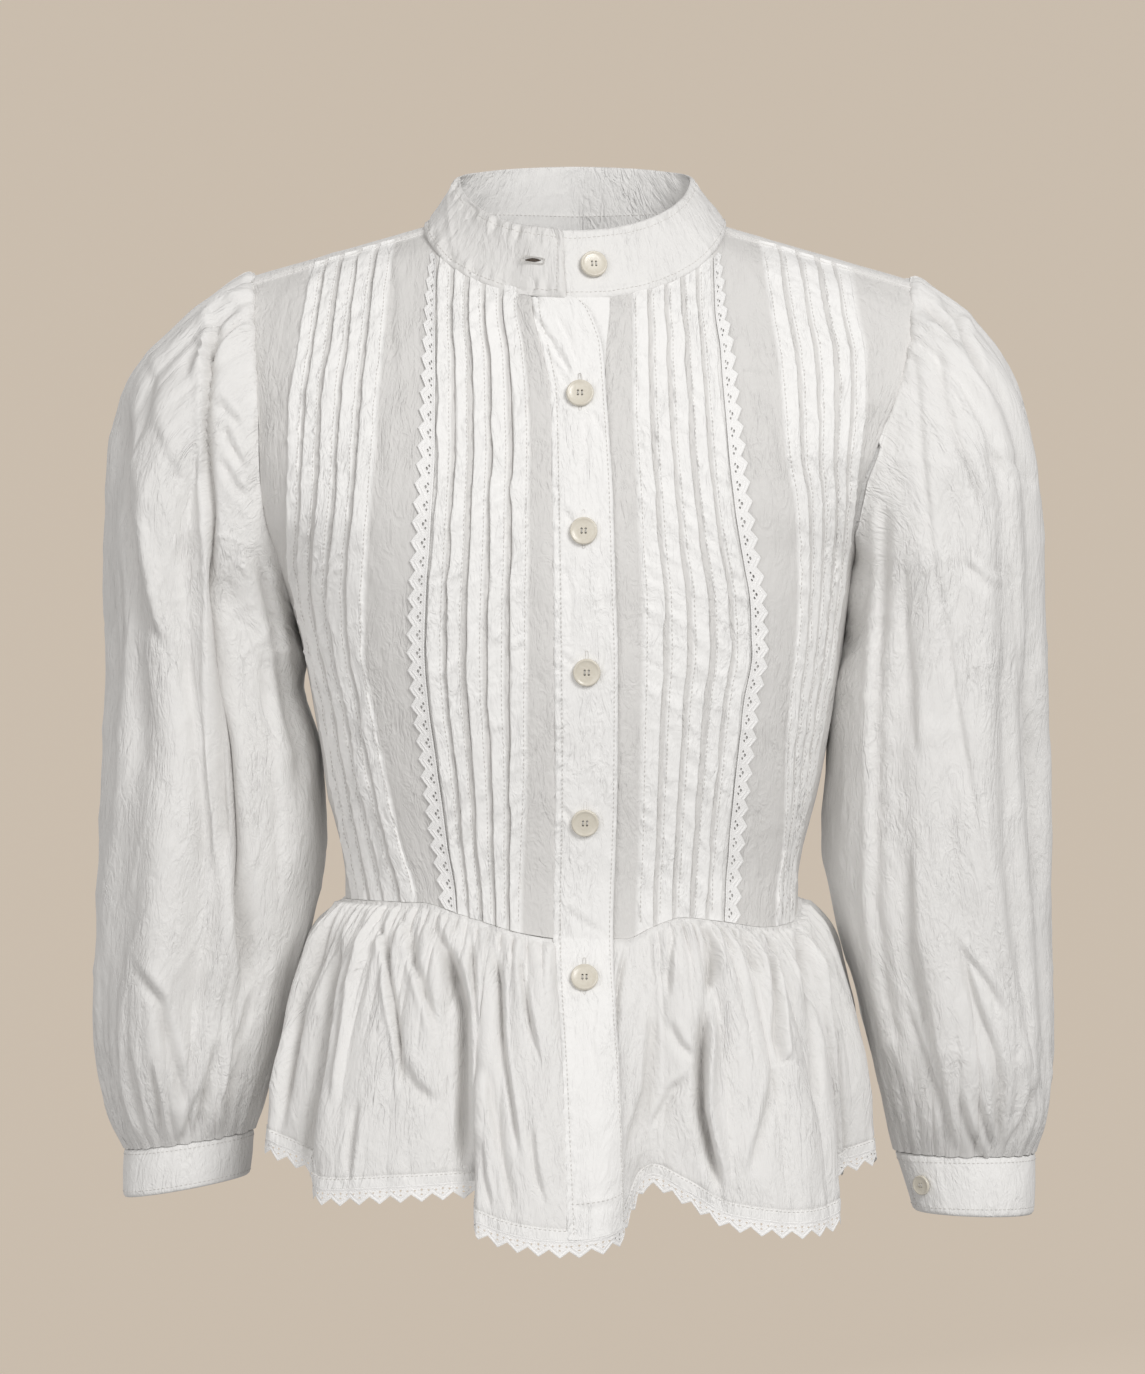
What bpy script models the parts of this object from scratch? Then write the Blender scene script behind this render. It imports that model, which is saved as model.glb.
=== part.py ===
"""A Victorian-style white cotton blouse, worn and hollow, in metres with +Z up.

The origin lies between the shoulders, level with the sides of the collar's seam. The front faces -Y,
and the wearer's right side is at -X. Every piece of cloth is a closed wall: a grid of points on a
rounded form, with the tucks, gathers and folds raised in its outer points.
"""

import math

import bpy
import numpy as np
from mathutils import Matrix, Vector

# Cloth and seams
CLOTH = 0.0012
STIFF_CLOTH = 0.0016
SEAM_GAP = 0.0003
SHOULDER_SEAM_GAP = 0.00008
ARMHOLE_GAP = 0.0007
UNDERARM_GAP = 0.0031
LAY_GAP = 0.0004

# Heights of the torso's landmarks
SHOULDER_RIDGE = 0.031
SHOULDER_SEAM = 0.024
UNDERARM = -0.205
UNDERARM_CURVE = 0.030
SHOULDER_SLOPE = 0.29
SLOPE_FADES_FROM = -0.030
SLOPE_FADES_TO = -0.200

# Neck seam and collar
NECK_HALF_WIDTH = 0.086
NECK_SIDE_HEIGHT = 0.005
NECK_FRONT_DROP = 0.048
NECK_BACK_RISE = 0.0095
COLLAR_TOP_HALF_WIDTH = 0.0665
COLLAR_TOP_FRONT = -0.070
COLLAR_TOP_BACK = 0.048
COLLAR_TOP_SIDE_HEIGHT = 0.034
COLLAR_TOP_FRONT_DROP = 0.038
COLLAR_TOP_BACK_RISE = 0.013
COLLAR_GAP_ANGLE = -4.5
COLLAR_GAP = 0.8

# Tucks and trims
TUCKS_IN_GROUP = 5
TUCK_HEIGHT = 0.0013
TUCK_SHARE = 0.80
FOLD_SLOPE = 0.03
LACE_WIDTH = 0.0105
LACE_PITCH = 0.010
LACE_POINT = 0.0036
LACE_CLOTH = 0.0010
LACE_LIFT = 0.0006

# Buttons
BUTTON_RADIUS = 0.0075
BUTTON_HEIGHT = 0.0030
BUTTON_STEPS = 10
CUFF_BUTTON_SCALE = 0.75

# Gathers
GATHER_HEIGHT = 0.0022
CAP_GATHER_HEIGHT = 0.0030
CUFF_GATHER_HEIGHT = 0.0028


class Table:
    """Rows of sizes against their first column, read between the rows on a curve that never overshoots."""

    def __init__(self, names, rows):
        grid = np.array(sorted(rows), float)
        self.key = grid[:, 0]
        self.columns = {name: grid[:, i + 1] for i, name in enumerate(names)}

    def read(self, name, at):
        key, value = self.key, self.columns[name]
        step = np.diff(key)
        slope = np.diff(value) / step
        tangent = np.empty_like(value)
        tangent[0], tangent[-1] = slope[0], slope[-1]
        before, after = slope[:-1], slope[1:]
        together = before * after > 0
        total = np.where(together, before + after, 1.0)
        tangent[1:-1] = np.where(together, 2 * before * after / total, 0.0)
        at = np.clip(np.asarray(at, float), key[0], key[-1])
        i = np.clip(np.searchsorted(key, at, side="right") - 1, 0, len(key) - 2)
        t = (at - key[i]) / step[i]
        return (
            (2 * t**3 - 3 * t**2 + 1) * value[i]
            + (t**3 - 2 * t**2 + t) * step[i] * tangent[i]
            + (3 * t**2 - 2 * t**3) * value[i + 1]
            + (t**3 - t**2) * step[i] * tangent[i + 1]
        )


# The torso's rings: half-widths to the wearer's right and left, depths before and behind, squareness.
TORSO = Table(
    ("right", "left", "front", "back", "square"),
    (
        (0.031, 0.216, 0.224, -0.004, 0.004, 2.6),
        (0.028, 0.215, 0.223, 0.012, 0.026, 2.6),
        (0.024, 0.215, 0.222, 0.022, 0.036, 2.6),
        (0.010, 0.213, 0.220, 0.045, 0.057, 2.6),
        (-0.020, 0.209, 0.214, 0.069, 0.077, 2.6),
        (-0.043, 0.206, 0.208, 0.083, 0.087, 2.6),
        (-0.070, 0.202, 0.200, 0.093, 0.096, 2.5),
        (-0.100, 0.198, 0.192, 0.102, 0.103, 2.5),
        (-0.130, 0.194, 0.181, 0.109, 0.107, 2.4),
        (-0.160, 0.187, 0.171, 0.114, 0.109, 2.4),
        (-0.187, 0.176, 0.163, 0.117, 0.108, 2.3),
        (-0.211, 0.165, 0.1585, 0.118, 0.105, 2.3),
        (-0.240, 0.157, 0.154, 0.117, 0.102, 2.3),
        (-0.270, 0.1515, 0.149, 0.114, 0.098, 2.3),
        (-0.300, 0.1465, 0.144, 0.109, 0.093, 2.3),
        (-0.322, 0.143, 0.140, 0.105, 0.089, 2.3),
        (-0.340, 0.1385, 0.1355, 0.101, 0.086, 2.3),
        (-0.357, 0.1345, 0.131, 0.098, 0.084, 2.3),
        (-0.374, 0.1325, 0.1285, 0.0955, 0.0825, 2.3),
        (-0.410, 0.1325, 0.1290, 0.0945, 0.0820, 2.3),
    ),
)

# Where the wearer's right front's lines run across, by height: the placket's seam, the inner tucks,
# the outer tucks. The first tuck of the inner group from the side has the lace under its fold.
RIGHT_LINES = Table(
    ("placket", "inner_near", "inner_far", "outer_near", "outer_far"),
    (
        (0.005, -0.0240, -0.0320, -0.0765, -0.1040, -0.1480),
        (-0.048, -0.0250, -0.0330, -0.0770, -0.1080, -0.1540),
        (-0.073, -0.0200, -0.0292, -0.0765, -0.1092, -0.1570),
        (-0.103, -0.0140, -0.0268, -0.0762, -0.1118, -0.1605),
        (-0.131, -0.0133, -0.0260, -0.0762, -0.1130, -0.1612),
        (-0.159, -0.0127, -0.0265, -0.0775, -0.1150, -0.1614),
        (-0.187, -0.0127, -0.0265, -0.0790, -0.1168, -0.1625),
        (-0.214, -0.0122, -0.0270, -0.0805, -0.1185, -0.1590),
        (-0.242, -0.0117, -0.0270, -0.0812, -0.1187, -0.1525),
        (-0.269, -0.0117, -0.0276, -0.0798, -0.1145, -0.1465),
        (-0.297, -0.0117, -0.0276, -0.0762, -0.1098, -0.1415),
        (-0.325, -0.0112, -0.0283, -0.0726, -0.1040, -0.1365),
        (-0.353, -0.0118, -0.0296, -0.0695, -0.0970, -0.1310),
        (-0.376, -0.0123, -0.0307, -0.0660, -0.0905, -0.1275),
        (-0.405, -0.0124, -0.0312, -0.0640, -0.0880, -0.1250),
    ),
)
LEFT_LINES = Table(
    ("placket", "inner_near", "inner_far", "outer_near", "outer_far"),
    (
        (0.005, 0.0195, 0.0330, 0.0765, 0.1060, 0.1560),
        (-0.048, 0.0195, 0.0332, 0.0768, 0.1115, 0.1600),
        (-0.073, 0.0175, 0.0335, 0.0795, 0.1150, 0.1645),
        (-0.103, 0.0162, 0.0335, 0.0815, 0.1175, 0.1640),
        (-0.131, 0.0155, 0.0347, 0.0835, 0.1190, 0.1605),
        (-0.159, 0.0155, 0.0363, 0.0860, 0.1240, 0.1580),
        (-0.187, 0.0155, 0.0373, 0.0905, 0.1255, 0.1550),
        (-0.214, 0.0155, 0.0390, 0.0955, 0.1257, 0.1515),
        (-0.242, 0.0155, 0.0390, 0.0967, 0.1240, 0.1480),
        (-0.269, 0.0155, 0.0385, 0.0923, 0.1208, 0.1435),
        (-0.297, 0.0155, 0.0380, 0.0892, 0.1193, 0.1390),
        (-0.325, 0.0155, 0.0376, 0.0861, 0.1190, 0.1340),
        (-0.353, 0.0155, 0.0371, 0.0834, 0.1180, 0.1275),
        (-0.376, 0.0155, 0.0360, 0.0818, 0.1150, 0.1255),
        (-0.405, 0.0155, 0.0355, 0.0810, 0.1140, 0.1250),
    ),
)

# The armhole seams: how far out they lie, before and behind, by height.
RIGHT_ARMHOLE = Table(
    ("front", "back"),
    (
        (-0.0235, 0.1870, 0.1870),
        (-0.0500, 0.1860, 0.1800),
        (-0.0720, 0.1840, 0.1750),
        (-0.1030, 0.1800, 0.1710),
        (-0.1360, 0.1785, 0.1700),
        (-0.1620, 0.1775, 0.1705),
        (-0.1870, 0.1710, 0.1690),
        (-0.2050, 0.1675, 0.1675),
    ),
)
LEFT_ARMHOLE = Table(
    ("front", "back"),
    (
        (-0.0255, 0.1950, 0.1950),
        (-0.0500, 0.1948, 0.1860),
        (-0.0720, 0.1920, 0.1780),
        (-0.0910, 0.1850, 0.1720),
        (-0.1140, 0.1754, 0.1670),
        (-0.1330, 0.1680, 0.1650),
        (-0.1480, 0.1622, 0.1630),
        (-0.1810, 0.1580, 0.1600),
        (-0.2050, 0.1597, 0.1597),
    ),
)

# The waist seam's and the hem's heights by the angle round from the centre front.
WAIST_SEAM = Table(
    ("height",),
    (
        (-180, -0.3840),
        (-90, -0.3845),
        (-60, -0.3835),
        (-38, -0.3835),
        (-22, -0.3920),
        (-10, -0.4000),
        (0, -0.4030),
        (10, -0.4030),
        (16, -0.3970),
        (24, -0.3915),
        (36, -0.3940),
        (55, -0.3985),
        (72, -0.3970),
        (90, -0.3850),
        (180, -0.3840),
    ),
)
HEM = Table(
    ("height",),
    (
        (-180, -0.528),
        (-120, -0.520),
        (-88, -0.507),
        (-65, -0.5205),
        (-47, -0.541),
        (-32, -0.538),
        (-17, -0.5355),
        (-14, -0.555),
        (0, -0.565),
        (6, -0.559),
        (9, -0.545),
        (12, -0.535),
        (15, -0.5315),
        (21, -0.540),
        (28, -0.553),
        (42, -0.5585),
        (54, -0.553),
        (60, -0.539),
        (80, -0.526),
        (120, -0.524),
        (180, -0.528),
    ),
)

# The peplum's rings by the share of the way from the waist seam to the hem.
PEPLUM = Table(
    ("right", "left", "front", "back"),
    (
        (0.00, 0.1325, 0.1290, 0.0945, 0.0820),
        (0.10, 0.1400, 0.1385, 0.1010, 0.0900),
        (0.25, 0.1510, 0.1500, 0.1110, 0.1020),
        (0.50, 0.1640, 0.1620, 0.1240, 0.1180),
        (0.75, 0.1710, 0.1680, 0.1330, 0.1290),
        (1.00, 0.1750, 0.1700, 0.1400, 0.1370),
    ),
)
PEPLUM_SQUARENESS = 2.3

# The peplum's folds at the hem: how far each place stands out, by angle.
PEPLUM_FOLDS = Table(
    ("out",),
    (
        (-180, 0.008),
        (-171, -0.009),
        (-161, 0.010),
        (-152, -0.009),
        (-141, 0.011),
        (-131, -0.008),
        (-120, 0.010),
        (-110, -0.009),
        (-100, 0.002),
        (-90, -0.008),
        (-78, -0.006),
        (-68, 0.009),
        (-58, -0.004),
        (-47, 0.008),
        (-38, 0.003),
        (-26, -0.010),
        (-17, -0.022),
        (-14, 0.005),
        (-6, 0.008),
        (2, 0.007),
        (8, -0.012),
        (13, -0.026),
        (20, -0.018),
        (27, -0.004),
        (41, 0.009),
        (51, 0.010),
        (56, 0.002),
        (61, -0.018),
        (70, -0.008),
        (79, 0.004),
        (90, -0.008),
        (100, 0.002),
        (110, -0.009),
        (120, 0.010),
        (131, -0.008),
        (141, 0.010),
        (152, -0.010),
        (161, 0.009),
        (171, -0.008),
        (180, 0.008),
    ),
)

# The sleeves' rings by share of their length: the outer and inner edges seen from the front, as a
# distance out and a height, then half the depth and where its middle lies.
RIGHT_SLEEVE = Table(
    ("outer", "outer_z", "inner", "inner_z", "depth", "middle"),
    (
        (0.00, 0.1875, -0.0230, 0.1680, -0.2055, 0.060, 0.000),
        (0.03, 0.1980, -0.0250, 0.1695, -0.2070, 0.062, 0.002),
        (0.07, 0.2120, -0.0340, 0.1715, -0.2090, 0.067, 0.004),
        (0.13, 0.2370, -0.0580, 0.1740, -0.2130, 0.072, 0.007),
        (0.19, 0.2560, -0.0820, 0.1755, -0.2190, 0.075, 0.010),
        (0.27, 0.2700, -0.1270, 0.1750, -0.2290, 0.076, 0.013),
        (0.36, 0.2740, -0.1800, 0.1700, -0.2420, 0.076, 0.016),
        (0.46, 0.2750, -0.2400, 0.1620, -0.2650, 0.076, 0.019),
        (0.56, 0.2770, -0.3000, 0.1510, -0.3020, 0.076, 0.021),
        (0.65, 0.2785, -0.3500, 0.1480, -0.3500, 0.075, 0.023),
        (0.74, 0.2810, -0.4000, 0.1560, -0.4000, 0.073, 0.024),
        (0.82, 0.2810, -0.4400, 0.1670, -0.4400, 0.068, 0.024),
        (0.90, 0.2780, -0.4800, 0.1770, -0.4780, 0.058, 0.022),
        (0.96, 0.2710, -0.5120, 0.1850, -0.5040, 0.044, 0.019),
        (1.00, 0.2625, -0.5310, 0.1895, -0.5200, 0.029, 0.016),
    ),
)
LEFT_SLEEVE = Table(
    ("outer", "outer_z", "inner", "inner_z", "depth", "middle"),
    (
        (0.00, 0.1955, -0.0250, 0.1602, -0.2055, 0.060, 0.000),
        (0.03, 0.2060, -0.0310, 0.1625, -0.2070, 0.060, -0.001),
        (0.07, 0.2180, -0.0410, 0.1650, -0.2095, 0.065, -0.002),
        (0.13, 0.2370, -0.0590, 0.1675, -0.2140, 0.071, -0.003),
        (0.19, 0.2520, -0.0820, 0.1680, -0.2200, 0.074, -0.003),
        (0.27, 0.2660, -0.1300, 0.1670, -0.2300, 0.075, -0.002),
        (0.36, 0.2700, -0.1800, 0.1635, -0.2430, 0.075, 0.000),
        (0.46, 0.2720, -0.2400, 0.1570, -0.2650, 0.075, 0.003),
        (0.56, 0.2740, -0.3000, 0.1480, -0.3020, 0.075, 0.006),
        (0.65, 0.2755, -0.3500, 0.1460, -0.3500, 0.075, 0.009),
        (0.74, 0.2775, -0.4000, 0.1540, -0.4000, 0.073, 0.012),
        (0.82, 0.2785, -0.4400, 0.1660, -0.4400, 0.069, 0.014),
        (0.90, 0.2775, -0.4800, 0.1760, -0.4800, 0.060, 0.014),
        (0.96, 0.2740, -0.5120, 0.1830, -0.5110, 0.046, 0.013),
        (1.00, 0.2680, -0.5330, 0.1880, -0.5320, 0.030, 0.012),
    ),
)

# The sleeves' long folds: where they lie round the sleeve at its top and at its foot (0 outwards,
# 90 to the front), how deep and how wide they are, and the share of the length where each starts and ends.
RIGHT_SLEEVE_FOLDS = (
    # top, foot, depth, width, start, end
    (84, 100, -0.0120, 13, 0.06, 0.93),
    (40, 62, -0.0060, 11, 0.10, 0.62),
    (20, 30, -0.0045, 9, 0.16, 0.70),
    (118, 128, -0.0060, 12, 0.20, 0.95),
    (-35, -30, -0.0060, 12, 0.08, 0.85),
    (-70, -84, -0.0090, 13, 0.08, 0.93),
    (-115, -122, -0.0060, 12, 0.20, 0.95),
    (55, 78, 0.0060, 16, 0.55, 1.00),
    (-52, -58, 0.0050, 16, 0.45, 1.00),
)
LEFT_SLEEVE_FOLDS = (
    (62, 48, -0.0070, 10, 0.05, 0.90),
    (38, 24, -0.0060, 9, 0.08, 0.70),
    (92, 84, -0.0060, 12, 0.12, 0.96),
    (120, 118, -0.0060, 11, 0.22, 0.96),
    (14, 34, -0.0070, 10, 0.48, 0.98),
    (-35, -32, -0.0060, 12, 0.08, 0.85),
    (-70, -80, -0.0085, 13, 0.08, 0.93),
    (-115, -120, -0.0060, 12, 0.20, 0.95),
    (-55, -58, 0.0050, 16, 0.45, 1.00),
)

# The cuffs: as the sleeves' rings, at the top and at the foot.
RIGHT_CUFF = Table(
    ("outer", "outer_z", "inner", "inner_z", "depth", "middle"),
    (
        (0.0, 0.2620, -0.5318, 0.1900, -0.5208, 0.0280, 0.016),
        (0.5, 0.2628, -0.5460, 0.1905, -0.5340, 0.0280, 0.015),
        (1.0, 0.2625, -0.5600, 0.1925, -0.5470, 0.0270, 0.014),
    ),
)
LEFT_CUFF = Table(
    ("outer", "outer_z", "inner", "inner_z", "depth", "middle"),
    (
        (0.0, 0.2672, -0.5338, 0.1885, -0.5328, 0.0290, 0.012),
        (0.5, 0.2672, -0.5500, 0.1940, -0.5500, 0.0290, 0.010),
        (1.0, 0.2660, -0.5690, 0.1995, -0.5670, 0.0280, 0.008),
    ),
)

# The placket's edges across, by height: the over placket, then the under one beneath it.
PLACKET = Table(
    ("seam", "edge"),
    (
        (-0.0400, -0.0250, -0.0058),
        (-0.0480, -0.0236, 0.0052),
        (-0.0570, -0.0225, 0.0100),
        (-0.0720, -0.0190, 0.0150),
        (-0.1010, -0.0138, 0.0172),
        (-0.1500, -0.0130, 0.0205),
        (-0.2000, -0.0122, 0.0220),
        (-0.2500, -0.0117, 0.0235),
        (-0.3200, -0.0112, 0.0232),
        (-0.4000, -0.0124, 0.0210),
        (-0.4800, -0.0080, 0.0235),
        (-0.5700, -0.0040, 0.0262),
    ),
)
UNDER_PLACKET_LEFT = -0.0030
OVER_PLACKET_LIFT = 0.0025
UNDER_MARGIN = 0.0055
LIFT_FADES_OVER = 0.030

PLACKET_BUTTONS = (
    # across, height
    (0.0027, -0.0998),
    (0.0048, -0.1762),
    (0.0065, -0.2534),
    (0.0056, -0.3365),
    (0.0052, -0.4254),
)
COLLAR_BUTTON_ANGLE = 7.5
COLLAR_BUTTON_SHARE = 0.45

# The back's columns: the share of the way to the side at the waist, and how far across they end.
BACK_COLUMNS = Table(
    ("top",),
    (
        (0.00, 0.000),
        (0.18, 0.032),
        (0.33, 0.058),
        (0.44, 0.077),
        (0.48, 0.0842),
        (0.51, 0.0862),
        (0.64, 0.112),
        (0.77, 0.136),
        (0.88, 0.152),
        (0.95, 0.161),
        (1.00, 0.172),
    ),
)
RIDGE_LEVELS = (SHOULDER_RIDGE - 0.0004, SHOULDER_RIDGE - 0.0024, SHOULDER_SEAM + SHOULDER_SEAM_GAP)
WAIST_HEIGHT = -0.384

# How finely the cloth is divided
FORM_STEPS = 16
ROWS_BELOW_UNDERARM = 5
ROWS_ABOVE_UNDERARM = 7
BACK_ROWS_BELOW = 4
BACK_ROWS_ABOVE = 6
PEPLUM_ROWS = 6
GATHERS_FRONT = 17
GATHERS_BACK = 28
SLEEVE_CAP_GATHERS = 10
SLEEVE_UNDER_GATHERS = 12
CAP_ANGLE = 66
SLEEVE_ROWS = np.array((0.0, 0.03, 0.07, 0.13, 0.21, 0.32, 0.46, 0.60, 0.72, 0.82, 0.91, 0.96, 1.0))
PLACKET_ROWS = 17
COLLAR_COLUMNS = 37
CUFF_COLUMNS = 26

WHITE_COTTON = (0.80, 0.79, 0.77, 1.0)
LACE_WHITE = (0.84, 0.83, 0.81, 1.0)
SHELL_CREAM = (0.72, 0.66, 0.55, 1.0)


def smooth(share):
    """0 below 0 and 1 above 1, with soft ends."""
    share = np.clip(share, 0.0, 1.0)
    return share * share * (3 - 2 * share)


def mix(a, b, share):
    return a + (b - a) * share


def unit(vectors):
    return vectors / np.maximum(np.linalg.norm(vectors, axis=-1, keepdims=True), 1e-12)


# ---------------------------------------------------------------- the torso's form


def slope_at(level):
    """How steeply the rings drop towards the arms: as the shoulders above, level at the chest."""
    return SHOULDER_SLOPE * smooth((level - SLOPE_FADES_TO) / (SLOPE_FADES_FROM - SLOPE_FADES_TO))


def level_at(x, z):
    """The ring that a place lies on."""
    level = np.asarray(z, float)
    for _ in range(FORM_STEPS):
        level = z + slope_at(level) * np.abs(x)
    return level


def half_width(side, level):
    return np.where(side < 0, TORSO.read("right", level), TORSO.read("left", level))


def torso_point(angle, z):
    """A place on the torso by its angle from the centre front, in degrees, and its height."""
    turn = np.radians(angle)
    sine, cosine = np.sin(turn), np.cos(turn)
    level = np.zeros(np.broadcast(turn, z).shape) + z
    for _ in range(FORM_STEPS):
        power = 2 / TORSO.read("square", level)
        x = np.sign(sine) * half_width(sine, level) * np.abs(sine) ** power
        level = z + slope_at(level) * np.abs(x)
    depth = np.where(cosine > 0, -TORSO.read("front", level), TORSO.read("back", level))
    return np.stack(np.broadcast_arrays(x, depth * np.abs(cosine) ** power, z), axis=-1)


def torso_normal(angle, z):
    """The way the torso faces at a place."""
    across = torso_point(angle + 0.5, z) - torso_point(angle - 0.5, z)
    up = torso_point(angle, z + 0.002) - torso_point(angle, z - 0.002)
    return unit(np.cross(across, up))


def angle_across(x, z, behind=False):
    """The angle round from the centre front of a place that far across, in degrees."""
    level = level_at(x, z)
    share = np.clip(np.abs(x) / half_width(x, level), 0.0, 0.985)
    angle = np.degrees(np.arcsin(share ** (TORSO.read("square", level) / 2)))
    return np.where(x < 0, -1, 1) * np.where(behind, 180 - angle, angle)


def armhole_angle(side, armhole, z, behind=False):
    """The angle round of the armhole seam, which starts from the side seam under the arm."""
    across = side * armhole.read("back" if behind else "front", z)
    away = np.abs(angle_across(across, z, behind))
    gap = math.degrees(SEAM_GAP / 2 / TORSO.read("front", UNDERARM))
    side_seam = 90 + gap if behind else 90 - gap
    return side * mix(side_seam, away, smooth((z - UNDERARM) / UNDERARM_CURVE))


def neck_height(x, behind=False):
    """The neck seam's height that far across."""
    along = np.sqrt(np.clip(1 - (x / NECK_HALF_WIDTH) ** 2, 0, 1))
    return NECK_SIDE_HEIGHT + np.where(behind, NECK_BACK_RISE, -NECK_FRONT_DROP) * along


def shoulder_height(x, level=SHOULDER_SEAM):
    return level - SHOULDER_SLOPE * np.abs(x)


# ---------------------------------------------------------------- walls of cloth


def normals_of(grid, wrap, towards):
    """Unit normals of a grid of points, on the side that towards says for its middle point."""
    if wrap:
        around = np.roll(grid, -1, axis=1) - np.roll(grid, 1, axis=1)
    else:
        around = np.gradient(grid, axis=1)
    normal = unit(np.cross(np.gradient(grid, axis=0), around))
    row, column = grid.shape[0] // 2, grid.shape[1] // 4
    return normal * np.sign(normal[row, column] @ np.array(towards, float))


def level_rows(normals, *rows):
    """Turns the normals of whole rows level, so that a seam's two walls meet face to face."""
    for row in rows:
        normals[row] = unit(normals[row] * np.array((1.0, 1.0, 0.0)))
    return normals


def material(name, colour, roughness):
    made = bpy.data.materials.get(name) or bpy.data.materials.new(name)
    made.use_nodes = True
    shader = made.node_tree.nodes["Principled BSDF"]
    shader.inputs["Base Color"].default_value = colour
    shader.inputs["Roughness"].default_value = roughness
    shader.inputs["Metallic"].default_value = 0.0
    return made


def cotton():
    return material("white_cotton", WHITE_COTTON, 0.85)


def lace():
    return material("cotton_lace", LACE_WHITE, 0.9)


def wall(name, outer, inner, wrap, finish, slanted=False):
    """A closed wall between an outer and an inner grid of points, open at its ends or round as a tube.

    Where the grid is slanted, each four-sided face is divided along its shorter diagonal.
    """
    rows, columns = outer.shape[:2]
    points = np.concatenate((outer.reshape(-1, 3), inner.reshape(-1, 3)))
    behind = rows * columns
    faces = []
    for i in range(rows - 1):
        for j in range(columns if wrap else columns - 1):
            a, b = i * columns + j, i * columns + (j + 1) % columns
            c, d = b + columns, a + columns
            shapes = ((a, b, c, d),)
            if slanted and np.linalg.norm(points[a] - points[c]) < np.linalg.norm(points[b] - points[d]):
                shapes = ((a, b, c), (a, c, d))
            elif slanted:
                shapes = ((a, b, d), (b, c, d))
            for shape in shapes:
                faces.append(shape)
                faces.append(tuple(point + behind for point in reversed(shape)))
    for j in range(columns if wrap else columns - 1):
        for row, turned in ((0, False), (rows - 1, True)):
            a, b = row * columns + j, row * columns + (j + 1) % columns
            rim = (a, a + behind, b + behind, b)
            faces.append(rim[::-1] if turned else rim)
    if not wrap:
        for i in range(rows - 1):
            for column, turned in ((0, True), (columns - 1, False)):
                a, b = i * columns + column, (i + 1) * columns + column
                rim = (a, a + behind, b + behind, b)
                faces.append(rim[::-1] if turned else rim)
    mesh = bpy.data.meshes.new(name)
    mesh.from_pydata(points.tolist(), [], faces)
    mesh.materials.append(finish)
    if signed_volume(mesh) < 0:
        mesh.flip_normals()
    return add_piece(name, mesh)


def signed_volume(mesh):
    mesh.calc_loop_triangles()
    return sum(
        mesh.vertices[t.vertices[0]].co.dot(
            mesh.vertices[t.vertices[1]].co.cross(mesh.vertices[t.vertices[2]].co)
        )
        for t in mesh.loop_triangles
    )


def add_piece(name, mesh):
    piece = bpy.data.objects.new(name, mesh)
    bpy.data.collections["victorian_blouse"].objects.link(piece)
    return piece


# ---------------------------------------------------------------- bodice


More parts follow.
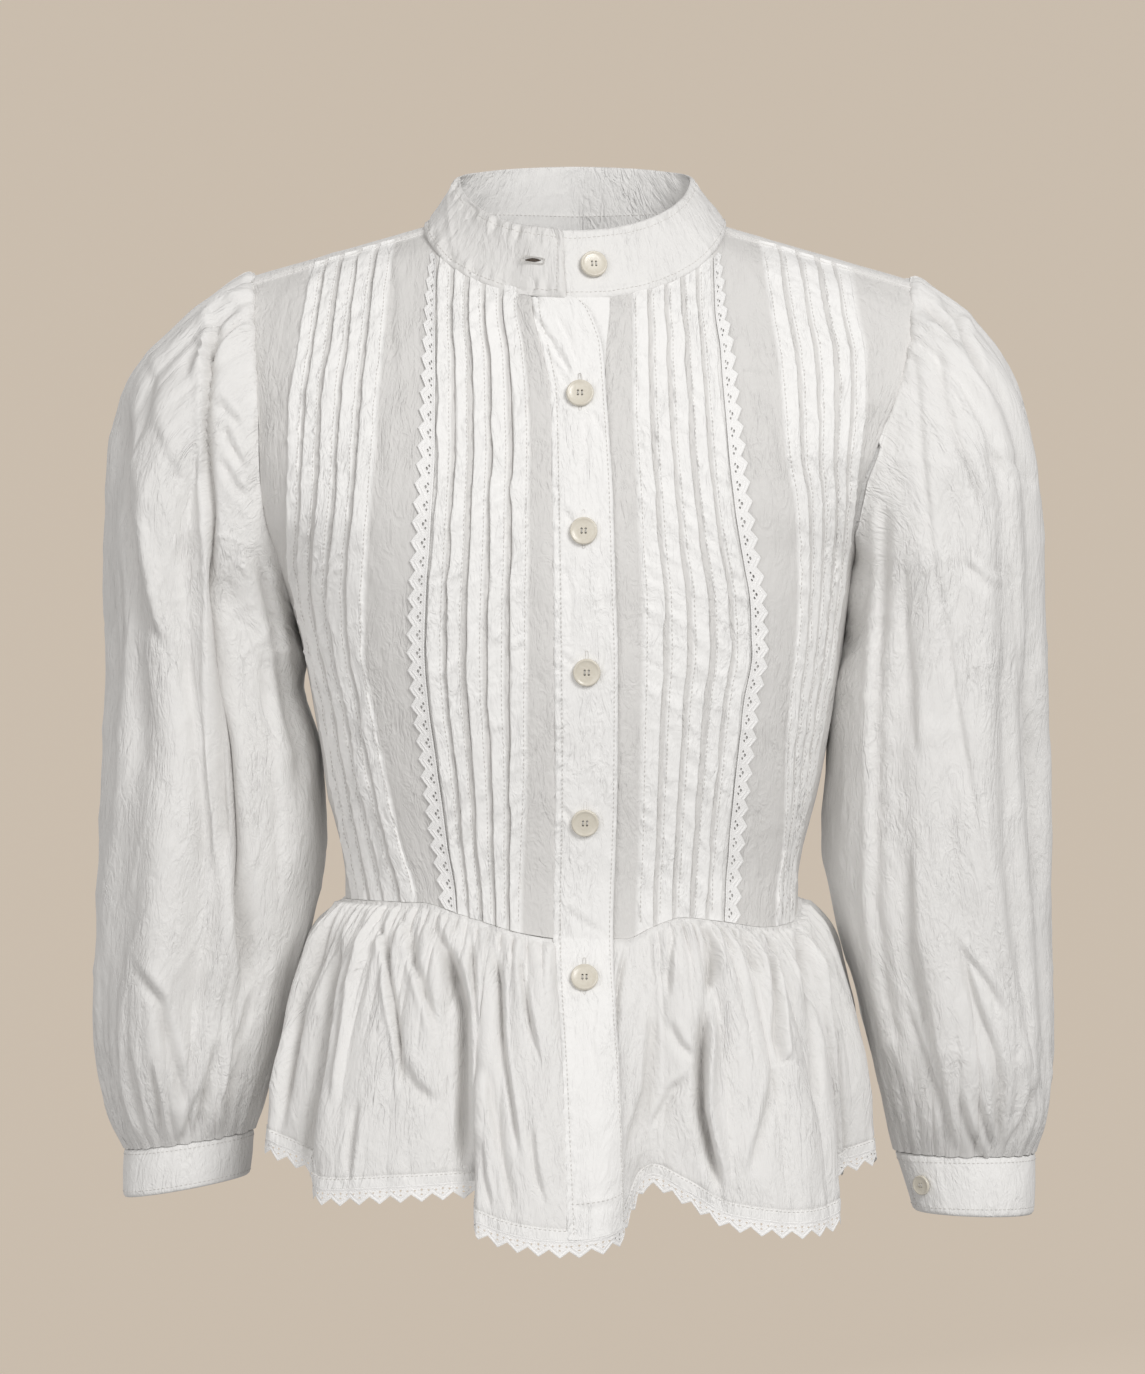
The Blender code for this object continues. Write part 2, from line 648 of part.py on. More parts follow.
class Front:
    """One front of the bodice, its columns of points running up the tucks from the waist."""

    LINES = ("placket", "inner_near", "inner_far", "outer_near", "outer_far", "edge")

    def __init__(self, side, lines, armhole, lifted):
        self.side = side
        self.lines = lines
        self.armhole = armhole
        # Each column lies a share of the way from one line to the next, and stands out that far.
        columns = [("placket", 0.0, 0.0)]
        columns += self.tucks("inner_near")
        self.lace_column = len(columns) - 1
        columns += [("inner_far", share, 0.0) for share in (0.27, 0.62)]
        columns += self.tucks("outer_near")
        columns += [("outer_far", share, 0.0) for share in (0.35, 0.7, 1.0)]
        self.near = np.array([self.LINES.index(line) for line, _, _ in columns])
        self.share = np.array([share for _, share, _ in columns])
        relief = np.array([relief for _, _, relief in columns])
        z = self.heights()
        middle = torso_point(self.angles(z), z)
        self.normals = level_rows(torso_normal(self.angles(z), z), 0)
        lift = 0.0
        if lifted:
            # The over placket's side of the front rides up onto the under placket.
            distance = np.linalg.norm(middle - middle[:, :1], axis=2, keepdims=True)
            lift = OVER_PLACKET_LIFT * (1 - smooth(distance / LIFT_FADES_OVER))
        self.inner = middle + self.normals * lift
        self.outer = self.inner + self.normals * (CLOTH + relief)[None, :, None]

    @staticmethod
    def tucks(near):
        """Each tuck rises from its stitched line to its fold, which points to the side, and drops there."""
        columns = []
        for tuck in range(TUCKS_IN_GROUP):
            last = tuck == TUCKS_IN_GROUP - 1
            start = tuck / TUCKS_IN_GROUP
            fold = 1.0 if last else start + TUCK_SHARE / TUCKS_IN_GROUP
            columns += [
                (near, start, 0.0),
                (near, fold - FOLD_SLOPE / TUCKS_IN_GROUP, TUCK_HEIGHT),
                (near, fold, 0.0),
            ]
        return columns

    def line_angle(self, line, z):
        if line == "edge":
            return armhole_angle(self.side, self.armhole, z)
        return angle_across(self.lines.read(line, z), z)

    def angles(self, z):
        lines = [self.line_angle(line, z) for line in self.LINES]
        near = np.choose(self.near, lines)
        far = np.choose(np.minimum(self.near + 1, len(lines) - 1), lines)
        return mix(near, far, self.share)

    def heights(self):
        """The height of each point, from the waist seam up to the neck or shoulder seam."""
        foot = np.full(len(self.near), WAIST_SEAM.read("height", 0.0))
        for _ in range(8):
            foot = WAIST_SEAM.read("height", self.angles(foot))
        foot += SEAM_GAP
        top = np.full(len(self.near), SHOULDER_RIDGE - 0.06)
        for _ in range(FORM_STEPS):
            x = torso_point(self.angles(top), top)[:, 0]
            shoulder = shoulder_height(x) - SHOULDER_SEAM_GAP
            neck = np.where(np.abs(x) < NECK_HALF_WIDTH, neck_height(x) - SEAM_GAP, shoulder)
            top = mix(top, np.minimum(shoulder, neck), 0.5)
        low = np.linspace(0, 1, ROWS_BELOW_UNDERARM + 1)[:-1, None]
        high = np.linspace(0, 1, ROWS_ABOVE_UNDERARM + 1)[:, None] ** 1.5
        return np.concatenate((mix(foot, UNDERARM, low), mix(UNDERARM, top, high)))

    def build(self, name):
        wall(name, self.outer, self.inner, False, cotton())

    def build_lace(self, name):
        """A strip of lace from the last inner tuck's fold, with points along its outer edge."""
        start = self.outer[:, self.lace_column]
        across = unit(self.outer[:, self.lace_column + 1] - start)
        normal = self.normals[:, self.lace_column + 1]
        length = np.linalg.norm(np.diff(start, axis=0), axis=1).sum()
        steps = 2 * int(length / LACE_PITCH) + 1
        rows = np.linspace(0.02, 0.985, steps) * (len(start) - 1)
        start, across, normal = (between_rows(grid, rows) for grid in (start, across, normal))
        width = np.where(np.arange(steps) % 2 == 0, LACE_WIDTH - LACE_POINT, LACE_WIDTH)
        inner = np.stack((start + across * LAY_GAP, start + across * width[:, None]), axis=1)
        inner += normal[:, None] * LACE_LIFT
        wall(name, inner + normal[:, None] * LACE_CLOTH, inner, False, lace())


def between_rows(points, rows):
    """Points read at rows that lie between whole ones."""
    low = np.minimum(rows.astype(int), len(points) - 2)
    return mix(points[low], points[low + 1], (rows - low)[:, None])


def build_back():
    """The back in one piece, up over the shoulders to the seams on their front."""
    tops = BACK_COLUMNS.columns["top"]
    feet = BACK_COLUMNS.key
    across = np.concatenate((-tops[:0:-1], tops))
    share = np.concatenate((-feet[:0:-1], feet))
    side = np.where(share < 0, -1, 1)
    over_shoulder = np.abs(across) > NECK_HALF_WIDTH - 0.001
    at_edge = np.abs(share) > 0.999

    def angles(z, behind=True):
        foot_x = torso_point(180 * side - side * 90 * np.abs(share), WAIST_HEIGHT)[..., 0]
        x = mix(foot_x, across, np.clip((z - WAIST_HEIGHT) / (-0.02 - WAIST_HEIGHT), 0, 1))
        right = armhole_angle(-1, RIGHT_ARMHOLE, z, behind)
        left = armhole_angle(1, LEFT_ARMHOLE, z, behind)
        return np.where(at_edge, np.where(side < 0, right, left), angle_across(x, z, behind))

    foot = WAIST_SEAM.read("height", angles(np.full(len(share), WAIST_HEIGHT))) + SEAM_GAP / 2
    top = np.full(len(share), -0.02)
    for _ in range(FORM_STEPS):
        x = torso_point(angles(top), top)[:, 0]
        ridge = shoulder_height(x, SHOULDER_RIDGE - 0.0022)
        top = mix(top, np.where(over_shoulder, ridge, neck_height(x, True) - SEAM_GAP), 0.5)
    low = np.linspace(0, 1, BACK_ROWS_BELOW + 1)[:-1, None]
    high = np.linspace(0, 1, BACK_ROWS_ABOVE + len(RIDGE_LEVELS) + 1)
    short = np.clip(high * (BACK_ROWS_ABOVE + len(RIDGE_LEVELS)) / BACK_ROWS_ABOVE, 0, 1)
    # Beside the neck the top rows draw together, as they turn over the shoulder on the columns beyond.
    drawn = smooth((np.abs(across) - 0.02) / (NECK_HALF_WIDTH - 0.024))
    rise = mix(high[:, None], short[:, None], drawn * np.where(over_shoulder, 1.0, 0.985)) ** 1.4
    z = np.concatenate((mix(foot, UNDERARM, low), mix(UNDERARM, top, rise)))
    grid = torso_point(angles(z), z)
    normals = torso_normal(angles(z), z)
    for row, level in enumerate(RIDGE_LEVELS, start=len(z) - len(RIDGE_LEVELS)):
        ahead = z[-1].copy()
        for _ in range(FORM_STEPS):
            x = torso_point(angles(ahead, False), ahead)[:, 0]
            ahead = mix(ahead, shoulder_height(x, level), 0.5)
        before = angles(ahead, False)
        grid[row] = np.where(over_shoulder[:, None], torso_point(before, ahead), grid[row])
        normals[row] = np.where(over_shoulder[:, None], torso_normal(before, ahead), normals[row])
    normals = level_rows(normals, 0)
    wall("back", grid + normals * CLOTH, grid, False, cotton(), slanted=True)


def placket_surface(x, z):
    """The front's middle line carried on over the peplum."""
    waist = WAIST_SEAM.read("height", 0.0)
    share = (waist - z) / (waist - HEM.read("height", 0.0))
    below = peplum_point(peplum_angle(x, share), np.clip(share, 0, 1))
    above = torso_point(angle_across(x, z), z)
    return np.where((z > waist)[..., None], above, below)


def build_placket(name, lines, lift):
    """A band down the front opening: a column of points along each line, lifted off the torso's form."""
    top = neck_height(0.0) - SEAM_GAP
    z = np.linspace(top, HEM.read("height", 0.0) + SEAM_GAP, PLACKET_ROWS)
    x = np.stack([line(z) for line in lines], axis=1)
    z = np.minimum(z[:, None], neck_height(x) - SEAM_GAP)
    grid = placket_surface(x, z)
    normals = normals_of(grid, False, (0, -1, 0))
    inner = grid + normals * lift
    wall(name, inner + normals * CLOTH, inner, False, cotton())
    return inner + normals * CLOTH / 2, normals


# ---------------------------------------------------------------- collar


def collar_point(angle, share):
    """A place on the collar by its angle from the centre front and its share of the way up."""
    turn = np.radians(angle)
    front = np.cos(turn)
    x = NECK_HALF_WIDTH * np.sin(turn)
    z = neck_height(x, front < 0)
    y = torso_point(angle_across(x, z, front < 0), z)[..., 1]
    rise = mix(np.where(front > 0, SEAM_GAP, 1.4 * CLOTH), 2.4 * CLOTH, np.abs(np.sin(turn)) ** 4)
    base = np.stack((x, y, z + rise), axis=-1)
    top = np.stack(
        (
            COLLAR_TOP_HALF_WIDTH * np.sin(turn),
            front * np.where(front > 0, COLLAR_TOP_FRONT, -COLLAR_TOP_BACK),
            COLLAR_TOP_SIDE_HEIGHT
            - front * np.where(front > 0, COLLAR_TOP_FRONT_DROP, COLLAR_TOP_BACK_RISE),
        ),
        axis=-1,
    )
    return mix(base, top, np.asarray(share)[..., None])


def build_collar():
    """The stand collar, open at the front where its two ends meet."""
    angles = np.linspace(COLLAR_GAP_ANGLE + COLLAR_GAP, COLLAR_GAP_ANGLE + 360 - COLLAR_GAP, COLLAR_COLUMNS)
    grid = collar_point(angles[None, :] + np.zeros((3, 1)), np.array((0.0, 0.5, 1.0))[:, None])
    normals = normals_of(grid, False, (1, 0, 0))
    wall("collar", grid + normals * STIFF_CLOTH, grid, False, cotton())


# ---------------------------------------------------------------- peplum


def peplum_angle(x, share):
    half = np.where(x < 0, PEPLUM.read("right", share), PEPLUM.read("left", share))
    sine = np.minimum(np.abs(x) / half, 1.0) ** (PEPLUM_SQUARENESS / 2)
    return np.sign(x) * np.degrees(np.arcsin(sine))


def peplum_point(angle, share):
    """A place on the peplum by its angle from the centre front and its share of the way down."""
    angle = (np.asarray(angle) + 180) % 360 - 180
    turn = np.radians(angle)
    sine, cosine = np.sin(turn), np.cos(turn)
    power = 2 / PEPLUM_SQUARENESS
    half = np.where(sine < 0, PEPLUM.read("right", share), PEPLUM.read("left", share))
    depth = np.where(cosine > 0, PEPLUM.read("front", share), PEPLUM.read("back", share))
    x = np.sign(sine) * half * np.abs(sine) ** power
    y = -np.sign(cosine) * depth * np.abs(cosine) ** power
    z = mix(WAIST_SEAM.read("height", angle) - SEAM_GAP / 2, HEM.read("height", angle), share)
    out = unit(np.stack(np.broadcast_arrays(x, y, 0.0), axis=-1))
    fold = PEPLUM_FOLDS.read("out", angle) * np.asarray(share) ** 1.2
    return np.stack(np.broadcast_arrays(x, y, z), axis=-1) + out * fold[..., None]


def build_peplum(side, start, end, gathers, plain):
    """A gathered piece between two edges: a gather at every other column, soft folds below."""
    shares = np.linspace(0, 1, PEPLUM_ROWS)[:, None] ** 1.15
    way = np.linspace(0, 1, 2 * gathers + 1)
    angles = mix(start(shares), end(shares), way)
    grid = peplum_point(angles, shares)
    quarter = math.radians(angles[-1, len(way) // 4])
    normals = normals_of(grid, False, (math.sin(quarter), -math.cos(quarter), 0))
    normals = level_rows(normals, 0, -1)
    ridge = np.where(way > plain, np.arange(len(way)) % 2, 0)
    height = CLOTH + GATHER_HEIGHT * (1 - smooth(shares / 0.75)) * ridge
    wall(f"peplum_{side}", grid + normals * height[..., None], grid, False, cotton())
    build_hem_lace(f"lace_hem_{side}", grid[-1] + normals[-1] * CLOTH / 2, grid[-2], normals[-1])


def build_hem_lace(name, edge, above, normals):
    """Lace hanging from a hem: edge is the hem's line of points and above the row over it."""
    steps = np.linalg.norm(np.diff(edge, axis=0), axis=1)
    along = np.concatenate(([0.0], np.cumsum(steps)))
    points = int(along[-1] / LACE_PITCH)
    places = np.linspace(0.0005, along[-1] - 0.0005, 2 * points + 1)
    down = unit(edge - above) * np.array((1, 1, 0)) * 0.5 + np.array((0, 0, -1))
    hem, down, normals = (
        np.stack([np.interp(places, along, line[:, k]) for k in range(3)], axis=1)
        for line in (edge, unit(down), normals)
    )
    width = np.where(np.arange(2 * points + 1) % 2 == 0, LACE_WIDTH - LACE_POINT, LACE_WIDTH)
    top = hem + down * 2 * SEAM_GAP
    grid = np.stack([top, top + down * (width * 0.85)[:, None]])
    half = normals * LACE_CLOTH / 2
    wall(name, grid + half, grid - half, False, lace())


# ---------------------------------------------------------------- sleeves and cuffs


def armhole_ring(side, armhole, ring_angle):
    """Places on the armhole seam, 0 at the shoulder's tip and 90 in front, and how they face."""
    turn = np.radians(ring_angle)
    z = mix(armhole.key[-1], UNDERARM, (1 - np.cos(turn)) / 2)
    before = armhole_angle(side, armhole, z)
    behind = armhole_angle(side, armhole, z, behind=True)
    angle = np.where(np.sin(turn) > 0, before, behind)
    return torso_point(angle, z), torso_normal(angle, z)


def ring_point(side, table, share, ring_angle):
    """A place on an oval ring: 0 at its outer edge, 90 in front, 180 at its inner edge."""
    turn = np.radians(ring_angle)
    swing, sweep = (1 + np.cos(turn)) / 2, np.sin(turn)
    x = side * mix(table.read("inner", share), table.read("outer", share), swing)
    y = table.read("middle", share) - table.read("depth", share) * sweep
    z = mix(table.read("inner_z", share), table.read("outer_z", share), swing)
    return np.stack(np.broadcast_arrays(x, y, z), axis=-1)


def fold_depth(folds, share, ring_angle):
    """How far the long folds push the cloth in or out at a place."""
    total = np.zeros(np.broadcast(share, ring_angle).shape)
    for top, foot, depth, width, start, end in folds:
        away = (ring_angle - mix(top, foot, share) + 180) % 360 - 180
        fades = smooth((share - start) / 0.12) * smooth((end - share) / 0.12 + 0.001)
        total += depth * np.exp(-((away / width) ** 2)) * fades
    return total


def build_sleeve(name, side, table, armhole, folds):
    """A full sleeve, gathered to the armhole over the shoulder and to the cuff all round."""
    cap = np.linspace(-CAP_ANGLE, CAP_ANGLE, 2 * SLEEVE_CAP_GATHERS + 1)
    rest = np.linspace(CAP_ANGLE, 360 - CAP_ANGLE, 2 * SLEEVE_UNDER_GATHERS + 1)[1:-1]
    angles = np.concatenate((cap, rest))
    shares = SLEEVE_ROWS[:, None]
    seam, facing = armhole_ring(side, armhole, angles)
    under = smooth((np.abs((angles + 180) % 360 - 180) - 50) / 70)[:, None]
    seam = seam + mix(ARMHOLE_GAP, UNDERARM_GAP, under) * np.array((side, 0, 0))
    onto_seam = (1 - smooth(shares / 0.16))[..., None]
    grid = mix(ring_point(side, table, shares, angles), seam, onto_seam)
    normals = normals_of(grid, True, (side * 1, 0, 0))
    grid += normals * fold_depth(folds, shares, angles)[..., None]
    normals = level_rows(normals_of(grid, True, (side * 1, 0, 0)), -1)
    normals[0] = unit(mix(facing, normals[0], under))
    ridge = np.arange(len(angles)) % 2
    in_cap = np.arange(len(angles)) < len(cap)
    height = CLOTH + CAP_GATHER_HEIGHT * (1 - smooth(shares / 0.24)) * ridge * in_cap
    height = height + CUFF_GATHER_HEIGHT * smooth((shares - 0.80) / 0.16) * ridge
    wall(name, grid + normals * height[..., None], grid, True, cotton())


def build_cuff(name, side, table, overlap_angle):
    """A buttoned cuff: the upper end of the band laps over the lower one."""
    angles = np.linspace(0, 360, CUFF_COLUMNS, endpoint=False)
    grid = ring_point(side, table, np.array((0.0, 0.5, 1.0))[:, None], angles)
    normals = level_rows(normals_of(grid, True, (side, 0, 0)), 0)
    away = np.abs((angles - overlap_angle + 180) % 360 - 180)
    lap = np.where(away < 24, 0.0009, 0.0)
    outer = grid + normals * (STIFF_CLOTH + lap)[None, :, None]
    wall(name, outer, grid, True, cotton())
    return outer


# ---------------------------------------------------------------- buttons


def button_mesh():
    """A turned button with a raised rim round a shallow dish."""
    rim, dish = 0.0012, 0.0009
    profile = (
        (0.0, BUTTON_HEIGHT - dish),
        (BUTTON_RADIUS - 2.2 * rim, BUTTON_HEIGHT - dish),
        (BUTTON_RADIUS - rim, BUTTON_HEIGHT),
        (BUTTON_RADIUS, BUTTON_HEIGHT * 0.6),
        (BUTTON_RADIUS - rim, 0.0),
        (0.0, 0.0),
    )
    mesh = bpy.data.meshes.new("button_profile")
    mesh.from_pydata([(r, 0, z) for r, z in profile], [(i, i + 1) for i in range(len(profile) - 1)], [])
    mesh.materials.append(material("shell_button", SHELL_CREAM, 0.35))
    return mesh


def build_button(name, mesh, place, outward, scale=1.0):
    """A button lying on the cloth at a place, facing outwards."""
    piece = add_piece(name, mesh)
    outward = Vector(outward).normalized()
    turn = outward.to_track_quat("Z", "Y").to_matrix().to_4x4()
    there = Matrix.Translation(Vector(place) + outward * LAY_GAP)
    piece.matrix_world = there @ turn @ Matrix.Scale(scale, 4)
    screw = piece.modifiers.new("turned", "SCREW")
    screw.steps = screw.render_steps = BUTTON_STEPS
    screw.use_merge_vertices = True
    screw.merge_threshold = 0.0001
    return piece


def placket_outer(x, z):
    """A place on the over placket's outer face and the way it faces."""
    x, z = np.array(x), np.array(z)
    up = placket_surface(x, z + 0.01) - placket_surface(x, z - 0.01)
    across = placket_surface(x + 0.005, z) - placket_surface(x - 0.005, z)
    outward = unit(np.cross(across, up))
    return placket_surface(x, z) + outward * (OVER_PLACKET_LIFT + CLOTH), outward


def build_buttons(right_cuff, left_cuff):
    mesh = button_mesh()
    for number, (x, z) in enumerate(PLACKET_BUTTONS, start=1):
        place, outward = placket_outer(x, z)
        build_button(f"button_{number}", mesh, place, outward)
    here = collar_point(COLLAR_BUTTON_ANGLE, COLLAR_BUTTON_SHARE)
    up = collar_point(COLLAR_BUTTON_ANGLE, 0.9) - here
    across = collar_point(COLLAR_BUTTON_ANGLE + 5, COLLAR_BUTTON_SHARE) - here
    outward = unit(np.cross(across, up))
    build_button("button_collar", mesh, here + outward * (STIFF_CLOTH + 0.0004), outward)
    for name, cuff, column in (("button_cuff_right", right_cuff, 16), ("button_cuff_left", left_cuff, 10)):
        place = cuff[1, column]
        outward = np.cross(cuff[1, column + 1] - cuff[1, column - 1], cuff[2, column] - cuff[0, column])
        outward = unit(outward * np.sign(outward @ (place - cuff[1].mean(axis=0))))
        build_button(name, mesh, place, outward, CUFF_BUTTON_SCALE)


# ---------------------------------------------------------------- the blouse


def clear_scene():
    for piece in list(bpy.data.objects):
        bpy.data.objects.remove(piece)
    blouse = bpy.data.collections.new("victorian_blouse")
    bpy.context.scene.collection.children.link(blouse)


def build_bodice():
    right = Front(-1, RIGHT_LINES, RIGHT_ARMHOLE, lifted=True)
    right.build("front_right")
    right.build_lace("lace_front_right")
    left = Front(1, LEFT_LINES, LEFT_ARMHOLE, lifted=False)
    left.build("front_left")
    left.build_lace("lace_front_left")
    build_back()
    def seam(z):
        return PLACKET.read("seam", z) + SEAM_GAP

    def edge(z):
        return PLACKET.read("edge", z)

    def under_near(z):
        return np.full(len(z), UNDER_PLACKET_LEFT)

    def under_far(z):
        on_peplum = PLACKET.read("edge", z) - UNDER_MARGIN - SEAM_GAP
        return np.where(z < -0.400, on_peplum, LEFT_LINES.read("placket", z)) - SEAM_GAP

    def over_near(z):
        return np.minimum(under_near(z), mix(seam(z), edge(z), 0.4))

    def over_far(z):
        return np.minimum(under_far(z), mix(seam(z), edge(z), 0.8))

    middle, normals = build_placket("placket_over", (seam, over_near, over_far, edge), OVER_PLACKET_LIFT)
    build_hem_lace("lace_hem_placket", middle[-1], middle[-2], normals[-1])
    build_placket("placket_under", (under_near, under_far), 0.0)
    build_collar()


def build_skirt():
    def over_edge(shares):
        z = mix(WAIST_SEAM.read("height", 0.0), HEM.read("height", 0.0), shares)
        return peplum_angle(PLACKET.read("seam", z), shares)

    def under_edge(shares):
        z = mix(WAIST_SEAM.read("height", 0.0), HEM.read("height", 0.0), shares)
        return peplum_angle(PLACKET.read("edge", z) - UNDER_MARGIN, shares)

    def side_seam(angle):
        return lambda shares: angle + 0 * shares

    gap = 0.06
    build_peplum("right", over_edge, side_seam(-90 + gap), GATHERS_FRONT, 0.0)
    build_peplum("back", side_seam(-90 - gap), side_seam(-270 + gap), GATHERS_BACK, 0.0)
    build_peplum("left", under_edge, side_seam(90 - gap), GATHERS_FRONT, 0.13)


def build_arms():
    build_sleeve("sleeve_right", -1, RIGHT_SLEEVE, RIGHT_ARMHOLE, RIGHT_SLEEVE_FOLDS)
    build_sleeve("sleeve_left", 1, LEFT_SLEEVE, LEFT_ARMHOLE, LEFT_SLEEVE_FOLDS)
    right = build_cuff("cuff_right", -1, RIGHT_CUFF, 215)
    left = build_cuff("cuff_left", 1, LEFT_CUFF, 140)
    build_buttons(right, left)


def main():
    clear_scene()
    build_bodice()
    build_skirt()
    build_arms()


main()
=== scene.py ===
"""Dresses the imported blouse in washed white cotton, with sewn tucks, gathers, lace, thread and shell buttons.

Lengths are in metres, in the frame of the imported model: +Z is up, the front faces -Y, and the wearer's
right side is at -X. The forms repeat the part's own sections and are divided finely enough for the cloth
to show each tuck, gather and crease.
"""

import logging
import math
from collections.abc import Callable
from dataclasses import dataclass
from enum import Enum

import bmesh
import bpy
import numpy as np
from mathutils import Matrix, Vector


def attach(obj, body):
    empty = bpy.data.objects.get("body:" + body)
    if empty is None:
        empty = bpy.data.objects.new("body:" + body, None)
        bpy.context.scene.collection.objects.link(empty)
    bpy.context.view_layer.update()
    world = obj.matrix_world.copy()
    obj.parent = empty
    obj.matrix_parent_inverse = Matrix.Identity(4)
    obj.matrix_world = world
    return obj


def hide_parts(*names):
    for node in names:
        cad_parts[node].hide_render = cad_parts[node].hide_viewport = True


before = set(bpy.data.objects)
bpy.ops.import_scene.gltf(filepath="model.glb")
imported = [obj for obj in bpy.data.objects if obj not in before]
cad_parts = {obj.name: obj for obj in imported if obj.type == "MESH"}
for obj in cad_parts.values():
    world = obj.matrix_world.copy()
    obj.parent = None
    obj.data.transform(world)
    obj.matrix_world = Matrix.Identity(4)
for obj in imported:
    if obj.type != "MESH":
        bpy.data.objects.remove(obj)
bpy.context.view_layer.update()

LOG = logging.getLogger("blouse")
ROOT = "root"

# One size for all, or one for each point
Edge = Callable[[np.ndarray], np.ndarray]
Amount = float | np.ndarray
Colour = tuple[float, float, float, float]
Socket = bpy.types.NodeSocket

# The camera that took the picture
CAMERA_PLACE = (-0.0015, -2.4, -0.262)
CAMERA_LENS = 108.0
SENSOR = 36.0
FLOOR_HEIGHT = -1.42

# Cloth
COTTON = 0.0005
FACE = 0.0010
UNDERSIDE = 0.0002
SEAM = 0.0003
# How doubled the single cloth of the sleeves and peplum counts, from 0 to 1
SINGLE = 0.62
MM = 0.001


def smooth(share: Amount) -> Amount:
    """0 below 0 and 1 above 1, with soft ends."""
    share = np.clip(share, 0.0, 1.0)
    return share * share * (3 - 2 * share)


def mix(a: Amount, b: Amount, share: Amount) -> Amount:
    """The value a share of the way from a to b."""
    return a + (b - a) * share


def unit(vectors: np.ndarray) -> np.ndarray:
    """The vectors at length 1."""
    return vectors / np.maximum(np.linalg.norm(vectors, axis=-1, keepdims=True), 1e-12)


def bell(distance: Amount, width: float) -> Amount:
    """1 at distance 0, fading to nothing over about twice the width."""
    return np.exp(-((distance / width) ** 2))


def turned_away(degrees: Amount, middle: Amount) -> Amount:
    """How far round an angle is from a middle one, between -180 and 180 degrees."""
    return (degrees - middle + 180) % 360 - 180


class Side(Enum):
    """A side of the wearer, as the sign of its X."""

    RIGHT = -1
    LEFT = 1


class Table:
    """Rows of sizes against their first column, read between the rows on a curve that never overshoots."""

    def __init__(self, names: tuple[str, ...], rows: tuple[tuple[float, ...], ...]) -> None:
        """Takes the columns' names after the first, and the rows."""
        grid = np.array(sorted(rows), float)
        self.key = grid[:, 0]
        self.columns = {name: grid[:, i + 1] for i, name in enumerate(names)}

    def read(self, name: str, at: Amount) -> np.ndarray:
        """Reads a column.

        Args:
            name: The column.
            at: Where along the first column to read it.

        Returns:
            The column's values there.
        """
        key, value = self.key, self.columns[name]
        step = np.diff(key)
        slope = np.diff(value) / step
        tangent = np.empty_like(value)
        tangent[0], tangent[-1] = slope[0], slope[-1]
        before, after = slope[:-1], slope[1:]
        together = before * after > 0
        total = np.where(together, before + after, 1.0)
        tangent[1:-1] = np.where(together, 2 * before * after / total, 0.0)
        at = np.clip(np.asarray(at, float), key[0], key[-1])
        i = np.clip(np.searchsorted(key, at, side="right") - 1, 0, len(key) - 2)
        t = (at - key[i]) / step[i]
        return (
            (2 * t**3 - 3 * t**2 + 1) * value[i]
            + (t**3 - 2 * t**2 + t) * step[i] * tangent[i]
            + (3 * t**2 - 2 * t**3) * value[i + 1]
            + (t**3 - t**2) * step[i] * tangent[i + 1]
        )


class Unevenness:
    """Smooth seeded noise for what cloth does unevenly."""

    SIZE = 64

    def __init__(self, seed: int) -> None:
        """Fills a lattice of random values from the seed."""
        self.lattice = np.random.default_rng(seed).uniform(-1, 1, (self.SIZE, self.SIZE))

    def at(self, u: Amount, v: Amount) -> np.ndarray:
        """The noise at places given in lattice steps, between -1 and 1."""
        u, v = np.broadcast_arrays(np.asarray(u, float), np.asarray(v, float))
        i, j = np.floor(u).astype(int), np.floor(v).astype(int)
        s, t = smooth(u - i), smooth(v - j)
        corner = [[self.lattice[(i + a) % self.SIZE, (j + b) % self.SIZE] for b in (0, 1)] for a in (0, 1)]
        return mix(mix(corner[0][0], corner[1][0], s), mix(corner[0][1], corner[1][1], s), t)

    def creases(self, u: Amount, v: Amount, lean: float) -> np.ndarray:
        """Thin ridges where the noise passes nothing, as in crushed cloth.

        Args:
            u: Places across, in lattice steps.
            v: Places along, in lattice steps.
            lean: How far the ridges lean across for each step along.

        Returns:
            Heights between 0 and 1.
        """
        bent = u + lean * v + 0.6 * self.at(v * 0.7 + 9, u * 0.5)
        return (1 - np.abs(self.at(bent, v * 0.6))) ** 4


# ---------------------------------------------------------------- nodes


class Value:
    """A socket's value that takes part in Python arithmetic, each operation adding a Math node."""

    def __init__(self, nodes: "Nodes", socket: Socket) -> None:
        """Keeps the socket and the tree it belongs to."""
        self.nodes = nodes
        self.socket = socket

    def _math(self, operation: str, *values: "Value | float") -> "Value":
        """Adds a Math node on the values."""
        return self.nodes.value("ShaderNodeMath", {"operation": operation}, dict(enumerate(values)))

    def __add__(self, other: "Value | float") -> "Value":
        """self + other"""
        return self._math("ADD", self, other)

    __radd__ = __add__

    def __sub__(self, other: "Value | float") -> "Value":
        """self - other"""
        return self._math("SUBTRACT", self, other)

    def __rsub__(self, other: "Value | float") -> "Value":
        """other - self"""
        return self._math("SUBTRACT", other, self)

    def __mul__(self, other: "Value | float") -> "Value":
        """self * other"""
        return self._math("MULTIPLY", self, other)

    __rmul__ = __mul__

    def power(self, exponent: float) -> "Value":
        """self to a power."""
        return self._math("POWER", self, exponent)

    def away_from(self, middle: float) -> "Value":
        """How far the value is from a middle one."""
        return self._math("ABSOLUTE", self - middle)


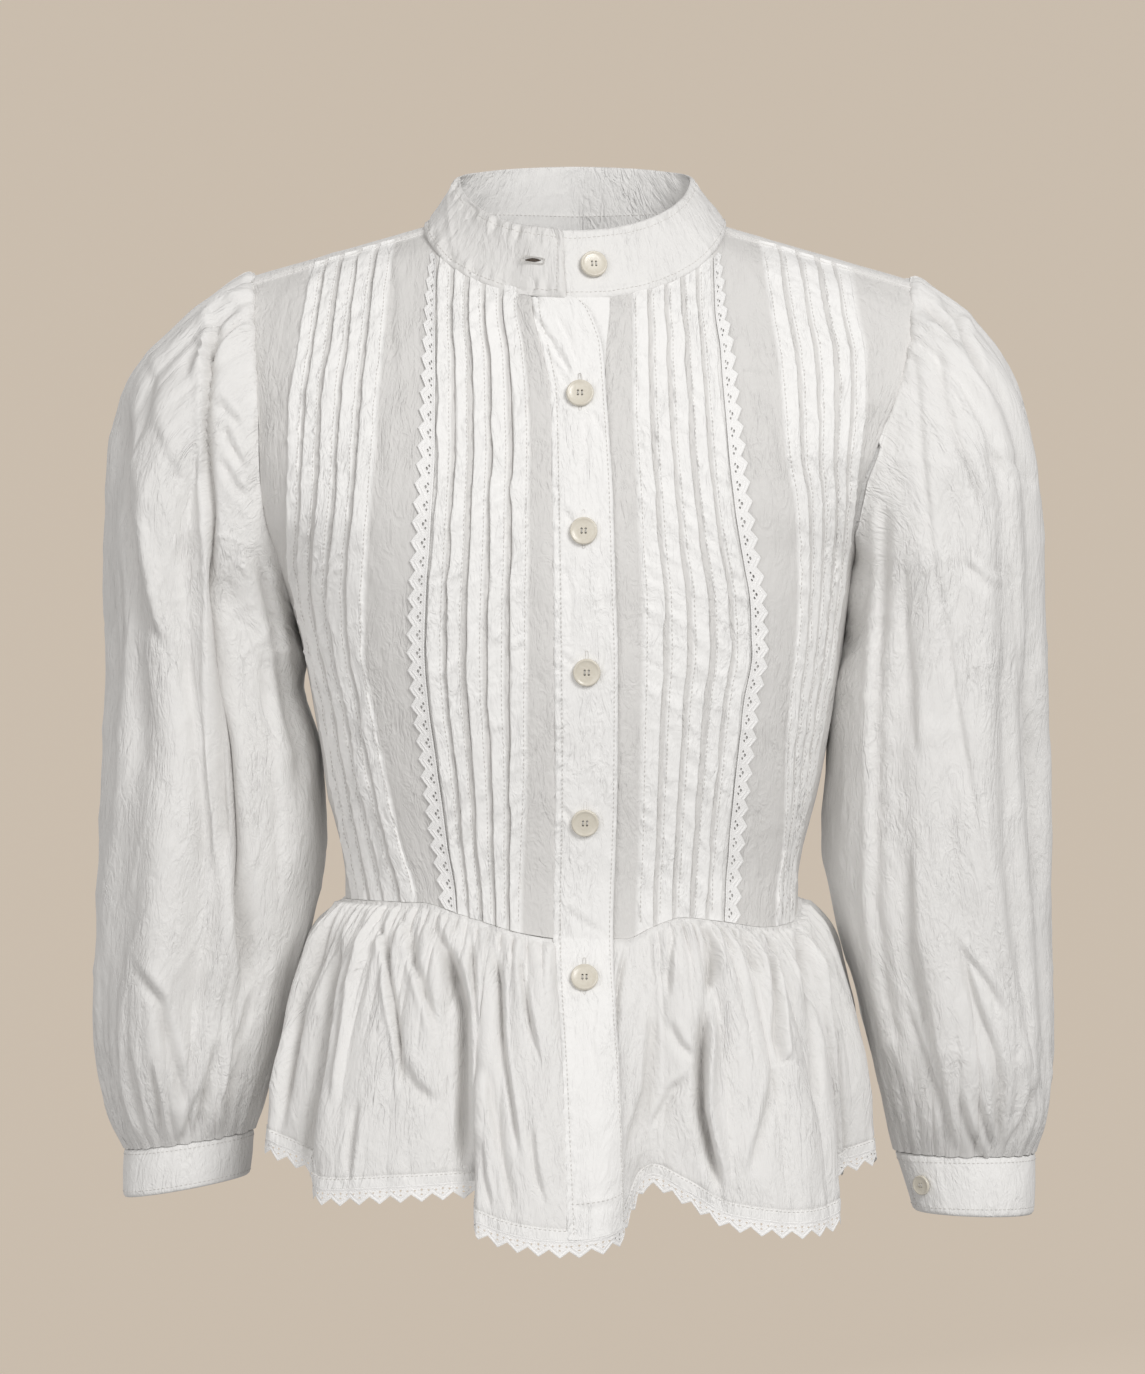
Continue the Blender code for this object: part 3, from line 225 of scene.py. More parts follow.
class Nodes:
    """A node tree that is filled by one method, with short names for the nodes that come often."""

    def __init__(self, tree: bpy.types.NodeTree) -> None:
        """Starts from an existing tree."""
        self.tree = tree

    @classmethod
    def group(cls, name: str, given: dict[str, str], made: str) -> "Nodes":
        """Starts a new group of geometry nodes.

        Args:
            name: The group's name.
            given: The kind of each input, by its label.
            made: The label of the geometry that comes out.

        Returns:
            The group's nodes.
        """
        tree = bpy.data.node_groups.new(name, "GeometryNodeTree")
        for label, kind in given.items():
            tree.interface.new_socket(label, in_out="INPUT", socket_type=f"NodeSocket{kind}")
        tree.interface.new_socket(made, in_out="OUTPUT", socket_type="NodeSocketGeometry")
        return cls(tree)

    def add(self, kind: str, settings: dict | None = None, inputs: dict | None = None) -> bpy.types.Node:
        """Adds a node.

        Args:
            kind: The node's type.
            settings: Its own settings, made before its sockets are filled.
            inputs: A value, socket or Value for each input, by name or number.

        Returns:
            The node.
        """
        node = self.tree.nodes.new(kind)
        for name, setting in (settings or {}).items():
            setattr(node, name, setting)
        self.fill(node, inputs or {})
        return node

    def fill(self, node: bpy.types.Node, inputs: dict) -> None:
        """Gives some of a node's inputs a value, or links them to a socket or a Value."""
        for key, given in inputs.items():
            socket = self.socket_of(node, key)
            if isinstance(given, Value):
                given = given.socket
            if isinstance(given, Socket):
                self.tree.links.new(given, socket)
            else:
                socket.default_value = given

    @staticmethod
    def socket_of(node: bpy.types.Node, key: str | int) -> Socket:
        """An input by its number, or the one of its name that the node's settings leave in use."""
        if isinstance(key, int):
            return node.inputs[key]
        return next(socket for socket in node.inputs if socket.name == key and socket.enabled)

    def out(self, kind: str, settings: dict | None = None, inputs: dict | None = None) -> Socket:
        """Adds a node and takes its first output."""
        return self.add(kind, settings, inputs).outputs[0]

    def value(
        self, kind: str, settings: dict | None = None, inputs: dict | None = None, output: int | str = 0
    ) -> Value:
        """Adds a node and takes one of its outputs as a Value."""
        return Value(self, self.add(kind, settings, inputs).outputs[output])

    def place(self) -> Socket:
        """Places in the object's own coordinates."""
        return self.add("ShaderNodeTexCoord").outputs["Object"]

    def noise(self, place: Socket, scale: float, detail: float, bent: float = 0.0) -> Value:
        """Adds noise at a place."""
        inputs = {"Vector": place, "Scale": scale, "Detail": detail, "Distortion": bent}
        return self.value("ShaderNodeTexNoise", None, inputs)

    def blend(self, share: Value | Socket, a: Colour | Socket, b: Colour) -> Socket:
        """Adds a colour that lies a share of the way from a to b."""
        made = self.add("ShaderNodeMix", {"data_type": "RGBA"}, {"Factor": share, "A": a, "B": b})
        return made.outputs["Result"]

    def bump(self, height: Value, distance: float, strength: float, under: Socket | None = None) -> Socket:
        """Adds relief, over the relief under it if there is one."""
        inputs = {"Height": height, "Distance": distance, "Strength": strength}
        return self.out("ShaderNodeBump", None, inputs | ({"Normal": under} if under else {}))


def new_material(name: str) -> tuple[bpy.types.Material, Nodes, bpy.types.Node]:
    """Makes an empty material.

    Args:
        name: The material's name.

    Returns:
        The material, its nodes and its Principled shader.
    """
    made = bpy.data.materials.new(name)
    made.use_nodes = True
    return made, Nodes(made.node_tree), made.node_tree.nodes["Principled BSDF"]


@dataclass(frozen=True)
class CottonFinish:
    """Washed and pressed cotton lawn: whiter where it lies double, greyer where shade is painted into its
    layers, with a plain weave and a soft crumple.
    """

    name: str = "washed_cotton"
    double: Colour = (0.90, 0.893, 0.88, 1)
    single: Colour = (0.665, 0.652, 0.634, 1)
    shaded: Colour = (0.80, 0.785, 0.76, 1)
    threads_per_m: float = 1500
    weave_depth: float = 0.00003
    crinkle: float = 1.1
    pucker: float = 0.35

    # A wave texture's scale for one band a metre
    ONE_BAND = math.tau / 20
    # Noise over the cloth: its scale, turn, stretch, detail and bend
    CRUMPLES = ((75, 0.35, 0.35, 4, 0.6), (190, -0.25, 0.4, 3, 0.4))
    CRUMPLE_HEIGHTS = (1.1, 0.55)
    PATCHES = (26, 0.2, 0.6, 2, 0.5)
    VEINS = ((95, 0.55, 0.34, 3, 2.2), (150, -0.5, 0.42, 3, 1.8))
    VEIN_HEIGHTS = (5, 3.4)
    # The puckers that stitching draws: their pitch, turn, bend and the bends' own scale
    PUCKERS = ((0.0150, 0.55, 6, 1.8), (0.0080, 0.35, 5, 2.2))

    def build(self) -> bpy.types.Material:
        """Makes the material on the cloth's own UV map, which is in metres, and its count of layers, which also
        carries painted shade.
        """
        made, nodes, shader = new_material(self.name)
        uv = nodes.out("ShaderNodeUVMap", {"uv_map": "cloth"})

        def turned(turn: float, stretch: float) -> Socket:
            """The cloth's places, turned and stretched."""
            inputs = {"Vector": uv, "Rotation": (0, 0, turn), "Scale": (1, stretch, 1)}
            return nodes.out("ShaderNodeMapping", None, inputs)

        def noise(scale: float, turn: float, stretch: float, detail: float, bent: float) -> Value:
            """Noise over the turned cloth."""
            return nodes.noise(turned(turn, stretch), scale, detail, bent)

        def ripples(pitch: float, turn: float, bent: float, bends: float) -> Value:
            """Bent ripples, between 0 and 1."""
            inputs = {"Vector": turned(turn, 1), "Scale": self.ONE_BAND / pitch, "Distortion": bent}
            inputs |= {"Detail": 2.0, "Detail Scale": bends}
            return nodes.value("ShaderNodeTexWave", {"bands_direction": "Y"}, inputs, 1)

        def threads(direction: str) -> Value:
            """The threads that run one way, between 0 and 1."""
            inputs = {"Vector": uv, "Scale": self.threads_per_m * self.ONE_BAND, "Distortion": 0.6}
            return nodes.value("ShaderNodeTexWave", {"bands_direction": direction}, inputs, 1)

        # Heights in millimetres: the crumple, the fine crinkles in patches, and the puckers at stitches
        drawn = nodes.value("ShaderNodeAttribute", {"attribute_name": "drawn"}, None, "Fac")
        large, small = (noise(*row) * height for row, height in zip(self.CRUMPLES, self.CRUMPLE_HEIGHTS))
        veins = zip(self.VEINS, self.VEIN_HEIGHTS)
        first, second = (noise(*row).away_from(0.5) * high for row, high in veins)
        crumpled = large + small - (first + second) * noise(*self.PATCHES).power(1.6) * self.crinkle
        wide, close = (ripples(*row) for row in self.PUCKERS)
        crumpled = crumpled + (wide.power(2.5) + close.power(3) * 0.4) * drawn * self.pucker
        slub = nodes.noise(uv, 900, 2)
        bumped = nodes.bump(crumpled, MM, 1.0)
        woven = nodes.bump(threads("X") * threads("Y") + slub * 0.8, self.weave_depth, 0.5, bumped)
        # The layers attribute whitens cloth that lies double and also carries painted shade, greyer in deep
        # creases and over the collar's wearer's-right half
        layers = nodes.add("ShaderNodeAttribute", {"attribute_name": "layers"}).outputs["Fac"]
        cloth = nodes.blend(layers, self.single, self.double)
        tone = nodes.blend(nodes.noise(uv, 30, 5) * 0.22 + slub * 0.10, cloth, self.shaded)
        nodes.fill(shader, {"Base Color": tone, "Normal": woven, "Roughness": 0.78 + slub * 0.14})
        nodes.fill(shader, {"Specular IOR Level": 0.25})
        return made


@dataclass(frozen=True)
class LaceFinish:
    """Crocheted cotton lace: duller and a touch warmer than the cloth, with a looped grain and painted shade in
    the hollows between its loops.
    """

    name: str = "cotton_lace"
    white: Colour = (0.97, 0.965, 0.955, 1)
    # The painted shade in the hollows between the loops
    hollow_shade: Colour = (0.80, 0.78, 0.76, 1)
    loops_per_m: float = 1300
    grain_depth: float = 0.00028

    def build(self) -> bpy.types.Material:
        """Makes the material on the lace's own UV map, which is in metres."""
        made, nodes, shader = new_material(self.name)
        uv = nodes.out("ShaderNodeUVMap", {"uv_map": "cloth"})
        inputs = {"Vector": uv, "Scale": self.loops_per_m, "Randomness": 0.55}
        loops = nodes.value("ShaderNodeTexVoronoi", {"feature": "F1"}, inputs)
        relief = nodes.bump((1 - loops) + nodes.noise(uv, 2400, 2) * 0.4, self.grain_depth, 1.0)
        # Painted shade: the colour greys towards the hollows between the loops
        tone = nodes.blend(loops.power(2), self.white, self.hollow_shade)
        nodes.fill(shader, {"Base Color": tone, "Normal": relief})
        nodes.fill(shader, {"Roughness": 0.92, "Specular IOR Level": 0.2})
        return made


@dataclass(frozen=True)
class ShellFinish:
    """Polished shell: cream and pale grey layers under a clear surface."""

    name: str = "shell"
    cream: Colour = (0.63, 0.58, 0.48, 1)
    pearl: Colour = (0.74, 0.70, 0.61, 1)
    layers_per_m: float = 260

    def build(self) -> bpy.types.Material:
        """Makes the material on Object coordinates."""
        made, nodes, shader = new_material(self.name)
        layers = nodes.noise(nodes.place(), self.layers_per_m, 4, 2.2)
        tone = nodes.blend((layers * 1.2).power(1.3), self.cream, self.pearl)
        relief = nodes.bump(layers, 0.00008, 0.6)
        nodes.fill(shader, {"Base Color": tone, "Normal": relief, "Roughness": 0.24 + layers * 0.16})
        nodes.fill(shader, {"Coat Weight": 0.35, "Coat Roughness": 0.12})
        return made


@dataclass(frozen=True)
class PlainFinish:
    """A matt finish of two colours that fine noise mixes."""

    name: str
    light: Colour
    dark: Colour
    scale: float
    detail: float
    contrast: float = 1.0
    roughness: float = 1.0

    def build(self) -> bpy.types.Material:
        """Makes the material on Object coordinates."""
        made, nodes, shader = new_material(self.name)
        share = nodes.noise(nodes.place(), self.scale, self.detail).power(self.contrast)
        tone = nodes.blend(share, self.light, self.dark)
        nodes.fill(shader, {"Base Color": tone, "Roughness": self.roughness})
        return made


# Matt cotton sewing thread, its ply shown as fine turns
THREAD_FINISH = PlainFinish(
    "sewing_thread", (0.80, 0.785, 0.76, 1), (0.58, 0.56, 0.53, 1), 3200, 1, roughness=0.85
)
# Painted shade: a dark sheet that stands for the shaded inside of the collar's open buttonhole, flecked a
# little lighter
SHADE_FINISH = PlainFinish(
    "buttonhole_shade", (0.050, 0.038, 0.030, 1), (0.16, 0.13, 0.11, 1), 900, 3, contrast=2
)


@dataclass(frozen=True)
class PaperFinish:
    """The studio's matt beige background paper."""

    name: str = "background_paper"
    beige: Colour = (0.80, 0.70, 0.585, 1)
    tooth: Colour = (0.72, 0.63, 0.5265, 1)
    glow: float = 0.30

    def build(self) -> bpy.types.Material:
        """Makes the material with a faint tooth."""
        made, nodes, shader = new_material(self.name)
        tone = nodes.blend(nodes.noise(nodes.place(), 60, 3) * 0.12, self.beige, self.tooth)
        nodes.fill(shader, {"Base Color": tone, "Emission Color": tone, "Emission Strength": self.glow})
        nodes.fill(shader, {"Roughness": 1.0, "Specular IOR Level": 0.0})
        return made


@dataclass(frozen=True)
class Finishes:
    """The materials that the pieces share, each made once."""

    cotton: bpy.types.Material
    lace: bpy.types.Material
    shell: bpy.types.Material
    thread: bpy.types.Material


# ---------------------------------------------------------------- meshes of cloth


def normals_of(grid: np.ndarray, wrap: bool, towards: tuple[float, float, float]) -> np.ndarray:
    """Finds how a grid of points faces.

    Args:
        grid: Rows and columns of points.
        wrap: Whether the last column meets the first.
        towards: Roughly how the point a quarter of the way across the middle row faces.

    Returns:
        A unit normal for each point.
    """
    if wrap:
        around = np.roll(grid, -1, axis=1) - np.roll(grid, 1, axis=1)
    else:
        around = np.gradient(grid, axis=1)
    normal = unit(np.cross(np.gradient(grid, axis=0), around))
    row, column = grid.shape[0] // 2, grid.shape[1] // 4
    return normal * np.sign(normal[row, column] @ np.array(towards, float))


def flat_places(grid: np.ndarray, wrap: bool = False) -> np.ndarray:
    """The UV place of each point, in metres across and along the cloth; one column more round a tube."""
    if wrap:
        grid = np.concatenate((grid, grid[:, :1]), axis=1)
    across = np.linalg.norm(np.diff(grid, axis=1), axis=2).mean(axis=0)
    along = np.linalg.norm(np.diff(grid, axis=0), axis=2).mean(axis=1)
    u = np.concatenate(([0.0], np.cumsum(across)))
    v = np.concatenate(([0.0], np.cumsum(along)))
    return np.stack(np.meshgrid(u, v), axis=-1)


CORNERS = ((0, 0), (0, 1), (1, 1), (1, 0))


def grid_quads(rows: int, columns: int, wrap: bool = False) -> np.ndarray:
    """The four point numbers of each face of a grid, whose last column meets the first if it wraps."""
    i, j = np.meshgrid(np.arange(rows - 1), np.arange(columns if wrap else columns - 1), indexing="ij")
    return np.stack([(i + a) * columns + (j + b) % columns for a, b in CORNERS], axis=-1).reshape(-1, 4)


def quad_mesh(name: str, points: np.ndarray, quads: np.ndarray, uvs: np.ndarray) -> bpy.types.Mesh:
    """Makes a smooth mesh of four-sided faces.

    Args:
        name: The mesh's name.
        points: The points, one a row.
        quads: Four point numbers a row.
        uvs: A UV place for each corner of each face.

    Returns:
        The mesh, sharp only where it turns by more than 70 degrees.
    """
    mesh = bpy.data.meshes.new(name)
    mesh.vertices.add(len(points))
    mesh.vertices.foreach_set("co", points.astype(np.float32).ravel())
    mesh.loops.add(quads.size)
    mesh.loops.foreach_set("vertex_index", quads.astype(np.int32).ravel())
    mesh.polygons.add(len(quads))
    mesh.polygons.foreach_set("loop_start", np.arange(0, quads.size, 4, dtype=np.int32))
    mesh.polygons.foreach_set("use_smooth", np.ones(len(quads), bool))
    mesh.update(calc_edges=True)
    layer = mesh.uv_layers.new(name="cloth")
    layer.data.foreach_set("uv", uvs.astype(np.float32).ravel())
    mesh.set_sharp_from_angle(angle=math.radians(70))
    return mesh


def add_object(name: str, mesh: bpy.types.Mesh, finish: bpy.types.Material | None = None) -> bpy.types.Object:
    """Adds a mesh to the scene as an object at the origin, in its finish."""
    if finish:
        mesh.materials.clear()
        mesh.materials.append(finish)
    piece = bpy.data.objects.new(f"{name}_piece", mesh)
    bpy.context.scene.collection.objects.link(piece)
    return piece


def shell(
    name: str,
    outer: np.ndarray,
    inner: np.ndarray,
    finish: bpy.types.Material,
    wrap: bool = False,
    layers: np.ndarray | float = 0.5,
    drawn: np.ndarray | float = 0.0,
) -> bpy.types.Object:
    """Makes a thin closed piece of cloth between two grids of points.

    Args:
        name: The piece's name.
        outer: The points of its outer face.
        inner: The points of its inner face, in the same order.
        finish: Its material.
        wrap: Whether the last column meets the first.
        layers: How doubled the cloth is at each point, from 0 to 1, or all over.
        drawn: How much stitching draws it into puckers there, from 0 to 1.

    Returns:
        The piece, its faces pointing outwards.
    """
    rows, columns = outer.shape[:2]
    behind = rows * columns
    places = flat_places(outer, wrap)
    face = grid_quads(rows, columns, wrap)
    uv = places.reshape(-1, 2)[grid_quads(*places.shape[:2])]
    points = np.concatenate((outer.reshape(-1, 3), inner.reshape(-1, 3)))
    facing = np.cross(points[face[:, 1]] - points[face[:, 0]], points[face[:, 3]] - points[face[:, 0]])
    inside_out = (facing * (points[face[:, 0]] - points[face[:, 0] + behind])).sum() < 0
    quads, uvs = [face, face[:, ::-1] + behind], [uv, uv[:, ::-1]]

    def close(row: np.ndarray, column: np.ndarray, down: int, on: int, flip: bool) -> None:
        """Closes an edge: each face runs from a place on it to the next one down or on."""
        a, b = row * columns + column, (row + down) * columns + (column + on) % columns
        rim = np.stack((a, a + behind, b + behind, b), axis=-1)
        here = np.stack([places[row + down * k, column + on * k] for k in (0, 0, 1, 1)], axis=1)
        quads.append(rim[:, ::-1] if flip else rim)
        uvs.append(here[:, ::-1] if flip else here)

    across, along = np.arange(columns - (not wrap)), np.arange(rows - 1)
    for row in (0, rows - 1):
        close(np.full_like(across, row), across, 0, 1, row > 0)
    for column in () if wrap else (0, columns - 1):
        close(along, np.full_like(along, column), 1, 0, column == 0)
    quads, uvs = np.concatenate(quads), np.concatenate(uvs)
    if inside_out:
        quads, uvs = quads[:, ::-1], uvs[:, ::-1]
    mesh = quad_mesh(name, points, quads, uvs)
    for label, shares in (("layers", layers), ("drawn", drawn)):
        at_points = np.tile(np.broadcast_to(shares, (rows, columns)).astype(np.float32).ravel(), 2)
        mesh.attributes.new(label, "FLOAT", "POINT").data.foreach_set("value", at_points)
    return add_object(name, mesh, finish)


def dress(piece: bpy.types.Object, slot: str, *nodes: str) -> bpy.types.Object:
    """Fixes a piece to the blouse, in place of the nodes it stands for."""
    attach(piece, ROOT)
    if nodes:
        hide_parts(*nodes)
    LOG.info("%s: %d faces", piece.name, len(piece.data.polygons))
    return piece


@dataclass(frozen=True)
class Crease:
    """A crease along a path down the cloth, and the lip that stands up beside it, all in millimetres.

    The path is given across and up as the camera sees it on the plane Y = 0, or straight from behind. A
    positive lip stands on the wearer's left of a path that runs down, as a share of the crease's depth.
    """

    depth: float
    width: float
    lip: float
    path: tuple[tuple[float, float], ...]
    behind: bool = False

    # In widths of the crease: its valley towards the lip and away from it, and the lip's place and width
    VALLEY = (0.7, 1.5)
    LIP = (1.8, 1.1)
    # An end fades over a length and some times the depth, but over no more than a share of the path
    FADE = (0.006, 5, 0.35)

    def seen(self, points: np.ndarray) -> np.ndarray:
        """Where the points lie across and up, as the path is given."""
        eye = np.array(CAMERA_PLACE)
        if self.behind:
            return points[..., (0, 2)]
        nearer = -eye[1] / (points[..., 1] - eye[1])
        return (points[..., (0, 2)] - eye[[0, 2]]) * nearer[..., None] + eye[[0, 2]]

    def push(self, points: np.ndarray, normals: np.ndarray) -> np.ndarray:
        """Works out how far it moves the cloth.

        Args:
            points: Places on the cloth.
            normals: How the cloth faces there.

        Returns:
            The distance outwards at each place.
        """
        seen, path = self.seen(points), np.array(self.path) * MM
        lengths = np.linalg.norm(np.diff(path, axis=0), axis=1)
        gap, off, run = np.full(seen.shape[:-1], 1.0), np.zeros(seen.shape[:-1]), np.zeros(seen.shape[:-1])
        for start, end, length, before in zip(path[:-1], path[1:], lengths, np.cumsum(lengths) - lengths):
            way = (end - start) / length
            here = np.clip((seen - start) @ way, 0, length)
            side = (seen - start) @ np.array((-way[1], way[0]))
            away = np.linalg.norm(seen - start - here[..., None] * way, axis=-1)
            closer = away < gap
            gap, off = np.where(closer, away, gap), np.where(closer, np.copysign(away, side), off)
            run = np.where(closer, before + here, run)
        off = off * math.copysign(1, self.lip) / (self.width * MM)
        near, far = self.VALLEY
        moved = abs(self.lip) * bell(off - self.LIP[0], self.LIP[1]) - bell(off, np.where(off > 0, near, far))
        total, (plain, deep, most) = lengths.sum(), self.FADE
        fade = min(plain + deep * self.depth * MM, most * total)
        ends = smooth(run / fade + 0.15) * smooth((total - run) / fade + 0.15)
        shown = smooth((normals[..., 1] * (1 if self.behind else -1) - 0.02) / 0.3)
        return self.depth * MM * moved * ends * shown


def creases(*rows: tuple, behind: bool = False) -> tuple[Crease, ...]:
    """Creases from rows of depth, width, lip and then the places of the path."""
    return tuple(Crease(depth, width, lip, tuple(path), behind) for depth, width, lip, *path in rows)


def pushed(points: np.ndarray, normals: np.ndarray, creases: tuple[Crease, ...]) -> np.ndarray:
    """How far all the creases together move the cloth outwards."""
    return sum((crease.push(points, normals) for crease in creases), np.zeros(points.shape[:-1]))


def shaded_in_creases(layers: float, moved: np.ndarray, rows: int) -> np.ndarray:
    """How white the cloth is, with painted shade greying it in its deep creases, and a share for each added row
    at the top.
    """
    # Painted shade: the deeper the crease, the greyer the cloth's colour, as shade falls in it
    shares = layers * (1 - smooth(-moved / 0.007))
    return np.concatenate([shares[:1]] * rows + [shares])


def gathers(phase: np.ndarray) -> np.ndarray:
    """Rounded ridges, one for each whole step of the phase, with pinched valleys between them."""
    return np.abs(np.sin(phase * math.pi)) ** 0.55


def allowance(row: np.ndarray, facing: np.ndarray, rise: float, sink: Amount = 0.0007) -> np.ndarray:
    """The seam allowance of an edge: one more row, running on by a rise under the neighbouring piece."""
    return (row + np.array((0, 0, rise)) - facing * sink)[None]


def crumple(noise: Unevenness, u: np.ndarray, v: np.ndarray, depth: float) -> np.ndarray:
    """The washed cloth's own unevenness: leaning creases of three sizes.

    Args:
        noise: Its source.
        u: Metres across.
        v: Metres along.
        depth: How high the largest stand.

    Returns:
        The distance outwards at each place.
    """
    large = noise.at(u / 0.034 + 0.3 * v / 0.034, v / 0.060)
    ridged = noise.creases(u / 0.021, v / 0.028, 0.45) - 0.35
    small = noise.at(u / 0.0085 - 0.4 * v / 0.0085 + 7, v / 0.013 + 3)
    return depth * (0.55 * large + 0.55 * ridged + 0.22 * small)


# ---------------------------------------------------------------- the part's own sections

# The torso's rings: half-widths to the wearer's right and left, depths before and behind, squareness.
TORSO = Table(
    ("right", "left", "front", "back", "square"),
    (
        (0.031, 0.216, 0.224, -0.004, 0.004, 2.6),
        (0.028, 0.215, 0.223, 0.012, 0.026, 2.6),
        (0.024, 0.215, 0.222, 0.022, 0.036, 2.6),
        (0.010, 0.213, 0.220, 0.045, 0.057, 2.6),
        (-0.020, 0.209, 0.214, 0.069, 0.077, 2.6),
        (-0.043, 0.206, 0.208, 0.083, 0.087, 2.6),
        (-0.070, 0.202, 0.200, 0.093, 0.096, 2.5),
        (-0.100, 0.198, 0.192, 0.102, 0.103, 2.5),
        (-0.130, 0.194, 0.181, 0.109, 0.107, 2.4),
        (-0.160, 0.187, 0.171, 0.114, 0.109, 2.4),
        (-0.187, 0.176, 0.163, 0.117, 0.108, 2.3),
        (-0.211, 0.165, 0.1585, 0.118, 0.105, 2.3),
        (-0.240, 0.157, 0.154, 0.117, 0.102, 2.3),
        (-0.270, 0.1515, 0.149, 0.114, 0.098, 2.3),
        (-0.300, 0.1465, 0.144, 0.109, 0.093, 2.3),
        (-0.322, 0.143, 0.140, 0.105, 0.089, 2.3),
        (-0.340, 0.1385, 0.1355, 0.101, 0.086, 2.3),
        (-0.357, 0.1345, 0.131, 0.098, 0.084, 2.3),
        (-0.374, 0.1325, 0.1285, 0.0955, 0.0825, 2.3),
        (-0.410, 0.1325, 0.1290, 0.0945, 0.0820, 2.3),
    ),
)

# Where the wearer's right front's lines run across, by height: the placket's seam, the inner tucks,
# the outer tucks. The first tuck of the inner group from the side has the lace under its fold.
RIGHT_LINES = Table(
    ("placket", "inner_near", "inner_far", "outer_near", "outer_far"),
    (
        (0.005, -0.0240, -0.0320, -0.0765, -0.1040, -0.1480),
        (-0.048, -0.0250, -0.0330, -0.0770, -0.1080, -0.1540),
        (-0.073, -0.0200, -0.0292, -0.0765, -0.1092, -0.1570),
        (-0.103, -0.0140, -0.0268, -0.0762, -0.1118, -0.1605),
        (-0.131, -0.0133, -0.0260, -0.0762, -0.1130, -0.1612),
        (-0.159, -0.0127, -0.0265, -0.0775, -0.1150, -0.1614),
        (-0.187, -0.0127, -0.0265, -0.0790, -0.1168, -0.1625),
        (-0.214, -0.0122, -0.0270, -0.0805, -0.1185, -0.1590),
        (-0.242, -0.0117, -0.0270, -0.0812, -0.1187, -0.1525),
        (-0.269, -0.0117, -0.0276, -0.0798, -0.1145, -0.1465),
        (-0.297, -0.0117, -0.0276, -0.0762, -0.1098, -0.1415),
        (-0.325, -0.0112, -0.0283, -0.0726, -0.1040, -0.1365),
        (-0.353, -0.0118, -0.0296, -0.0695, -0.0970, -0.1310),
        (-0.376, -0.0123, -0.0307, -0.0660, -0.0905, -0.1275),
        (-0.405, -0.0124, -0.0312, -0.0640, -0.0880, -0.1250),
    ),
)
LEFT_LINES = Table(
    ("placket", "inner_near", "inner_far", "outer_near", "outer_far"),
    (
        (0.005, 0.0195, 0.0330, 0.0765, 0.1060, 0.1560),
        (-0.048, 0.0195, 0.0332, 0.0768, 0.1115, 0.1600),
        (-0.073, 0.0175, 0.0335, 0.0795, 0.1150, 0.1645),
        (-0.103, 0.0162, 0.0335, 0.0815, 0.1175, 0.1640),
        (-0.131, 0.0155, 0.0347, 0.0835, 0.1190, 0.1605),
        (-0.159, 0.0155, 0.0363, 0.0860, 0.1240, 0.1580),
        (-0.187, 0.0155, 0.0373, 0.0905, 0.1255, 0.1550),
        (-0.214, 0.0155, 0.0390, 0.0955, 0.1257, 0.1515),
        (-0.242, 0.0155, 0.0390, 0.0967, 0.1240, 0.1480),
        (-0.269, 0.0155, 0.0385, 0.0923, 0.1208, 0.1435),
        (-0.297, 0.0155, 0.0380, 0.0892, 0.1193, 0.1390),
        (-0.325, 0.0155, 0.0376, 0.0861, 0.1190, 0.1340),
        (-0.353, 0.0155, 0.0371, 0.0834, 0.1180, 0.1275),
        (-0.376, 0.0155, 0.0360, 0.0818, 0.1150, 0.1255),
        (-0.405, 0.0155, 0.0355, 0.0810, 0.1140, 0.1250),
    ),
)

# The armhole seams: how far out they lie, before and behind, by height.
RIGHT_ARMHOLE = Table(
    ("front", "back"),
    (
        (-0.0235, 0.1870, 0.1870), (-0.0500, 0.1860, 0.1800), (-0.0720, 0.1840, 0.1750),
        (-0.1030, 0.1800, 0.1710), (-0.1360, 0.1785, 0.1700), (-0.1620, 0.1775, 0.1705),
        (-0.1870, 0.1710, 0.1690), (-0.2050, 0.1675, 0.1675),
    ),
)
LEFT_ARMHOLE = Table(
    ("front", "back"),
    (
        (-0.0255, 0.1950, 0.1950), (-0.0500, 0.1948, 0.1860), (-0.0720, 0.1920, 0.1780),
        (-0.0910, 0.1850, 0.1720), (-0.1140, 0.1754, 0.1670), (-0.1330, 0.1680, 0.1650),
        (-0.1480, 0.1622, 0.1630), (-0.1810, 0.1580, 0.1600), (-0.2050, 0.1597, 0.1597),
    ),
)

# The waist seam's and the hem's heights by the angle round from the centre front.
WAIST_SEAM = Table(
    ("height",),
    (
        (-180, -0.3840), (-90, -0.3845), (-60, -0.3835), (-38, -0.3835), (-22, -0.3920), (-10, -0.4000),
        (0, -0.4030), (10, -0.4030), (16, -0.3970), (24, -0.3915), (36, -0.3940), (55, -0.3985),
        (72, -0.3970), (90, -0.3850), (180, -0.3840),
    ),
)
HEM = Table(
    ("height",),
    (
        (-180, -0.528), (-120, -0.520), (-88, -0.507), (-65, -0.5205), (-47, -0.541), (-32, -0.538),
        (-17, -0.5355), (-14, -0.555), (0, -0.565), (6, -0.559), (9, -0.545), (12, -0.535), (15, -0.5315),
        (21, -0.540), (28, -0.553), (42, -0.5585), (54, -0.553), (60, -0.539), (80, -0.526), (120, -0.524),
        (180, -0.528),
    ),
)

# The peplum's rings by the share of the way from the waist seam to the hem.
PEPLUM = Table(
    ("right", "left", "front", "back"),
    (
        (0.00, 0.1325, 0.1290, 0.0945, 0.0820),
        (0.10, 0.1400, 0.1385, 0.1010, 0.0900),
        (0.25, 0.1510, 0.1500, 0.1110, 0.1020),
        (0.50, 0.1640, 0.1620, 0.1240, 0.1180),
        (0.75, 0.1710, 0.1680, 0.1330, 0.1290),
        (1.00, 0.1750, 0.1700, 0.1400, 0.1370),
    ),
)

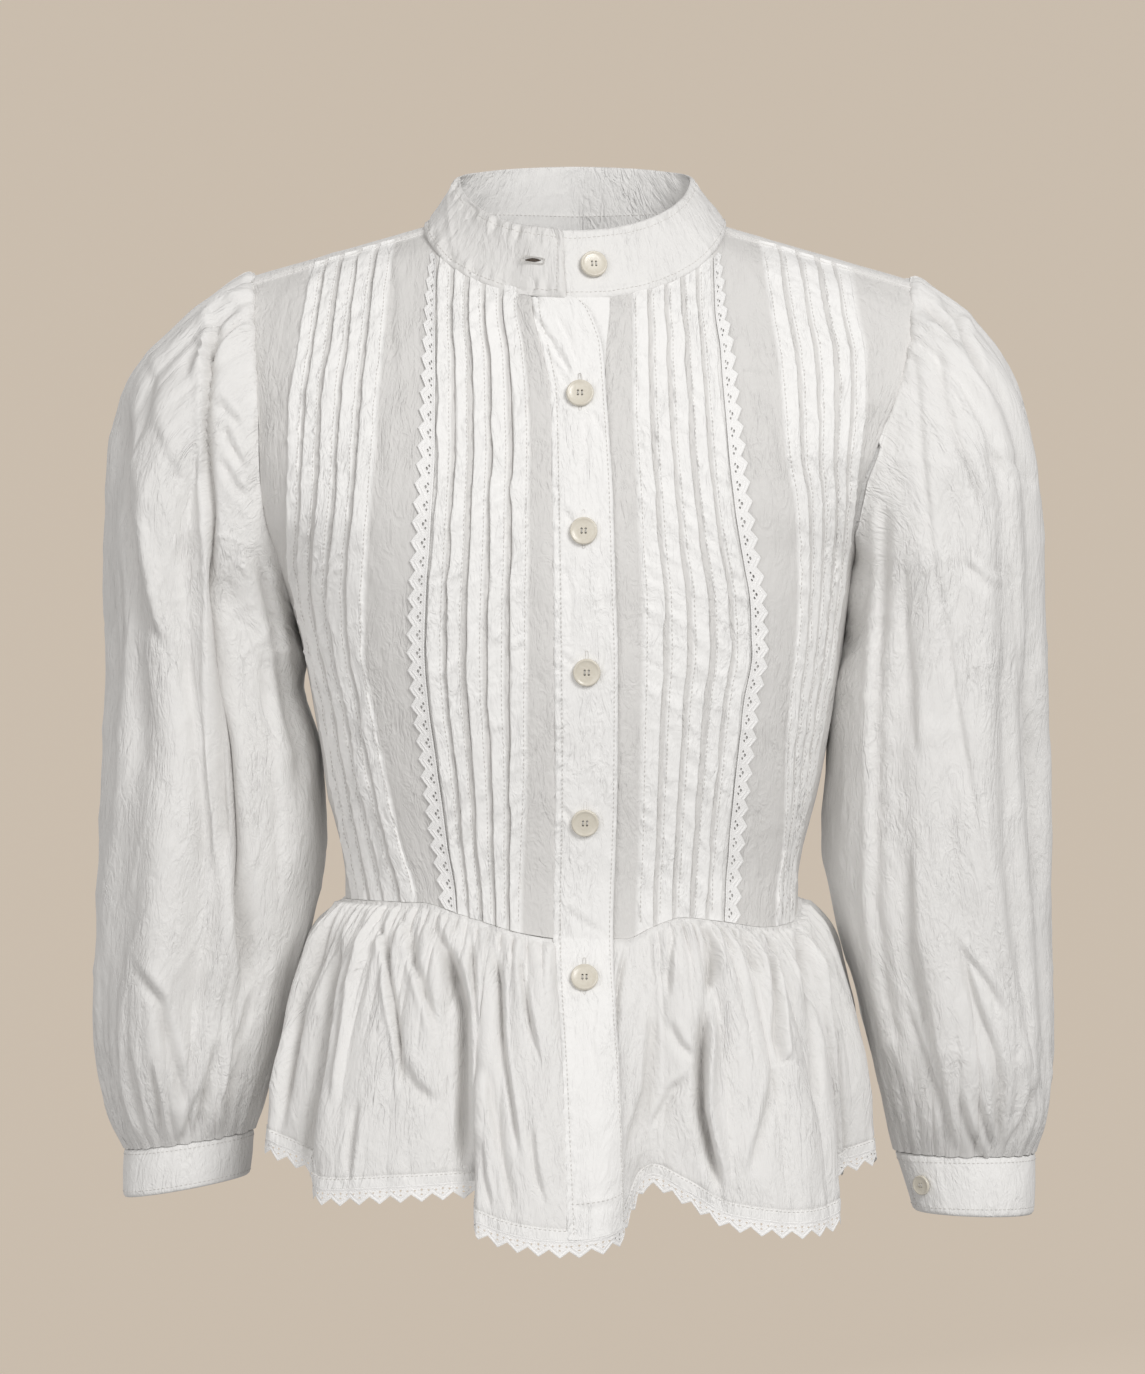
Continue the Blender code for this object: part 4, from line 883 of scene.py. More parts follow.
# The peplum's folds at the hem: how far each place stands out, by angle.
PEPLUM_FOLDS = Table(
    ("out",),
    (
        (-180, 0.008), (-171, -0.009), (-161, 0.010), (-152, -0.009), (-141, 0.011), (-131, -0.008),
        (-120, 0.010), (-110, -0.009), (-100, 0.002), (-90, -0.008), (-78, -0.006), (-68, 0.009),
        (-58, -0.004), (-47, 0.008), (-38, 0.003), (-26, -0.010), (-17, -0.022), (-14, 0.005), (-6, 0.008),
        (2, 0.007), (8, -0.012), (13, -0.026), (20, -0.018), (27, -0.004), (41, 0.009), (51, 0.010),
        (56, 0.002), (61, -0.018), (70, -0.008), (79, 0.004), (90, -0.008), (100, 0.002), (110, -0.009),
        (120, 0.010), (131, -0.008), (141, 0.010), (152, -0.010), (161, 0.009), (171, -0.008),
        (180, 0.008),
    ),
)

# The sleeves' rings by share of their length: the outer and inner edges seen from the front, as a
# distance out and a height, then half the depth and where its middle lies.
RIGHT_SLEEVE = Table(
    ("outer", "outer_z", "inner", "inner_z", "depth", "middle"),
    (
        (0.00, 0.1875, -0.0230, 0.1680, -0.2055, 0.060, 0.000),
        (0.03, 0.1980, -0.0250, 0.1695, -0.2070, 0.062, 0.002),
        (0.07, 0.2120, -0.0340, 0.1715, -0.2090, 0.067, 0.004),
        (0.13, 0.2370, -0.0580, 0.1740, -0.2130, 0.072, 0.007),
        (0.19, 0.2560, -0.0820, 0.1755, -0.2190, 0.075, 0.010),
        (0.27, 0.2700, -0.1270, 0.1750, -0.2290, 0.076, 0.013),
        (0.36, 0.2740, -0.1800, 0.1700, -0.2420, 0.076, 0.016),
        (0.46, 0.2750, -0.2400, 0.1620, -0.2650, 0.076, 0.019),
        (0.56, 0.2770, -0.3000, 0.1510, -0.3020, 0.076, 0.021),
        (0.65, 0.2785, -0.3500, 0.1480, -0.3500, 0.075, 0.023),
        (0.74, 0.2810, -0.4000, 0.1560, -0.4000, 0.073, 0.024),
        (0.82, 0.2810, -0.4400, 0.1670, -0.4400, 0.068, 0.024),
        (0.90, 0.2780, -0.4800, 0.1770, -0.4780, 0.058, 0.022),
        (0.96, 0.2710, -0.5120, 0.1850, -0.5040, 0.044, 0.019),
        (1.00, 0.2625, -0.5310, 0.1895, -0.5200, 0.029, 0.016),
    ),
)
LEFT_SLEEVE = Table(
    ("outer", "outer_z", "inner", "inner_z", "depth", "middle"),
    (
        (0.00, 0.1955, -0.0250, 0.1602, -0.2055, 0.060, 0.000),
        (0.03, 0.2060, -0.0310, 0.1625, -0.2070, 0.060, -0.001),
        (0.07, 0.2180, -0.0410, 0.1650, -0.2095, 0.065, -0.002),
        (0.13, 0.2370, -0.0590, 0.1675, -0.2140, 0.071, -0.003),
        (0.19, 0.2520, -0.0820, 0.1680, -0.2200, 0.074, -0.003),
        (0.27, 0.2660, -0.1300, 0.1670, -0.2300, 0.075, -0.002),
        (0.36, 0.2700, -0.1800, 0.1635, -0.2430, 0.075, 0.000),
        (0.46, 0.2720, -0.2400, 0.1570, -0.2650, 0.075, 0.003),
        (0.56, 0.2740, -0.3000, 0.1480, -0.3020, 0.075, 0.006),
        (0.65, 0.2755, -0.3500, 0.1460, -0.3500, 0.075, 0.009),
        (0.74, 0.2775, -0.4000, 0.1540, -0.4000, 0.073, 0.012),
        (0.82, 0.2785, -0.4400, 0.1660, -0.4400, 0.069, 0.014),
        (0.90, 0.2775, -0.4800, 0.1760, -0.4800, 0.060, 0.014),
        (0.96, 0.2740, -0.5120, 0.1830, -0.5110, 0.046, 0.013),
        (1.00, 0.2680, -0.5330, 0.1880, -0.5320, 0.030, 0.012),
    ),
)

# The sleeves' long folds: where they lie round the sleeve at its top and at its foot (0 outwards,
# 90 to the front), how deep and how wide they are, and the share of the length where each starts and ends.
RIGHT_SLEEVE_FOLDS = (
    # top, foot, depth, width, start, end
    (84, 100, -0.0120, 13, 0.06, 0.93),
    (40, 62, -0.0060, 11, 0.10, 0.62),
    (20, 30, -0.0045, 9, 0.16, 0.70),
    (118, 128, -0.0060, 12, 0.20, 0.95),
    (-35, -30, -0.0060, 12, 0.08, 0.85),
    (-70, -84, -0.0090, 13, 0.08, 0.93),
    (-115, -122, -0.0060, 12, 0.20, 0.95),
    (55, 78, 0.0060, 16, 0.55, 1.00),
    (-52, -58, 0.0050, 16, 0.45, 1.00),
)
LEFT_SLEEVE_FOLDS = (
    (62, 48, -0.0070, 10, 0.05, 0.90),
    (38, 24, -0.0060, 9, 0.08, 0.70),
    (92, 84, -0.0060, 12, 0.12, 0.96),
    (120, 118, -0.0060, 11, 0.22, 0.96),
    (14, 34, -0.0070, 10, 0.48, 0.98),
    (-35, -32, -0.0060, 12, 0.08, 0.85),
    (-70, -80, -0.0085, 13, 0.08, 0.93),
    (-115, -120, -0.0060, 12, 0.20, 0.95),
    (-55, -58, 0.0050, 16, 0.45, 1.00),
)

# The cuffs: as the sleeves' rings, at the top and at the foot.
RIGHT_CUFF = Table(
    ("outer", "outer_z", "inner", "inner_z", "depth", "middle"),
    (
        (0.0, 0.2620, -0.5318, 0.1900, -0.5208, 0.0280, 0.016),
        (0.5, 0.2628, -0.5460, 0.1905, -0.5340, 0.0280, 0.015),
        (1.0, 0.2625, -0.5600, 0.1925, -0.5470, 0.0270, 0.014),
    ),
)
LEFT_CUFF = Table(
    ("outer", "outer_z", "inner", "inner_z", "depth", "middle"),
    (
        (0.0, 0.2672, -0.5338, 0.1885, -0.5328, 0.0290, 0.012),
        (0.5, 0.2672, -0.5500, 0.1940, -0.5500, 0.0290, 0.010),
        (1.0, 0.2660, -0.5690, 0.1995, -0.5670, 0.0280, 0.008),
    ),
)

# The placket's edges across, by height: the over placket, then the under one beneath it.
PLACKET = Table(
    ("seam", "edge"),
    (
        (-0.0400, -0.0250, -0.0058), (-0.0480, -0.0236, 0.0052), (-0.0570, -0.0225, 0.0100),
        (-0.0720, -0.0190, 0.0150), (-0.1010, -0.0138, 0.0172), (-0.1500, -0.0130, 0.0205),
        (-0.2000, -0.0122, 0.0220), (-0.2500, -0.0117, 0.0235), (-0.3200, -0.0112, 0.0232),
        (-0.4000, -0.0124, 0.0210), (-0.4800, -0.0080, 0.0235), (-0.5700, -0.0040, 0.0262),
    ),
)

# The back's columns: the share of the way to the side at the waist, and how far across they end.
BACK_COLUMNS = Table(
    ("top",),
    (
        (0.00, 0.000), (0.18, 0.032), (0.33, 0.058), (0.44, 0.077), (0.48, 0.0842), (0.51, 0.0862),
        (0.64, 0.112), (0.77, 0.136), (0.88, 0.152), (0.95, 0.161), (1.00, 0.172),
    ),
)

# Creases as the camera sees them: the depth, the width and the lip, then the places that each runs through,
# across and up in millimetres. The back's are seen straight from behind.
RIGHT_SLEEVE_CREASES = creases(
    (2.6, 1.6, -0.5, (-192, -40), (-202, -40), (-209, -46), (-215, -63)),
    (4.5, 1.6, 0.5, (-189, -51), (-196, -53), (-204, -60), (-214, -74)),
    (3.6, 2.4, 0.3, (-216, -60), (-221, -72), (-226, -85)),
    (1.3, 3, 0.3, (-248, -69), (-245, -89), (-239, -95)),
    (0.9, 3, 0.4, (-246, -89), (-243, -112), (-236, -131), (-227, -147)),
    (3.9, 4, 0.7, (-260, -92), (-260, -112), (-258, -153), (-254, -188), (-248, -223), (-239, -246)),
    (2.4, 4, -0.5, (-248, -153), (-244, -188), (-237, -246)),
    (7.5, 2.2, -0.3, (-189, -46), (-199, -45), (-207, -51), (-212, -66), (-215, -105), (-214, -143),
     (-213, -172), (-211, -201), (-210, -240), (-209, -281), (-207, -328), (-203, -374)),
    (9.5, 4.4, -0.15, (-211, -188), (-208, -235), (-204, -270), (-201, -316), (-197, -363), (-194, -403),
     (-191, -444)),
    (3.9, 2.6, 0.3, (-186, -182), (-179, -211), (-169, -270), (-162, -299), (-160, -328)),
    (2.4, 2, 0.4, (-206, -106), (-200, -121), (-192, -136)),
    (2.4, 2, 0.4, (-206, -127), (-199, -142), (-190, -153)),
    (2.2, 2, 0.4, (-210, -92), (-203, -101), (-195, -110)),
    (3.9, 3, 0.4, (-259, -421), (-242, -444), (-233, -479), (-227, -508)),
    (3.9, 2.2, -0.4, (-188, -436), (-198, -473), (-206, -502), (-207, -525)),
    (3.3, 2, -0.4, (-191, -465), (-201, -497), (-204, -523)),
    (3.6, 2.2, -0.4, (-209, -468), (-216, -502), (-224, -529)),
    (3.3, 2.2, -0.4, (-217, -494), (-224, -511), (-231, -530)),
    (3.3, 2, 0.4, (-248, -479), (-243, -502), (-240, -526)),
    (3, 2, 0.4, (-260, -468), (-254, -497), (-250, -520)),
    (3, 2, 0.4, (-270, -479), (-264, -502), (-259, -520)),
    (2.4, 3.5, -0.4, (-273, -142), (-271, -188), (-272, -235)),
    (2.2, 3.5, 0.4, (-266, -188), (-265, -235), (-268, -281)),
    (2.4, 3.5, 0.3, (-226, -235), (-223, -281), (-218, -328), (-215, -374)),
    (2.1, 3, 0.3, (-182, -235), (-178, -281), (-173, -339), (-172, -386)),
)
LEFT_SLEEVE_CREASES = creases(
    (4.6, 1.9, 0.5, (200, -37), (208, -44), (215, -51), (222, -63)),
    (2.9, 1.6, 0.5, (201, -56), (212, -57), (218, -64)),
    (4.3, 2.2, 0.5, (207, -37), (221, -48), (233, -77), (239, -90)),
    (3.5, 2.4, -0.5, (224, -51), (239, -86), (247, -101)),
    (2.3, 2, 0.4, (217, -83), (227, -112), (235, -125)),
    (1.3, 2.5, 0.3, (198, -66), (201, -106), (204, -142), (208, -182), (215, -223), (220, -258),
     (228, -304), (232, -328), (236, -357), (242, -386), (247, -415), (254, -444), (262, -462), (268, -479),
     (269, -508)),
    (2.9, 3, 0.4, (211, -66), (215, -95), (224, -118), (242, -165)),
    (2.2, 3, 0.5, (238, -123), (247, -133), (259, -144)),
    (2.6, 2.4, -0.5, (247, -127), (258, -136), (265, -148)),
    (1.2, 2.4, 0.5, (224, -188), (235, -196), (247, -208)),
    (1.2, 2.4, -0.5, (231, -181), (240, -192), (251, -200)),
    (3.5, 3, -0.5, (180, -153), (179, -211), (176, -270), (175, -386), (183, -444), (192, -479)),
    (2.9, 2.6, 0.4, (193, -357), (198, -415), (204, -444), (211, -479), (217, -514), (221, -534)),
    (3.2, 2.6, 0.4, (224, -415), (233, -444), (242, -468), (247, -491), (246, -534)),
    (2.6, 2.4, 0.4, (221, -409), (239, -433), (253, -456)),
    (3.2, 2, -0.4, (265, -491), (259, -514), (250, -529)),
    (3.2, 2, 0.4, (223, -497), (230, -520), (239, -540)),
    (2.9, 2.2, 0.4, (192, -444), (207, -485), (215, -511)),
    (2.9, 2, 0.4, (233, -497), (239, -517), (243, -534)),
    (2.3, 3.4, 0.3, (253, -188), (260, -258), (265, -328), (271, -386)),
    (2.3, 3.4, -0.3, (275, -223), (278, -281), (281, -339)),
    (2, 3, 0.3, (192, -188), (195, -246), (198, -304)),
)
RIGHT_PEPLUM_CREASES = creases(
    (6.4, 2.2, -0.5, (-134, -395), (-147, -421), (-159, -448), (-164, -473), (-168, -497), (-172, -523)),
    (7.1, 3.1, 0.3, (-131, -399), (-138, -430), (-143, -468), (-148, -500), (-154, -532), (-158, -552)),
    (5.1, 1.6, 0.5, (-119, -398), (-124, -420), (-130, -436), (-134, -456), (-137, -473), (-140, -490),
     (-142, -505)),
    (5.4, 1.6, -0.4, (-112, -395), (-108, -415), (-107, -436), (-105, -453), (-102, -473), (-101, -497)),
    (4.5, 2.2, -0.3, (-99, -394), (-95, -409), (-93, -424), (-86, -444), (-79, -468)),
    (3.2, 3.6, 0.3, (-101, -479), (-93, -494), (-80, -505)),
    (10.6, 3.2, 0.45, (-84, -395), (-75, -414), (-68, -433), (-64, -450), (-64, -497), (-64, -550)),
    (4.1, 1.4, 0.4, (-48, -409), (-43, -436), (-42, -462), (-40, -482), (-36, -508), (-32, -537)),
    (3.5, 1.3, 0.4, (-32, -412), (-30, -434), (-27, -453), (-20, -485)),
    (3.2, 1.4, 0.4, (-61, -401), (-58, -433), (-56, -468)),
    (3.2, 2.3, -0.4, (-52, -479), (-47, -514), (-39, -555), (-37, -572)),
    (2.8, 1.8, 0.4, (-55, -520), (-53, -546), (-48, -569)),
    (2.8, 1.8, 0.4, (-26, -514), (-23, -543), (-17, -566)),
    (3.5, 2.3, 0.3, (-126, -502), (-130, -532), (-132, -552)),
)
LEFT_PEPLUM_CREASES = creases(
    (3.7, 1.4, -0.4, (30, -412), (26, -428), (24, -442), (23, -468)),
    (4, 3.1, -0.3, (46, -444), (44, -468), (41, -497), (34, -520), (30, -537)),
    (5.9, 2, 0.4, (72, -395), (78, -410), (79, -428), (76, -445)),
    (11.6, 2.7, 0.45, (76, -444), (75, -462), (74, -485), (74, -508), (79, -532), (86, -558)),
    (4, 1.8, 0.4, (94, -404), (98, -415), (104, -433)),
    (5.9, 1.6, 0.45, (112, -407), (111, -428), (114, -447), (115, -465), (118, -480), (129, -483)),
    (3.3, 2.7, -0.3, (116, -480), (111, -508), (105, -529), (101, -549)),
    (3.3, 2.2, 0.3, (129, -412), (132, -441), (137, -474), (141, -508)),
    (6.6, 2, -0.45, (134, -401), (143, -436), (150, -473), (155, -518), (158, -558)),
    (4, 1.4, 0.4, (125, -401), (128, -415), (130, -436)),
    (3.3, 1.6, 0.4, (56, -406), (55, -424), (54, -444)),
    (2.9, 2.3, 0.3, (54, -456), (61, -470), (71, -479)),
    (2.9, 2.7, 0.3, (44, -520), (56, -497), (67, -488)),
)
FRONT_CREASES = creases(
    (1.3, 2, 0.4, (-109, -14), (-105, -28), (-107, -54), (-104, -79)),
    (1, 2, -0.4, (-118, -106), (-114, -127), (-115, -153)),
    (1.2, 1.8, 0.5, (-16, -57), (-9, -73), (-1, -95)),
    (0.9, 1.5, 0.4, (-12, -54), (-7, -67), (-2, -81)),
    (1, 2.4, 0.4, (-130, -235), (-124, -264), (-126, -293)),
    (1, 1.6, 0.5, (96, -80), (103, -79), (112, -82)),
    (0.9, 1.5, -0.5, (97, -90), (106, -88), (116, -90)),
    (0.8, 2.2, 0.4, (101, -188), (106, -211), (103, -240)),
    (1.2, 2.2, 0.4, (-119, -328), (-115, -351), (-111, -377)),
    (1.1, 2.2, -0.4, (103, -334), (108, -357), (112, -377)),
)
PLACKET_CREASES = creases(
    (1.6, 2, 0.5, (-29, -40), (-16, -59), (-5, -76), (1, -86)),
    (1.2, 1.6, -0.5, (-11, -47), (-3, -63), (3, -86)),
    (1.2, 1.5, 0.5, (-18, -67), (-9, -79), (-2, -90)),
    (1, 1.5, 0.4, (17, -79), (12, -86), (9, -90)),
    (1, 1.6, 0.4, (-13, -111), (-8, -105), (-2, -100)),
    (1, 1.6, -0.4, (18, -118), (13, -109), (9, -101)),
    (0.9, 1.6, 0.4, (6, -103), (7, -124), (6, -142)),
    (0.9, 1.6, 0.4, (-9, -156), (-4, -162), (0, -168)),
    (0.9, 1.8, -0.4, (17, -188), (14, -200), (16, -217)),
    (0.8, 1.8, 0.4, (-6, -188), (-2, -211), (-3, -235)),
    (0.9, 1.6, 0.4, (-9, -240), (-4, -246), (2, -251)),
    (0.8, 1.8, -0.4, (16, -270), (13, -293), (14, -316)),
    (0.8, 1.6, 0.4, (-9, -328), (-4, -335), (0, -339)),
    (0.9, 1.8, 0.4, (-10, -389), (0, -395), (16, -405)),
    (0.8, 1.8, 0.4, (12, -444), (9, -468), (13, -491)),
    (1, 1.6, 0.4, (-2, -564), (9, -566), (22, -562)),
)
BACK_CREASES = creases(
    (1.4, 5, 0.3, (-96, -40), (-84, -110), (-70, -200), (-62, -290), (-60, -375)),
    (1.2, 4, -0.3, (88, -45), (80, -120), (74, -210), (58, -300), (54, -375)),
    (1.0, 4, 0.3, (-30, -250), (-24, -310), (-26, -380)),
    (1.0, 4, -0.3, (22, -230), (18, -300), (24, -380)),
    (1.6, 3, 0.4, (-150, -120), (-128, -150), (-100, -168)),
    (1.6, 3, 0.4, (150, -112), (126, -142), (98, -158)),
    (1.2, 3, 0.4, (-140, -178), (-118, -200), (-96, -208)),
    (1.3, 4, 0.3, (-120, -260), (-104, -300), (-98, -360)),
    (1.2, 4, -0.3, (116, -250), (104, -296), (96, -350)),
    behind=True,
)


@dataclass(frozen=True)
class Torso:
    """The form under the bodice: rounded rings that drop towards the arms, as the shoulders do."""

    underarm: float = -0.205
    underarm_curve: float = 0.030
    slope: float = 0.29
    slope_from: float = -0.030
    slope_to: float = -0.200
    ridge: float = 0.031
    shoulder_seam: float = 0.024
    neck_half_width: float = 0.086
    neck_side: float = 0.005
    neck_drop: float = 0.048
    neck_rise: float = 0.0095
    steps: int = 16

    def slope_at(self, level: np.ndarray) -> np.ndarray:
        """How steeply the rings drop towards the arms at a level."""
        return self.slope * smooth((level - self.slope_to) / (self.slope_from - self.slope_to))

    def level_at(self, x: np.ndarray, z: np.ndarray) -> np.ndarray:
        """The ring that a place lies on."""
        level = np.asarray(z, float)
        for _ in range(self.steps):
            level = z + self.slope_at(level) * np.abs(x)
        return level

    def half_width(self, side: np.ndarray, level: np.ndarray) -> np.ndarray:
        """The ring's half-width to one side."""
        return np.where(side < 0, TORSO.read("right", level), TORSO.read("left", level))

    def point(self, angle: np.ndarray, z: np.ndarray) -> np.ndarray:
        """Finds a place on the form.

        Args:
            angle: Degrees round from the centre front, positive to the wearer's left.
            z: Its height.

        Returns:
            The points.
        """
        turn = np.radians(angle)
        sine, cosine = np.sin(turn), np.cos(turn)
        level = np.zeros(np.broadcast(turn, z).shape) + z
        for _ in range(self.steps):
            power = 2 / TORSO.read("square", level)
            x = np.sign(sine) * self.half_width(sine, level) * np.abs(sine) ** power
            level = z + self.slope_at(level) * np.abs(x)
        depth = np.where(cosine > 0, -TORSO.read("front", level), TORSO.read("back", level))
        return np.stack(np.broadcast_arrays(x, depth * np.abs(cosine) ** power, z), axis=-1)

    def normal(self, angle: np.ndarray, z: np.ndarray) -> np.ndarray:
        """The way the form faces at a place."""
        across = self.point(angle + 0.5, z) - self.point(angle - 0.5, z)
        up = self.point(angle, z + 0.002) - self.point(angle, z - 0.002)
        return unit(np.cross(across, up))

    def angle_across(self, x: np.ndarray, z: np.ndarray, behind: bool | np.ndarray = False) -> np.ndarray:
        """The angle round from the centre front of a place that far across, in degrees."""
        level = self.level_at(x, z)
        share = np.clip(np.abs(x) / self.half_width(x, level), 0.0, 0.985)
        angle = np.degrees(np.arcsin(share ** (TORSO.read("square", level) / 2)))
        return np.where(x < 0, -1, 1) * np.where(behind, 180 - angle, angle)

    def armhole_angle(self, side: int, armhole: Table, z: np.ndarray, behind: bool = False) -> np.ndarray:
        """The angle round of the armhole seam, which starts from the side seam under the arm."""
        across = side * armhole.read("back" if behind else "front", z)
        away = np.abs(self.angle_across(across, z, behind))
        gap = math.degrees(SEAM / 2 / TORSO.read("front", self.underarm))
        side_seam = 90 + gap if behind else 90 - gap
        return side * mix(side_seam, away, smooth((z - self.underarm) / self.underarm_curve))

    def neck_height(self, x: np.ndarray, behind: bool | np.ndarray = False) -> np.ndarray:
        """The neck seam's height that far across."""
        along = np.sqrt(np.clip(1 - (x / self.neck_half_width) ** 2, 0, 1))
        return self.neck_side + np.where(behind, self.neck_rise, -self.neck_drop) * along

    def shoulder_height(self, x: np.ndarray, level: float) -> np.ndarray:
        """The height that far across of a line along the shoulder."""
        return level - self.slope * np.abs(x)


FORM = Torso()


@dataclass
class StitchRow:
    """A row of sewing: the points it runs through and the way the cloth faces at each."""

    points: np.ndarray
    facing: np.ndarray

    @staticmethod
    def along(points: np.ndarray, facing: np.ndarray, lift: float = 0.0002) -> "StitchRow":
        """A row lying on the cloth."""
        return StitchRow(points + facing * lift, facing)


@dataclass(frozen=True)
class Seamstress:
    """Sews: turns rows of stitches into thread with a node tree."""

    length: float = 0.0019
    thickness: float = 0.00044
    pitch: float = 0.0027

    def tree(self) -> bpy.types.NodeTree:
        """Makes the tree that lays a small thread capsule at each pitch along the rows."""
        given = {"Rows": "Geometry", "Pitch": "Float", "Stitch Size": "Vector", "Thread": "Material"}
        nodes = Nodes.group("sewing", given, "Sewing")
        rows, pitch, size, thread = nodes.add("NodeGroupInput").outputs[:4]
        curve = nodes.out("GeometryNodeMeshToCurve", None, {"Mesh": rows})
        spaced = nodes.out("GeometryNodeResampleCurve", {"mode": "LENGTH"}, {"Curve": curve, "Length": pitch})
        bead = nodes.out("GeometryNodeMeshUVSphere", None, {"Segments": 6, "Rings": 3, "Radius": 0.5})
        stitch = nodes.out("GeometryNodeTransform", None, {"Geometry": bead, "Scale": size})
        named = {"Name": "facing"}
        facing = nodes.out("GeometryNodeInputNamedAttribute", {"data_type": "FLOAT_VECTOR"}, named)
        tangent = nodes.out("GeometryNodeInputTangent")
        ahead = nodes.out("FunctionNodeAlignRotationToVector", {"axis": "X"}, {"Vector": tangent})
        settings, inputs = {"axis": "Z", "pivot_axis": "X"}, {"Rotation": ahead, "Vector": facing}
        turned = nodes.out("FunctionNodeAlignRotationToVector", settings, inputs)
        inputs = {"Points": spaced, "Instance": stitch, "Rotation": turned}
        placed = nodes.out("GeometryNodeInstanceOnPoints", None, inputs)
        real = nodes.out("GeometryNodeRealizeInstances", None, {"Geometry": placed})
        finished = nodes.out("GeometryNodeSetMaterial", None, {"Geometry": real, "Material": thread})
        nodes.add("NodeGroupOutput", None, {"Sewing": finished})
        return nodes.tree

    def sew(
        self, name: str, rows: list[StitchRow], finish: bpy.types.Material, slot: str
    ) -> bpy.types.Object:
        """Sews some rows as one piece.

        Args:
            name: The piece's name.
            rows: The rows.
            finish: The thread's material.
            slot: Not used.

        Returns:
            The thread as a plain mesh.
        """
        points = np.concatenate([row.points for row in rows])
        facing = np.concatenate([row.facing for row in rows])
        starts = np.cumsum([0] + [len(row.points) for row in rows])
        edges = [(i, i + 1) for a, b in zip(starts[:-1], starts[1:]) for i in range(a, b - 1)]
        guide = bpy.data.meshes.new(f"{name}_rows")
        guide.from_pydata(points.tolist(), edges, [])
        facings = guide.attributes.new("facing", "FLOAT_VECTOR", "POINT")
        facings.data.foreach_set("vector", facing.astype(np.float32).ravel())
        size = (self.length, self.thickness, self.thickness)
        mesh = grown(name, guide, self.tree(), {"Pitch": self.pitch, "Stitch Size": size, "Thread": finish})
        return dress(add_object(name, mesh), slot)


def grown(name: str, guide: bpy.types.Mesh, tree: bpy.types.NodeTree, inputs: dict) -> bpy.types.Mesh:
    """Runs a node tree on a guide mesh and keeps what it makes.

    Args:
        name: The new mesh's name.
        guide: The mesh that the tree starts from.
        tree: The tree.
        inputs: A value for each named input.

    Returns:
        A plain mesh; the guide and its modifier are gone.
    """
    holder = bpy.data.objects.new(f"{name}_guide", guide)
    bpy.context.scene.collection.objects.link(holder)
    modifier = holder.modifiers.new("grown", "NODES")
    modifier.node_group = tree
    for socket in tree.interface.items_tree:
        if socket.in_out == "INPUT" and socket.name in inputs:
            modifier[socket.identifier] = inputs[socket.name]
    graph = bpy.context.evaluated_depsgraph_get()
    mesh = bpy.data.meshes.new_from_object(holder.evaluated_get(graph))
    bpy.data.objects.remove(holder)
    bpy.data.meshes.remove(guide)
    mesh.name = name
    mesh.polygons.foreach_set("use_smooth", np.ones(len(mesh.polygons), bool))
    return mesh


